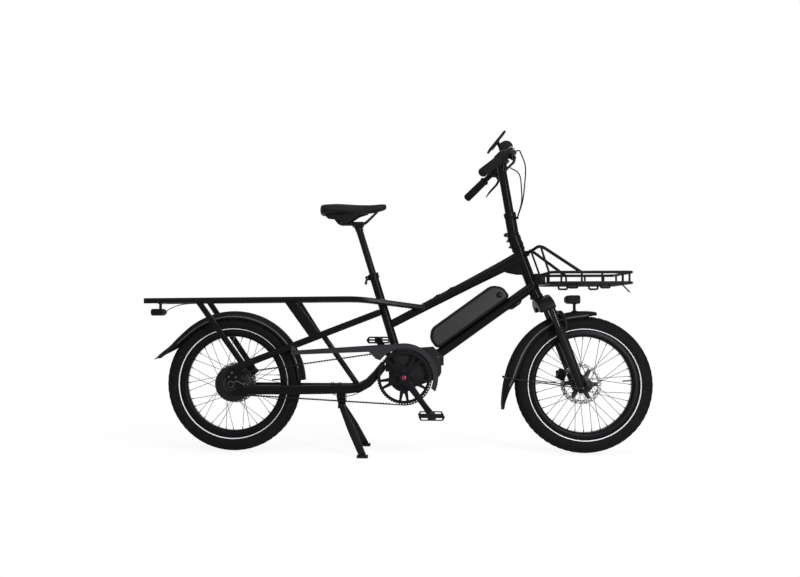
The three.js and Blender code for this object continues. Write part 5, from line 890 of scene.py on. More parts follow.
# Motor: a die-cast housing bolted under the frame, with a round cover on each side.
# The castings have draft, soft corners and a fine sand texture under dark grey paint.
casting = Finish("motor_casting", (0.009, 0.0093, 0.0101), 0.46, 0.25, Specular_IOR_Level=0.066)
casting.uneven(
    (420, 4, 0.3, 0.0004), (0.46, 25, 3, 0.14), (9, 3, (0.0075, 0.0078, 0.0086), (0.013, 0.0134, 0.0142))
)
motor_outline = arc(bracket, 0.058, 175, 318, 40) + [(0.1515, 0.2867), (0.166, 0.306), (0.166, 0.3575)]
motor_outline += [(0.1544, 0.372), (0.0795, 0.388), (0.0022, 0.388), (-0.04, 0.359)]
cover_line = [(0, 0.043), (0.031, 0.043), (0.034, 0.0418), (0.036, 0.039), (0.036, 0.036), (0, 0.036)]
cover_ring = [(0.0395, 0.0365), (0.0395, 0.0392), (0.0415, 0.0396), (0.0435, 0.0392), (0.0435, 0.0365)]
side_panel = soft_loop([(0.088, 0.3), (0.148, 0.305), (0.152, 0.352), (0.09, 0.368)], 0.01)
motor = Form().plate(soft_loop(motor_outline, 0.012), -0.038, 0.038, (), 0.005, 4)
motor_screw = Form()
screw_line = head(0.0042, 0.0006, 0.0405, 0.0396, 0.037)
for side in (-1, 1):
    motor.disc(cover_line, bracket, 72, side=side)
    motor.turned(cover_ring, bracket, 72, side=side)
    motor.plate(side_panel, *sorted((side * 0.037, side * 0.0402)), (), 0.0012, 2)
    motor_screw.disc(screw_line, ring_point(bracket, 0.0505, 200), 14, side=side)
show("motor_shell", motor, "frame", casting, ("motor_housing",), 30)
repeated("motor_screws", motor_screw, "frame", spoke_wire, 5, -29, centre=bracket)
eased("motor_bracket", "frame", casting, 24)

# Cranks: tapered forged arms, each held on the spindle by a violet-red bolt, with a steel pedal spindle.
# The arms are shot-peened and anodised, and the edges are rounded off.
violet = Finish("violet_bolt", (0.16, 0.022, 0.05), 0.3, 0.8)
violet.uneven(rough=(0.26, 200, 2, 0.12))
crank_ahead = ring_point((0, 0, 0), 1, -53.7)
crank_length = 0.17
crank_sides = (("right", -1, crank_ahead), ("left", 1, -crank_ahead))
arm_widths = ((0.045, 0.0135), (0.09, 0.0118), (0.135, 0.0112))
root_boss = [(0, 0.0705), (0.0175, 0.0705), (0.0175, 0.0862), (0.0165, 0.0872), (0.0095, 0.0872)]
root_boss += [(0.0095, 0.0862), (0, 0.0862)]
tip_boss = [(0, 0.0705), (0.0128, 0.0705), (0.0132, 0.072), (0.0132, 0.0862), (0.0122, 0.0872), (0, 0.0872)]
spindle = [
    (0, 0.08), (0.0072, 0.086), (0.0072, 0.0935), (0.005, 0.0945), (0.005, 0.177), (0.0042, 0.178), (0, 0.178)
]
bolt_hex = [
    (0, 0.0865), (0.0032, 0.0868), (0.0042, 0.0884), (0.0072, 0.0886), (0.0086, 0.088), (0.0086, 0.086)
]
for label, side, ahead in crank_sides:
    tip = bracket + ahead * crank_length
    facing = math.degrees(math.atan2(ahead[2], ahead[0]))
    across = np.array([ahead[2], 0, -ahead[0]])
    near, far = (
        [tuple((bracket + ahead * along + across * (wide * way))[[0, 2]]) for along, wide in arm_widths]
        for way in (1, -1)
    )
    outline = arc(bracket, 0.018, facing + 72, facing + 288, 24) + near
    outline += arc(tip, 0.014, facing - 75, facing + 75, 16) + far[::-1]
    arm = Form().plate(outline, *sorted((side * 0.071, side * 0.086)), (), 0.0034, 4)
    arm.disc(root_boss, bracket, 48, side=side)
    arm.disc(tip_boss, tip, 40, side=side)
    arm.disc(spindle, tip, 24, side=side)
    show("crank_arm_" + label, arm, "crank", anodised, ("crank_" + label,), 40)
    bolt = Form().disc([*bolt_hex, (0, 0.086)], bracket, 6, side=side)
    bolt.disc(head(0.0092, 0.0004, 0.088, 0.0874, 0.0862), bracket, 40, side=side)
    show("crank_bolt_" + label, bolt, "crank", violet)

# Pedals: two-row cages with bevelled ends round a barrel, pressed from black alloy plate.
# Rows of small pins along the cage edges grip the shoe.
plastic = Finish("moulded_plastic", (0.005, 0.0052, 0.0057), 0.46, Specular_IOR_Level=0.053)
plastic.uneven(
    (800, 3, 0.35, 0.0003), (0.5, 40, 3, 0.16), (12, 3, (0.0038, 0.004, 0.0045), (0.0064, 0.0066, 0.0072))
)
cage_half, cage_rise, cage_wall = 0.049, 0.013, 0.005
cage_end = cage_half - 0.008
cage_line = [(-cage_end, -cage_rise), (cage_end, -cage_rise), (cage_half, 0)]
cage_line += [(cage_end, cage_rise), (-cage_end, cage_rise), (-cage_half, 0)]
cage_hole = [(0.015, 0.00225), (cage_half - 0.0085, 0.00225), (cage_half - 0.012, cage_rise - 0.004)]
cage_hole += [(0.015, cage_rise - 0.004)]
barrel = [
    (0, 0.098), (0.0095, 0.098), (0.011, 0.1), (0.0105, 0.14), (0.011, 0.181), (0.0095, 0.1855), (0, 0.1855)
]
corners = [(a, b) for a in (-1, 1) for b in (-1, 1)]


def at_pedal(centre, loop, bend):
    return [(x + centre[0], z + centre[2]) for x, z in soft_loop(loop, bend, 2)]


for label, side, ahead in crank_sides:
    centre = bracket + ahead * crank_length
    body = Form()
    holes = [at_pedal(centre, [(a * x, b * z) for x, z in cage_hole], 0.0015) for a, b in corners]
    for inner in (0.098, 0.183):
        between = sorted((side * inner, side * (inner + cage_wall)))
        body.plate(at_pedal(centre, cage_line, 0.002), *between, holes, 0.0007, 2)
    body.disc(barrel, centre, 32, side=side)
    for a in (-1, 1):
        body.block(
            (centre[0] + a * (cage_half - 0.0075), side * 0.143, centre[2]), (0.006, 0.086, 0.0145), 0.0015
        )
        body.block((centre[0] + a * 0.026, side * 0.143, centre[2]), (0.03, 0.012, 0.005), 0.0012)
    show("pedal_cage_" + label, body, label + "_pedal", plastic, ("pedal_" + label,))
    studs = Form()
    for a, b in corners:
        at = centre + np.array([a * (cage_half - 0.0075), side * 0.112, b * 0.0068])
        studs.tube([at, at + np.array([0, 0, b * 0.0032])], 0.0016, 8)
    repeated("pedal_pins_" + label, studs, label + "_pedal", spoke_wire, 4, shift=(0, side * 0.0205, 0))

# Belt guard: a moulded cover over the top run, with a rolled lip that catches the light.
# Its panel hangs between the bar and the chainring.
guard = Form()
guard_top = arc(bracket, 0.129, -24, 94, 48)
guard_face = guard_top + [
    (-0.413, 0.393), (-0.413, 0.378), (-0.113, 0.390), (-0.086, 0.3635), (-0.062, 0.356)
]
guard.plate(guard_face + arc(bracket, 0.111, 144, -22, 60), -0.066, -0.0635, (), 0.0008, 2)
roof = guard_top + [(-0.413, 0.393), (-0.413, 0.3905)] + arc(bracket, 0.1265, 94, -24, 48)
guard.plate(roof, -0.066, -0.049, (), 0.0008, 2)
guard.tube([(x, -0.0655, z) for x, z in [*guard_top, (-0.412, 0.393)]], 0.0014, 8)
guard.tube([(x, -0.0655, z) for x, z in arc(bracket, 0.1115, -20, 142, 60)], 0.001, 8)
guard.disc(head(0.0062, 0.0007, -0.0672, -0.0664, -0.0383), ring_point(bracket, 0.12, 32), 24)
guard.block((-0.405, -0.0575, 0.4005), (0.016, 0.017, 0.024), 0.002)
guard_skin = Finish("guard_skin", (0.012, 0.0125, 0.0145), 0.4, Specular_IOR_Level=0.12)
guard_skin.uneven(
    (700, 3, 0.2, 0.0002), (0.34, 18, 3, 0.14), (10, 3, (0.01, 0.0105, 0.0122), (0.017, 0.018, 0.0208))
)
show("belt_guard_shown", guard, "frame", guard_skin, ("belt_guard",), 36)

# Rear axle and its fittings: a solid axle with a washer on each side, and the shifting arm on its right.
# A row of marks below the axle stands for the shifter's scale, and small bolts hold the arm.
steel = Finish("plated_steel", (0.09, 0.09, 0.094), 0.34, 0.95)
steel.uneven((1200, 2, 0.1, 0.0001), (0.3, 150, 3, 0.16))
trim_steel = Finish("bolt_steel", (0.07, 0.07, 0.074), 0.36, 0.9)
trim_steel.uneven(rough=(0.3, 140, 3, 0.16))
eased("rear_axle", "frame", anodised)
shift_marks = Form()
for degrees in range(212, 332, 8):
    turn = Matrix.Rotation(-math.radians(degrees), 3, "Y")
    shift_marks.block(ring_point(rear_axle, 0.023, degrees, -0.0746), (0.0034, 0.0008, 0.0011), 0.0003, turn)
show("shift_marks", shift_marks, "frame", trim_steel)
fittings = Form()
washer = [(0.0052, 0.0747), (0.0135, 0.0747), (0.0135, 0.0766), (0.0052, 0.0766)]
for side in (-1, 1):
    fittings.turned(washer, rear_axle, 40, side=side)
for x, z, wide in (
    (-0.008, 0.03, 0.0042),
    (0.004, 0.045, 0.0046),
    (0.019, 0.028, 0.0042),
    (0.052, 0.002, 0.0044),
    (0.064, 0, 0.0036),
):
    fittings.disc(head(wide, 0.001, -0.0776, -0.0768, -0.0743), rear_axle + np.array([x, 0, z]), 20)
shift_arm = [
    rear_axle + np.array(p) for p in ((0.0, -0.0765, -0.004), (0.02, -0.0768, 0.016), (0.05, -0.0765, 0.0))
]
fittings.tube(rounded(shift_arm, 0.012, 6), 0.0021, 12)
show("shift_fittings", fittings, "frame", trim_steel)

# Calipers: a two-piece alloy body astride each rotor, with its hose fitting and two bolts.
# The castings are black anodised, and the rear one has a thinner inner half, clear of the spokes.
caliper_gap, caliper_outer, caliper_radius = 0.0026, 0.0131, 0.0825


def caliper(name, axle, degrees, inner, body):
    out = ring_point((0, 0, 0), 1, degrees)
    along = np.array([-out[2], 0, out[0]])
    turn = axes(along, (0, 1, 0), out)
    centre = Vector(ring_point(axle, caliper_radius, degrees, rotor_y))
    form = Form()
    for side, far in ((-1, inner), (1, caliper_outer)):
        thick = far - caliper_gap
        at = centre + Vector((0, side * (caliper_gap + far) / 2, 0))
        form.block(at, (0.042, thick, 0.028), thick * 0.28, turn)
        form.disc(head(0.0105, 0.001, far + 0.0012, far + 0.0004, far - 0.002), centre, 28, (0, side, 0))
    bridge_at = centre + Vector((0, (caliper_outer - inner) / 2, 0)) + Vector(out) * 0.0125
    form.block(bridge_at, (0.042, caliper_outer + inner, 0.0055), 0.002, turn)
    show(name + "_body", form, body, anodised, (name,), 40)
    bolts = Form()
    bolt_line = [(0, 0.0042), (0.0036, 0.004), (0.0042, 0.0034), (0.0042, -0.001), (0, -0.001)]
    for shift in (-0.014, 0.014):
        bolts.disc(bolt_line, centre + Vector(along) * shift + Vector(out) * 0.0145, 14, tuple(out))
    bolts.tube([centre + Vector((0, 0.006, 0)), centre + Vector((0, 0.017, 0))], 0.0042, 14)
    show(name + "_bolts", bolts, body, spoke_wire)


caliper("rear_caliper", rear_axle, 38, 0.0056, "frame")

# Fenders: thin moulded shells with rolled edges round each tyre, ending in a flat flap.
# A fine grey line runs along each side, and wire stays hold them to the fork and the frame.
fender_skin = Finish("fender_skin", (0.004, 0.0042, 0.0048), 0.36, Specular_IOR_Level=0.043)
fender_tone = (8, 3, (0.0034, 0.0036, 0.004), (0.0056, 0.0058, 0.0064))
fender_skin.uneven((900, 3, 0.22, 0.0002), (0.37, 20, 3, 0.15), fender_tone)
trim_grey = Finish("trim_grey", (0.03, 0.031, 0.034), 0.45)
trim_grey.uneven(rough=(0.4, 60, 2, 0.14))
fender_radius, flap_radius, fender_half, fender_drop, fender_wall = 0.283, 0.329, 0.0335, 0.027, 0.0025


def eased_run(values, steps, reach=3):
    """Values spread evenly over the steps and averaged with their neighbours, but kept at both ends."""
    full = np.interp(steps, range(len(values)), values)
    padded = np.concatenate([np.full(reach, full[0]), full, np.full(reach, full[-1])])
    smooth = np.convolve(padded, np.ones(2 * reach + 1) / (2 * reach + 1), "valid")
    smooth[0], smooth[-1] = full[0], full[-1]
    return smooth


def fender(name, axle, angles, flares, drops, body, ribs):
    """A shell with rolled edges, its two lines and, at the rear, the ribs at its front end."""
    steps = np.linspace(0, len(angles) - 1, 96)
    degrees = np.interp(steps, range(len(angles)), angles)
    radius = fender_radius + (flap_radius - fender_radius) * eased_run(flares, steps)
    stations = list(zip(degrees, radius, fender_drop * eased_run(drops, steps)))
    across = np.sin(np.linspace(-math.pi / 2, math.pi / 2, 23))

    def sunk(down, share):
        """How far the shell falls from its crown, at a share of its half width."""
        return down * abs(share) ** 2.4

    rings = []
    for d, r, down in stations:
        outer = [(s * fender_half, -sunk(down, s)) for s in across]
        inner_half = fender_half - 0.6 * fender_wall
        inner = [(s * inner_half, -sunk(down, s) - fender_wall * 0.7) for s in across[::-1]]
        rings.append([ring_point(axle, r + z, d, y) for y, z in outer + inner])
    show(name + "_shell", Form().skin(rings), body, fender_skin, (name,), 50)
    edge, line = Form(), Form()
    for side in (-1, 1):
        rim_y = side * (fender_half - 0.0006)
        edge.tube([ring_point(axle, r - down - 0.0008, d, rim_y) for d, r, down in stations], 0.0015, 8)
        line.skin([
            [
                ring_point(axle, r - sunk(down, s) + lift, d, side * s * fender_half)
                for s, lift in ((0.87, 0.0003), (0.93, 0.0003), (0.93, -0.0005), (0.87, -0.0005))
            ]
            for d, r, down in stations[6:-14]
        ])
    show(name + "_edge", edge, body, fender_skin)
    show(name + "_line", line, body, trim_grey)
    if ribs:
        start, step, count = ribs
        _, r, down = stations[degrees.searchsorted(start)]
        rib = [
            [
                ring_point(axle, r - sunk(down, s) + lift, start + shift, s * fender_half)
                for shift, lift in ((-0.35, -0.0003), (0, 0.0011), (0.35, -0.0003))
            ]
            for s in np.linspace(-0.86, 0.86, 13)
        ]
        repeated(name + "_ribs", Form().skin(rib), body, fender_skin, count, -step, centre=axle)


fender(
    "rear_fender",
    rear_axle,
    (3, 20, 37, 54, 71, 88, 105, 122, 138, 151, 163),
    (0, 0, 0, 0, 0, 0, 0, 0, 0.03, 0.24, 1),
    (1, 1, 1, 1, 1, 1, 1, 1, 1, 0.85, 0.2),
    "frame",
    (4.5, 1.6, 9),
)
bridge = Form().tube([ring_point(rear_axle, 0.2805, 32, y) for y in (-0.064, 0.064)], 0.0045, 20)
show("fender_bridge", bridge, "frame", paint)
fender(
    "front_fender",
    front_axle,
    (80, 92, 106, 120, 134, 148, 162, 174, 185, 197),
    (0.02, 0, 0.02, 0.07, 0.14, 0.21, 0.29, 0.42, 0.64, 1),
    (0.43, 1, 1, 1.1, 1.25, 1.45, 1.6, 1.55, 0.9, 0.2),
    "fork_sliders",
    None,
)

# Fork: a steerer and crown that carry two black stanchions, and magnesium lowers that slide on them.
# The lowers are one casting with a brace arch, and a thru-axle with a lever clamps the hub.
head_low = np.array([0.537, 0.0, 0.597])
head_high = np.array([0.465, 0.0, 0.792])
head_length = np.linalg.norm(head_high - head_low)
head_up = (head_high - head_low) / head_length
head_ahead = np.array([head_up[2], 0.0, -head_up[0]])


def steer(x, y, z):
    return head_low + head_ahead * x + head_up * z + aside(y)


def pin(form, start, end, radius, end_radius=None, ease=0.001, sides=40):
    """A straight round bar whose two rims are eased."""
    start, end = np.array(start, float), np.array(end, float)
    span = np.linalg.norm(end - start)
    last = radius if end_radius is None else end_radius
    profile = [(0, 0), (radius - ease, 0), (radius - ease * 0.3, ease * 0.3), (radius, ease)]
    profile += [(last, span - ease), (last - ease * 0.3, span - ease * 0.3), (last - ease, span), (0, span)]
    return form.disc(profile, start, sides, tuple(end - start))


lowers_cast = Finish("fork_casting", (0.011, 0.0113, 0.0122), 0.28, 0.3, Specular_IOR_Level=0.059)
lowers_tone = (9, 3, (0.005, 0.0052, 0.0057), (0.008, 0.0083, 0.009))
lowers_cast.uneven((600, 3, 0.16, 0.0002), (0.34, 16, 3, 0.14), lowers_tone)
stanchion_black = Finish("stanchion_black", (0.012, 0.012, 0.0135), 0.16, 0.8)
stanchion_black.uneven(rough=(0.13, 90, 3, 0.1))
leg_x, leg_y = 0.028, 0.062
half = [
    (0.0243, -0.0006),
    (0.0558, -0.0118),
    (0.081, -0.0286),
    (0.081, -0.056),
    (0.043, -0.056),
    (0.0366, -0.0347),
]
outline = soft_loop(half + [(-y, z) for y, z in half[::-1]], 0.012, 6)
crown = Form().plate(outline, -0.0455, 0.017, (), 0.005, 4)
crown.moved(axes((0, 1, 0), -head_ahead, head_up, head_low))
pin(crown, steer(0, 0, -0.028), steer(0, 0, head_length + 0.05), 0.0143)
show("fork_crown_shown", crown, "steering", lowers_cast, ("fork_crown",), 40)
stanchions, lowers, seals = Form(), Form(), Form()
seal_line = [(0.0143, -0.1358), (0.0172, -0.1358), (0.0172, -0.134), (0.0155, -0.1295), (0.0143, -0.1295)]
lug_line = [(0, 0.0476), (0.0155, 0.0476), (0.017, 0.049), (0.017, 0.064), (0.0155, 0.0656), (0, 0.0656)]
for side in (-1, 1):
    y = side * leg_y
    pin(stanchions, steer(leg_x, y, -0.262), steer(leg_x, y, -0.04), 0.014)
    pin(lowers, steer(leg_x, y, -0.392), steer(leg_x, y, -0.14), 0.017, 0.019, 0.004, 48)
    pin(lowers, steer(leg_x, y, -0.152), steer(leg_x, y, -0.136), 0.0205, 0.0205, 0.002, 48)
    seals.turned(seal_line, steer(leg_x, y, 0), 40, head_up)
    lowers.disc(lug_line, front_axle, 48, side=side)
    lowers.tube([steer(leg_x, y * 0.98, -0.36), front_axle + aside(side * 0.058)], 0.0145, 32, 0.0135)
show("stanchions", stanchions, "steering", stanchion_black)
arch_half = [(leg_x + 0.017, leg_y, -0.153), (0.06, leg_y, -0.1275), (0.06, leg_y * 0.86, -0.082)]
arch_points = [steer(x, -y, z) for x, y, z in arch_half] + [steer(*p) for p in arch_half[::-1]]
lowers.sweep(rounded(arch_points, leg_y * 0.6, 10), oval(0.0085, 0.0072, 24), head_ahead)
show("fork_lowers_shown", lowers, "fork_sliders", lowers_cast, ("fork_lowers",), 44)
rubber = Finish("soft_rubber", (0.006, 0.006, 0.0064), 0.74, Specular_IOR_Level=0.066)
rubber.uneven((500, 3, 0.3, 0.0003), (0.68, 50, 3, 0.16))
show("fork_seals", seals, "fork_sliders", rubber)


def by_axle(*place):
    return front_axle + np.array(place)


axle_lever = Form()
pin(axle_lever, by_axle(0, -0.0835, 0), by_axle(0, -0.0655, 0), 0.0105, 0.0115, 0.0015)
pin(axle_lever, by_axle(0, 0.0655, 0), by_axle(0, 0.0765, 0), 0.0085, 0.007, 0.001, 6)
lever_path = rounded(
    [by_axle(0, -0.0785, 0), by_axle(-0.008, -0.0792, 0.016), by_axle(-0.022, -0.0785, 0.044)], 0.01, 8
)
axle_lever.sweep(
    lever_path, lambda share, i: oval(0.0034 - 0.0008 * share, 0.0055 - 0.002 * share, 20), (0, 1, 0)
)
pin(axle_lever, by_axle(0, -0.06, 0), by_axle(0, 0.06, 0), 0.005, ease=0.0003, sides=20)
show("axle_lever", axle_lever, "fork_sliders", anodised, (), 40)
stay = Form()
stay_foot = steer(leg_x, leg_y, -0.375)
stay_radius = fender_radius + 0.43 * (flap_radius - fender_radius)
stay_head = ring_point(front_axle, stay_radius, 175)
for side in (-1, 1):
    start = stay_foot * np.array([1, side, 1]) + aside(side * 0.0185)
    end = stay_head + aside(side * 0.0315)
    bend = start * 0.86 + end * 0.14 + aside(side * 0.002)
    stay.tube(rounded([start, bend, end], 0.012, 8), 0.0022, 12)
    for at, inward, outward, radius in ((start, 0.004, 0.0035, 0.0052), (end, 0.002, 0.0022, 0.0048)):
        eye = (at - aside(side * inward), at + aside(side * outward))
        pin(stay, *eye, radius, ease=0.0008, sides=20)
show("fender_stays", stay, "fork_sliders", spoke_wire)
caliper("front_caliper", front_axle, 155, caliper_outer, "fork_sliders")
mount_at = ring_point(front_axle, caliper_radius, 155) + np.array([0.006, 0.057, 0.006])
show("front_caliper_mount", Form().block(mount_at, (0.05, 0.0105, 0.02), 0.003), "fork_sliders", anodised)

# Headlight and tail light: black housings with a clear lens in front and a red one behind.
# The headlight stands on a stem from the fender, and the tail light hangs under the rack's tail tube.
def lens_finish(name, colour, roughness, cells, low, high):
    """A clear plastic whose face is broken up by small prisms."""
    lens = Finish(name, colour, roughness, Coat_Weight=1.0)
    prisms = lens.grain(cells, 0, kind="ShaderNodeTexVoronoi")
    lens.bump(prisms, 0.4, 0.0006)
    lens.feed("Base Color", lens.blend(prisms, low, high))
    return lens


clear_lens = lens_finish("clear_lens", (0.75, 0.78, 0.8), 0.08, 260, (0.3, 0.32, 0.34), (0.8, 0.83, 0.86))
red_lens = lens_finish("red_lens", (0.25, 0.006, 0.008), 0.12, 240, (0.1, 0.003, 0.004), (0.34, 0.012, 0.014))
lamp_x = 0.68
lamp_line = [
    (0.645, 0.582), (0.6542, 0.5745), (0.6985, 0.5745), (0.6985, 0.6075), (0.655, 0.6075), (0.645, 0.5995)
]
lamp = Form().plate(soft_loop(lamp_line, 0.008, 6), -0.03, 0.03, (), 0.006, 5)
pin(lamp, (lamp_x, 0, 0.5335), (lamp_x, 0, 0.585), 0.006, 0.0055)
lamp.block((lamp_x, 0, 0.5765), (0.022, 0.018, 0.006), 0.002)
lamp.disc(head(0.012, 0.001, 0, 0.001, 0.0028), (lamp_x, 0, 0.545), 28, (0, 0, 1))
show("headlight_shown", lamp, "fork_sliders", plastic, ("headlight",), 40)
lens = Form().block((0.6975, 0, 0.591), (0.0035, 0.05, 0.024), 0.0016)
show("headlight_lens", lens, "fork_sliders", clear_lens, (), 50)
tail_x = -0.94
tail_line = [
    (-0.969, 0.529), (-0.929, 0.529), (-0.919, 0.5425), (-0.929, 0.556), (-0.969, 0.556), (-0.9722, 0.5425)
]
tail = Form().plate(soft_loop(tail_line, 0.006, 6), -0.032, 0.032, (), 0.006, 5)
tail.block((tail_x, 0, 0.5665), (0.0062, 0.024, 0.027), 0.002)
tail.turned([(0.0093, -0.014), (0.0115, -0.014), (0.0115, 0.014), (0.0093, 0.014)], (tail_x, 0, 0.5863), 40)
show("tail_light_shown", tail, "frame", plastic, ("tail_light",), 40)
tail_lens = Form().block((-0.9695, 0, 0.5425), (0.006, 0.054, 0.019), 0.0028)
show("tail_light_lens", tail_lens, "frame", red_lens, (), 50)
wires = Form()
tail_wire = [(-0.921, 0.0, 0.544), (-0.885, -0.03, 0.562), (-0.83, -0.08, 0.5735), (-0.772, -0.1, 0.5765)]
motor_wire = [
    (-0.262, -0.058, 0.234), (-0.23, -0.058, 0.2195), (-0.185, -0.058, 0.2195), (-0.146, -0.053, 0.236)
]
for run in (tail_wire, motor_wire):
    wires.tube(rounded(run, 0.03, 10), 0.0016, 10)
for x in (-0.2565, -0.2485, -0.2285, -0.2205):
    wires.tube([(x, -0.0525, 0.2595), (x, -0.0525, 0.2735)], 0.0021, 12)
wires.block((-0.2385, -0.0525, 0.2625), (0.044, 0.009, 0.0045), 0.0014)
show("frame_wires", wires, "frame", rubber)

# Stem: a clamped base on the steerer, a sleeve with a height clamp, and a long post up to the bar.
# It is forged and turned alloy in the frame's coat, with button-head bolts at each clamp.
stem_low = np.array([0.4494, 0.0, 0.8342])
stem_high = np.array([0.402, 0.0, 1.118])
stem_up = (stem_high - stem_low) / np.linalg.norm(stem_high - stem_low)
stem_ahead = np.array([stem_up[2], 0.0, -stem_up[0]])
sleeve_top = stem_low + stem_up * 0.0951
bar_centre = np.array([0.408, 0.0, 1.138])
stem = Form()
pin(stem, steer(0, 0, 0.2082), steer(0, 0, 0.2729), 0.025, 0.023, 0.0035, 56)
for low in (0.2145, 0.2395):
    stem.turned(
        [(0.0225, low), (0.0258, low), (0.0258, low + 0.0145), (0.0225, low + 0.0145)], head_low, 56, head_up
    )
pin(stem, stem_low - stem_up * 0.012, sleeve_top, 0.0215, 0.0215, 0.002, 56)
ring_in, ring_ease = 0.0205, 0.0012
for along, radius, wide in ((0.004, 0.0228, 0.012), (0.078, 0.0236, 0.0165)):
    low_edge = [(ring_in, along), (radius - ring_ease, along), (radius, along + ring_ease)]
    far = along + wide
    high_edge = [(radius, far), (radius - ring_ease, far + ring_ease), (ring_in, far + ring_ease)]
    stem.turned(low_edge + high_edge, stem_low, 56, stem_up)
pin(stem, stem_low + stem_up * 0.05, stem_high, 0.017, 0.017, 0.002, 56)
pin(stem, bar_centre - aside(0.024), bar_centre + aside(0.024), 0.02, 0.02, 0.0025, 56)
stem.tube([stem_high - stem_up * 0.03, bar_centre], 0.0178, 40, 0.0165)
stem_turn = axes(stem_ahead, (0, 1, 0), stem_up)
stem.block(bar_centre + np.array([0.0115, 0, 0.0]), (0.017, 0.044, 0.034), 0.004, stem_turn)
clip_at = np.array([0.46337, 0.0, 0.90924])
stem.block(clip_at - np.array([0.001, 0, 0]), (0.0112, 0.0172, 0.01), 0.0018, stem_turn)
show("stem_shown", stem, "steering", paint, ("stem",), 40)
stem_bolts = Form()
for along in (0.221, 0.246):
    at = steer(-0.027, 0, along)
    pin(stem_bolts, at + aside(-0.0125), at + aside(0.0125), 0.0046, ease=0.0008, sides=18)
for y in (-0.014, 0.014):
    for lift in (-0.0125, 0.0125):
        at = bar_centre + stem_up * lift + stem_ahead * 0.019 + aside(y)
        pin(stem_bolts, at, at + stem_ahead * 0.0036, 0.0034, ease=0.0008, sides=16)
knob = np.array([0.4194, 0, 0.8422])
pin(stem_bolts, knob - aside(0.012), knob + aside(0.012), 0.008, ease=0.002, sides=32)
stem_bolts.tube([knob, stem_low + stem_up * 0.009 - stem_ahead * 0.018], 0.0036, 16)
show("stem_bolts", stem_bolts, "steering", anodised)

# Handlebar: one swept alloy tube, with a hinged brake clamp and a master cylinder at each bend.
# The cylinders carry the fluid reservoir, the lever's ears and the hose nut.
bar_half = [(0.298, -0.33, 1.034), (0.422, -0.172, 1.146), (0.424, -0.12, 1.152), (0.408, -0.078, 1.138)]
bar_run = rounded(bar_half + [(x, -y, z) for x, y, z in bar_half[::-1]], 0.034, 12)
bar_end = np.array([0.298, -0.33, 1.034])
bar_in = np.array([0.53921, 0.68706, 0.48703])
lever_ahead = np.array([0.84211, -0.43299, -0.32151])
lever_axis = np.array([-0.01002, 0.5835, -0.81205])


def on_bar(along):
    return bar_end + bar_in * along


def reach(start, ahead, out, up=0.0):
    return start + lever_ahead * ahead - bar_in * out + lever_axis * up


clamp_at = on_bar(0.1743)
pivot_at = reach(clamp_at, 0.042, 0.01)
show("bar_tube", Form().tube(bar_run, 0.0111, 40), "steering", paint, ("handlebar",), 40)
brakes = Form()
for along in (0.1665, 0.1753):
    profile = [(0.0108, along), (0.0162, along), (0.017, along + 0.0008), (0.017, along + 0.0066)]
    brakes.turned(profile + [(0.0162, along + 0.0074), (0.0108, along + 0.0074)], bar_end, 44, bar_in)
brakes.tube([clamp_at + lever_ahead * 0.012, reach(clamp_at, 0.02, 0)], 0.0075, 24)
cylinder = [
    (0, -0.0345), (0.0085, -0.0345), (0.01, -0.033), (0.01, -0.004), (0.0108, -0.003), (0.0108, 0.0015)
]
brakes.disc(
    cylinder + [(0.01, 0.0025), (0.01, 0.0068), (0.0088, 0.008), (0, 0.008)],
    reach(clamp_at, 0.02, 0),
    36,
    -bar_in,
)
lid_turn = axes(lever_ahead, bar_in, lever_axis)
brakes.block(reach(clamp_at, 0.0205, -0.014, -0.0095), (0.0165, 0.033, 0.006), 0.0022, lid_turn)
for side in (-1, 1):
    out = side * 0.00735
    ear = [
        reach(clamp_at, 0.024, 0.002, side * 0.0065),
        reach(clamp_at, 0.034, 0.01, out),
        reach(pivot_at, 0.002, 0, out),
    ]
    brakes.sweep(rounded(ear, 0.006, 4), oval(0.0052, 0.0021, 20), lever_axis)
pin(brakes, reach(pivot_at, 0, 0, -0.0098), reach(pivot_at, 0, 0, 0.0098), 0.0025, ease=0.0004, sides=16)
pin(brakes, reach(clamp_at, 0.02, -0.0335), reach(clamp_at, 0.0205, -0.0425), 0.0048, ease=0.0008, sides=6)
show("brake_bodies", brakes.mirror(), "steering", anodised, (), 40)

# Grips and shifter: moulded rubber sleeves with rolled ribs and a flared inner end.
# The right one is followed by the twist shifter, whose ring has deeper ribs.
grip_rubber = Finish("grip_rubber", (0.006, 0.006, 0.0064), 0.8, Specular_IOR_Level=0.066)
grip_tone = (30, 3, (0.0045, 0.0045, 0.0048), (0.0085, 0.0085, 0.009))
grip_rubber.uneven((700, 2, 0.35, 0.0003), (0.74, 40, 3, 0.16), grip_tone)
grip_profile = [(0, -0.0041), (0.0125, -0.0041), (0.0155, -0.0028), (0.0165, -0.0005), (0.0165, 0.004)]
rib_count, rib_pitch, rib_depth = 26, 0.0041, 0.0009
for k in range(rib_count):
    at = 0.0055 + k * rib_pitch
    base = 0.0165 - 0.001 * k / rib_count
    valley = base - rib_depth
    grip_profile += [(valley, at), (valley, at + 0.0009), (base, at + 0.0015), (base, at + 0.0034)]
grip_profile += [
    (0.0157, 0.1135), (0.0175, 0.1148), (0.0182, 0.1162), (0.0182, 0.119), (0.0174, 0.1199), (0, 0.1199)
]
grip = Form().disc(grip_profile, bar_end, 44, bar_in)
show_pair("grip", grip, ("steering", "steering"), grip_rubber, 30)
shifter = Form().disc(
    [(0.0125, 0.1211), (0.0168, 0.1211), (0.018, 0.1223), (0.0196, 0.141), (0.0206, 0.1425), (0.0214, 0.1445)]
    + [(0.0216, 0.1625), (0.0205, 0.1651), (0.0125, 0.1651)],
    bar_end,
    56,
    bar_in,
)
show("twist_shifter_shown", shifter, "shifter", plastic, ("twist_shifter",), 36)
turning_ribs = Form()
ring_ribs = 22
bar_line = Vector(bar_in)
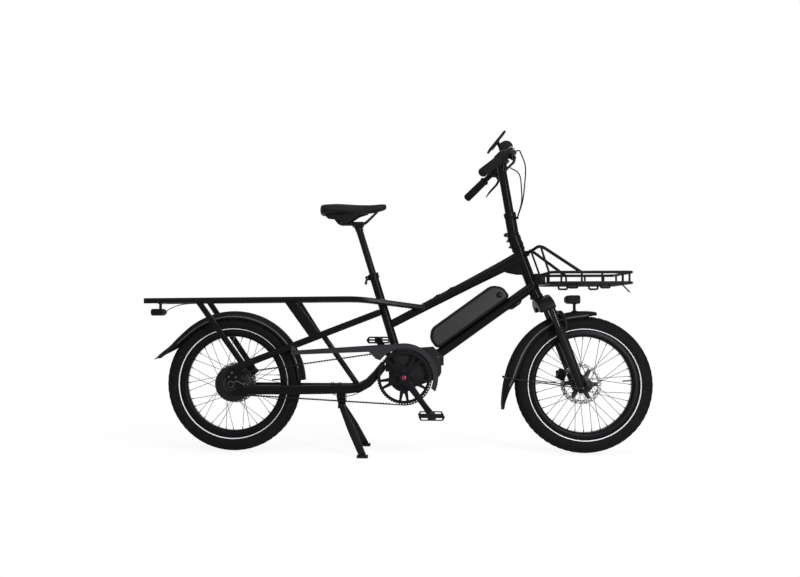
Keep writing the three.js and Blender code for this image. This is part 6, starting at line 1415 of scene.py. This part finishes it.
for k in range(ring_ribs):
    out = Matrix.Rotation(2 * math.pi * k / ring_ribs, 3, bar_line) @ bar_line.orthogonal().normalized()
    rib_turn = axes(out, bar_line, out.cross(bar_line))
    turning_ribs.block(Vector(on_bar(0.132)) + out * 0.0187, (0.0026, 0.0165, 0.0022), 0.0007, rib_turn)
show("shifter_ribs", turning_ribs, "shifter", grip_rubber)

# Brake levers: curved forged blades, flattened for the fingers, each with a boss round its pin.
# They are black anodised like the bodies that hold them.
blade_run = rounded(
    [
        pivot_at,
        reach(pivot_at, 0.0136, 0.0295),
        reach(pivot_at, 0.0161, 0.0826),
        reach(pivot_at, 0.0223, 0.118),
    ],
    0.0236,
    10,
)


def blade_section(share, i):
    """The blade is wide at the pin and narrow at its tip, where it closes in a round end."""
    fade = 0.45 if i == 0 else min(1.0, 0.6 + 0.4 * min(1, (1 - share) * 14))
    return oval(fade * (0.0055 - 0.00175 * share), fade * (0.00475 - 0.001 * share), 24, across=0.8)


def boss_line(bore, radius, half, ease=0.0005):
    """The profile of a short sleeve, with both its outer edges eased."""
    side = [(bore, -half), (radius - ease, -half), (radius, ease - half)]
    return side + [(r, -y) for r, y in side[::-1]]


blade = Form().sweep(blade_run, blade_section, lever_axis)
blade.turned(boss_line(0.0027, 0.0065, 0.005), pivot_at, 32, lever_axis)
show_pair("brake_lever", blade, ("brake_right", "brake_left"), anodised, 44)

# Display: a thin unit with a dark glass face that rises ahead of the rider, on a short arm.
# Beside it stands a smooth round housing with a small cap in front.
display_at = np.array([0.384, 0.0, 1.206])
tilt = math.radians(51)
display_along = np.array([math.cos(tilt), 0, math.sin(tilt)])
display_face = np.array([-math.sin(tilt), 0, math.cos(tilt)])
display_turn = axes(display_along, (0, 1, 0), display_face)
shell = Form().block(display_at, (0.1, 0.066, 0.009), 0.0034, display_turn)
band = [
    (0.0112, -0.0392),
    (0.0168, -0.0392),
    (0.0178, -0.0382),
    (0.0178, -0.0266),
    (0.0168, -0.0256),
    (0.0112, -0.0256),
]
shell.turned(band, bar_centre, 48)
arm = [bar_centre + np.array(p) for p in ((0, -0.0324, 0.0125), (-0.006, -0.03, 0.03))]
shell.tube(rounded([*arm, display_at + aside(-0.0254)], 0.02, 8), 0.0068, 24)
dome_at = np.array([0.415, -0.0489, 1.175])
dome = [(0, -0.0131), (0.019, -0.0131), (0.0238, -0.0112), (0.0264, -0.0074), (0.027, -0.003), (0.027, 0.005)]
shell.disc(dome + [(0.0262, 0.0095), (0.0235, 0.0122), (0.02, 0.013), (0, 0.013)], dome_at, 56)
pin(
    shell,
    dome_at + np.array([0.019, 0.002, -0.004]),
    dome_at + np.array([0.033, 0.002, -0.008]),
    0.0085,
    0.0078,
    0.002,
    32,
)
show("display_shell", shell, "steering", plastic, ("display",), 44)
glass = Finish("display_glass", (0.008, 0.0085, 0.0095), 0.12, Coat_Weight=0.6)
glass.uneven(rough=(0.1, 14, 2, 0.08))
face = Form().block(display_at + display_face * 0.0046, (0.09, 0.057, 0.0012), 0.0005, display_turn)
show("display_glass", face, "steering", glass)
cradle_at = display_at - display_face * 0.0062 - display_along * 0.013
show(
    "display_cradle",
    Form().block(cradle_at, (0.034, 0.03, 0.0044), 0.0012, display_turn),
    "steering",
    trim_grey,
)

# Cockpit hoses: one from each master cylinder, down beside the post into the clip on the sleeve.
# They are smooth braided hoses in a matt plastic jacket.
jacket = Finish("hose_jacket", (0.006, 0.006, 0.0064), 0.5, Specular_IOR_Level=0.099)
jacket.uneven((900, 2, 0.2, 0.0002), (0.44, 60, 2, 0.16))
hoses = Form()
hose_run = rounded(
    [
        reach(clamp_at, 0.02, -0.0363),
        reach(clamp_at, 0.026, -0.0644),
        np.array([0.488, -0.078, 1.0965]),
        clip_at + np.array([0.0215, -0.0125, 0.0645]),
        clip_at + np.array([0.0, -0.00375, 0.0]),
    ],
    0.043,
    14,
)
hoses.tube(hose_run, 0.0025, 16)
show("cockpit_hoses", hoses.mirror(), "steering", jacket, ("cockpit_hose",), 50)

# Front rack: two rounded tube rails on short posts, slats along the floor and four strap loops below.
# A plate at the back bolts it to the head tube, so it doesn't turn with the bar.
rack_wire = Finish("rack_coat", (0.005, 0.0051, 0.0056), 0.32, Specular_IOR_Level=0.056)
rack_wire.uneven((900, 2, 0.14, 0.0002), (0.32, 30, 3, 0.14))
tray_back, tray_front, tray_half, tray_low, tray_high = 0.566, 0.865, 0.15, 0.651, 0.69
rail_radius, rod_radius, loop_half = 0.0055, 0.004, 0.017
corners = [(tray_back, -tray_half), (tray_front, -tray_half), (tray_front, tray_half), (tray_back, tray_half)]
plan = soft_loop(corners, 0.026, 12)
tray = Form()
for z in (tray_low, tray_high):
    tray.tube([(x, y, z) for x, y in plan], rail_radius, 16, closed=True)
for y in (-0.1, -0.05, 0.0, 0.05, 0.1):
    tray.tube([(tray_back, y, tray_low), (tray_front, y, tray_low)], rod_radius, 14)
posts = [
    (tray_back + (tray_front - tray_back) * (i + 0.5) / 4, s * tray_half) for i in range(4) for s in (-1, 1)
]
posts += [(x, y) for x in (tray_back, tray_front) for y in (-0.1, 0.0, 0.1)]
for x, y in posts:
    tray.tube([(x, y, tray_low), (x, y, tray_high)], rod_radius, 14)
for x in (0.6557, 0.7753):
    for y in (-0.1, 0.1):
        back, front, foot = x - loop_half, x + loop_half, tray_low - loop_half
        loop = [(back, y, tray_low), (back, y, foot), (front, y, foot), (front, y, tray_low)]
        tray.tube(rounded(loop, 0.006, 5), rod_radius, 14)
tray.block((0.5463, 0, 0.6705), (0.0385, 0.034, 0.0425), 0.0035)
for z in (0.659, 0.682):
    for y in (-0.009, 0.009):
        pin(tray, (0.552, y, z), (0.569, y, z), 0.0036, ease=0.0006, sides=14)
tray.tube([(0.8335, -0.1, 0.65), (0.8655, -0.1, 0.6165)], 0.0026, 12)
show("front_tray_shown", tray, "frame", rack_wire, ("front_rack_tray",), 44)
hoop = Form()
hoop_half = [(0.676, -0.15, 0.69), (0.532, -0.118, 0.793), (0.5, -0.022, 0.77)]
hoop.tube(rounded(hoop_half, 0.026, 10), 0.006, 20)
hoop.tube([(0.532, -0.118, 0.793), (0.566, -0.108, 0.69)], 0.004, 16)
hoop.block((0.4985, -0.0205, 0.7695), (0.016, 0.009, 0.02), 0.0025)
show("front_hoop_shown", hoop.mirror(), "frame", rack_wire, ("front_rack_hoop",), 44)

# Battery: a long moulded case with cut corners on the down tube's rail, with a smooth dark panel a side.
# A key lock at its front end holds it, and a seam runs round the case.
down_foot = np.array([0.15, 0.0, 0.375])
down_ahead = np.array([0.81095, 0.0, 0.58511])
down_up = np.array([-0.58511, 0.0, 0.81095])
down_place = axes(down_ahead, (0, 1, 0), down_up, down_foot)
case_points = [
    (0.015, 0.0205), (0.359, 0.0205), (0.359, 0.0665), (0.329, 0.0965), (0.045, 0.0965), (0.015, 0.0665)
]
case_loop = soft_loop(case_points, 0.016, 7)
case = Form().plate(case_loop, -0.045, 0.045, (), 0.006, 5).moved(down_place)
show("battery_case_shown", case, "battery", plastic, ("battery_case",), 40)
panel_skin = Finish("battery_panel", (0.035, 0.035, 0.037), 0.46, Specular_IOR_Level=0.12)
panel_tone = (5, 2, (0.012, 0.012, 0.013), (0.022, 0.022, 0.023))
panel_skin.uneven((1200, 2, 0.1, 0.0002), (0.42, 18, 3, 0.1), panel_tone)
inset = [
    (0.0235, 0.0295), (0.3505, 0.0295), (0.3505, 0.0632), (0.3258, 0.0882), (0.0482, 0.0882), (0.0235, 0.0632)
]
for side, low, high in (("right", -0.048, -0.0435), ("left", 0.0435, 0.048)):
    panel = Form().plate(soft_loop(inset, 0.014, 7), low, high, (), 0.0014, 4).moved(down_place)
    show("battery_panel_" + side, panel, "battery", panel_skin, (), 40)
lock = Form()
lock_at = down_foot + down_ahead * 0.329 + down_up * 0.05
lock_face = lock_at - aside(0.0508)
pin(lock, lock_at - aside(0.0455), lock_face, 0.0102, 0.0096, 0.0012, 40)
lock.turned([(0.0104, -0.0495), (0.0124, -0.0495), (0.0124, -0.0478), (0.0104, -0.0478)], lock_at, 40)
show("battery_lock", lock, "battery", anodised)
show("battery_key_slot", Form().block(lock_face, (0.0018, 0.0008, 0.0075), 0.0003), "battery", rubber)
seam_loop = [down_foot + down_ahead * a + down_up * u for a, u in case_loop]
middle = sum(seam_loop) / len(seam_loop)
outward = [p + (p - middle) / np.linalg.norm(p - middle) * 0.0002 for p in seam_loop]
show("battery_seam", Form().tube(outward, 0.0007, 8, closed=True), "battery", rubber)

# Seatpost: a straight alloy post with a two-bolt cradle that grips the saddle's steel rails.
# The post, its cradle and the rails all wear the same black finish.
seat_up = np.array([-0.29262, 0.0, 0.95624])
seat_ahead = np.array([0.95624, 0.0, 0.29262])
post_low = np.array([-0.0635, 0.0, 0.5783])
post_top = np.array([-0.156, 0.0, 0.8804])
post = Form()
pin(post, post_low, post_top + seat_up * 0.003, 0.0136, 0.0136, 0.001, 48)
pin(post, post_top - seat_up * 0.026, post_top + seat_up * 0.004, 0.0142, 0.0172, 0.002, 48)
cradle = np.array([-0.156, 0.0, 0.8864])
for lift, high in ((-0.0062, 0.0075), (0.0056, 0.0065)):
    post.block(cradle + np.array([0, 0, lift]), (0.045, 0.052, high), 0.0026)
for y in (-0.022, 0.022):
    pin(
        post,
        cradle + np.array([-0.0228, y, 0.001]),
        cradle + np.array([0.0228, y, 0.001]),
        0.0072,
        ease=0.0012,
        sides=28,
    )
for x in (-0.013, 0.013):
    pin(
        post,
        cradle + np.array([x, 0, -0.0135]),
        cradle + np.array([x, 0, 0.0115]),
        0.0036,
        ease=0.0008,
        sides=14,
    )
show("seatpost_shown", post, "seat", anodised, ("seatpost",), 40)
rails = Form()
rail_half = [
    (-0.262, -0.031, 0.929), (-0.2306, -0.022, 0.8874), (-0.131, -0.022, 0.8874), (-0.0787, -0.0088, 0.938)
]
rails.tube(rounded(rail_half, 0.016, 8), 0.0035, 20)
show("saddle_rails", rails.mirror(), "seat", anodised)

# Saddle: a foam pad under a tight cover, wide at the tail and drawn in to a rounded nose.
# A moulded base with a scalloped skirt carries it, and a welt closes the cover along its edge.
cover = Finish("saddle_cover", (0.006, 0.006, 0.0064), 0.62, Specular_IOR_Level=0.083)
cells = cover.grain(520, 0, kind="ShaderNodeTexVoronoi")
cover.bump(cells * 0.6 + cover.grain(60, 3) * 0.5, 0.3, 0.0004)
cover.feed("Roughness", 0.52 + cover.grain(24, 3) * 0.2)
cover.feed("Base Color", cover.blend(cover.grain(9, 4), (0.0038, 0.0038, 0.0041), (0.0085, 0.0085, 0.009)))
saddle_tail, saddle_length, saddle_half = -0.304, 0.262, 0.08
station_at = np.array([0, 0.04, 0.12, 0.24, 0.38, 0.52, 0.66, 0.8, 0.92, 1])
station_wide = np.array([0.55, 0.84, 1, 0.98, 0.82, 0.56, 0.37, 0.29, 0.24, 0.14])


def saddle_top(share):
    return 0.966 - 0.009 * math.sin(math.pi * share) * share


def saddle_depth(share):
    return 0.046 + (0.03 - 0.046) * share


def saddle_wide(share):
    return saddle_half * np.interp(share, station_at, station_wide)


def saddle_ring(share, shrink=0.0025, squeeze=1.0, ahead=0.0):
    """The pad's outline at a share of its length, as a smooth curve through its corner points."""
    half = saddle_wide(share) * squeeze - shrink
    top, depth = saddle_top(share), saddle_depth(share)
    middle = top - depth * 0.55
    outline = [(0, 0), (0.3, 0.01), (0.7, 0.13), (0.93, 0.36), (1, 0.62), (0.86, 0.9), (0.5, 1), (0, 1)]
    outline = outline + [(-a, b) for a, b in outline[-2:0:-1]]
    ring = []
    for i in range(len(outline)):
        p = [np.array(outline[(i + j) % len(outline)]) for j in (-1, 0, 1, 2)]
        for t in (0, 0.25, 0.5, 0.75):
            at = 0.5 * (2 * p[1] + (p[2] - p[0]) * t + (2 * p[0] - 5 * p[1] + 4 * p[2] - p[3]) * t * t)
            at = at + 0.5 * (3 * p[1] - p[0] - 3 * p[2] + p[3]) * t**3
            z = middle + (top - depth * at[1] - middle) * squeeze
            z += shrink if z < middle else -shrink
            ring.append((saddle_tail + saddle_length * share + ahead, half * at[0], z))
    return ring


def cushion(name, rings, body, finish, replaced, held_below, most):
    """Foam under a cover: the form is remeshed, swelled a little by cloth and smoothed once."""
    form = Form().skin(rings)
    block = placed(name + "_form", meshed(name + "_form", form.points, form.faces))
    remesh = block.modifiers.new("even", "REMESH")
    remesh.mode = "VOXEL"
    remesh.voxel_size = 0.004
    even = bpy.data.meshes.new_from_object(block.evaluated_get(bpy.context.evaluated_depsgraph_get()))
    bpy.data.objects.remove(block)
    pad = placed(name, even)
    before = [v.co.copy() for v in even.vertices]
    kept = pad.vertex_groups.new(name="kept")
    kept.add([v.index for v in even.vertices if v.co.z < held_below], 1.0, "REPLACE")
    cloth = pad.modifiers.new("cover", "CLOTH")
    cloth.settings.use_pressure = True
    cloth.settings.uniform_pressure_force = 4
    cloth.settings.effector_weights.gravity = 0
    cloth.settings.vertex_group_mass = "kept"
    for number in range(1, 21):
        bpy.context.scene.frame_set(number)
    swelled = pad.evaluated_get(bpy.context.evaluated_depsgraph_get()).to_mesh()
    after = [v.co.copy() for v in swelled.vertices]
    pad.modifiers.remove(cloth)
    bpy.context.scene.frame_set(1)
    for vertex, start, end in zip(even.vertices, before, after):
        step = end - start
        vertex.co = start + step * min(1.0, most / max(step.length, 1e-9))
    smooth = pad.modifiers.new("smooth", "CORRECTIVE_SMOOTH")
    smooth.iterations = 6
    smooth.use_only_smooth = True
    finer = pad.modifiers.new("finer", "SUBSURF")
    finer.levels = finer.render_levels = 1
    final = bpy.data.meshes.new_from_object(pad.evaluated_get(bpy.context.evaluated_depsgraph_get()))
    pad.modifiers.clear()
    pad.vertex_groups.clear()
    pad.data = final
    final.shade_smooth()
    final.materials.clear()
    final.materials.append(finish.material)
    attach(pad, body)
    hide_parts(*replaced)
    return pad


saddle_rings = [
    saddle_ring(0, squeeze=s, ahead=dx) for dx, s in ((-0.0, 0.45), (0.001, 0.75), (0.0035, 0.93))
]
saddle_rings += [saddle_ring(s) for s in np.linspace(0.03, 0.965, 44)]
saddle_rings += [
    saddle_ring(1, squeeze=s, ahead=dx) for dx, s in ((-0.0042, 0.93), (-0.0014, 0.75), (0.0, 0.42))
]
saddle = cushion("saddle_pad", saddle_rings, "seat", cover, ("saddle",), 0.931, 0.005)

# Saddle trim: a sewn welt where the cover turns under, and the moulded base below it.
# The base's skirt falls in scallops from the tail to the cradle, outside the rails.
surface = bmesh.new()
surface.from_mesh(saddle.data)
skin_tree = BVHTree.FromBMesh(surface)
surface.free()
edge = [
    (saddle_tail + saddle_length * share, saddle_wide(share), saddle_top(share) - saddle_depth(share) * 0.66)
    for share in np.linspace(0.02, 0.985, 60)
]
welt_path = []
for p in edge + [(x, -y, z) for x, y, z in edge[::-1]]:
    near, normal, _, _ = skin_tree.find_nearest(Vector(p))
    welt_path.append(np.array(near + normal * 0.0002))
show("saddle_welt", Form().tube(welt_path, 0.001, 10, closed=True), "seat", rubber)
skirt_line = [
    (-0.117, 0.936), (-0.117, 0.929), (-0.15, 0.919), (-0.172, 0.905), (-0.188, 0.894), (-0.2, 0.8865)
]
skirt_line += [(-0.2155, 0.8885), (-0.2215, 0.8985), (-0.236, 0.899), (-0.2455, 0.9015), (-0.2515, 0.9115)]
skirt_line += [(-0.266, 0.9125), (-0.2775, 0.9145), (-0.285, 0.921), (-0.289, 0.936)]
skirt = Form().plate(soft_loop(skirt_line, 0.004, 4), -0.0385, -0.034, (), 0.0012, 3)
show("saddle_skirt", skirt.mirror(), "seat", plastic)

# Seat clamp lever: a short cam lever behind the collar, turned on a barrel with a thumb nut.
# It is black anodised alloy, with a small plated pin.
lever_pivot = np.array([-0.1204, -0.0108, 0.67482])
lever_tip = lever_pivot - seat_up * 0.0217 - seat_ahead * 0.0124
lever_knee = lever_pivot * 0.5 + lever_tip * 0.5 + np.array([-0.0012, 0, 0])
lever = Form().turned(boss_line(0.0013, 0.0049, 0.0034), lever_pivot, 32)
lever_run = rounded([lever_pivot, lever_knee, lever_tip], 0.01, 6)
lever.sweep(lever_run, lambda share, i: oval(0.0038 + 0.0013 * share, 0.0027, 24), (0, 1, 0))
show("seat_lever_shown", lever, "seat_lever", anodised, ("seat_clamp_lever",), 44)
pin_ends = (lever_pivot + aside(y) for y in (-0.0042, -0.0031))
lever_pin = Form()
pin(lever_pin, *pin_ends, 0.0026, ease=0.0003, sides=16)
show("seat_lever_pin", lever_pin, "seat_lever", steel)

# Stand: a forged bracket under the chainstays and two flared legs that fold back about its pin.
# The legs are oval castings with a rubber foot each and a hole near the pivot.
eased("stand_bracket", "frame", paint, 30)
stand_hip = np.array([-0.22, 0.0306, 0.181])
stand_ankle = np.array([-0.134, 0.15, 0.01])
leg_run = [stand_hip + (stand_ankle - stand_hip) * t for t in np.linspace(0, 1, 14)]


def leg_section(share, i):
    wide = (0.02 + (0.034 - 0.02) * min(share * 2, 1)) * (1 - 0.2 * share) / 2
    return oval(wide, 0.0075, 32, 0.6, 0.6)


leg = Form().sweep(leg_run, leg_section, (0, 1, 0))
hip_line = [
    (0.0072, 0.0208), (0.011, 0.0208), (0.012, 0.0218), (0.012, 0.0412), (0.011, 0.0422), (0.0072, 0.0422)
]
legs = leg.turned(hip_line, (-0.22, 0, 0.181), 44).mirror()
pin(legs, (-0.22, -0.0425, 0.181), (-0.22, 0.0425, 0.181), 0.007, ease=0.001, sides=32)
show("stand_legs_shown", legs, "stand", lowers_cast, ("stand_legs",), 44)
feet = Form().block((-0.134, 0.15, 0.005), (0.042, 0.034, 0.01), 0.003)
for k in range(5):
    feet.block((-0.15 + k * 0.008, 0.15, 0.0012), (0.0036, 0.0325, 0.0024), 0.0006)
show("stand_feet", feet.mirror(), "stand", rubber)
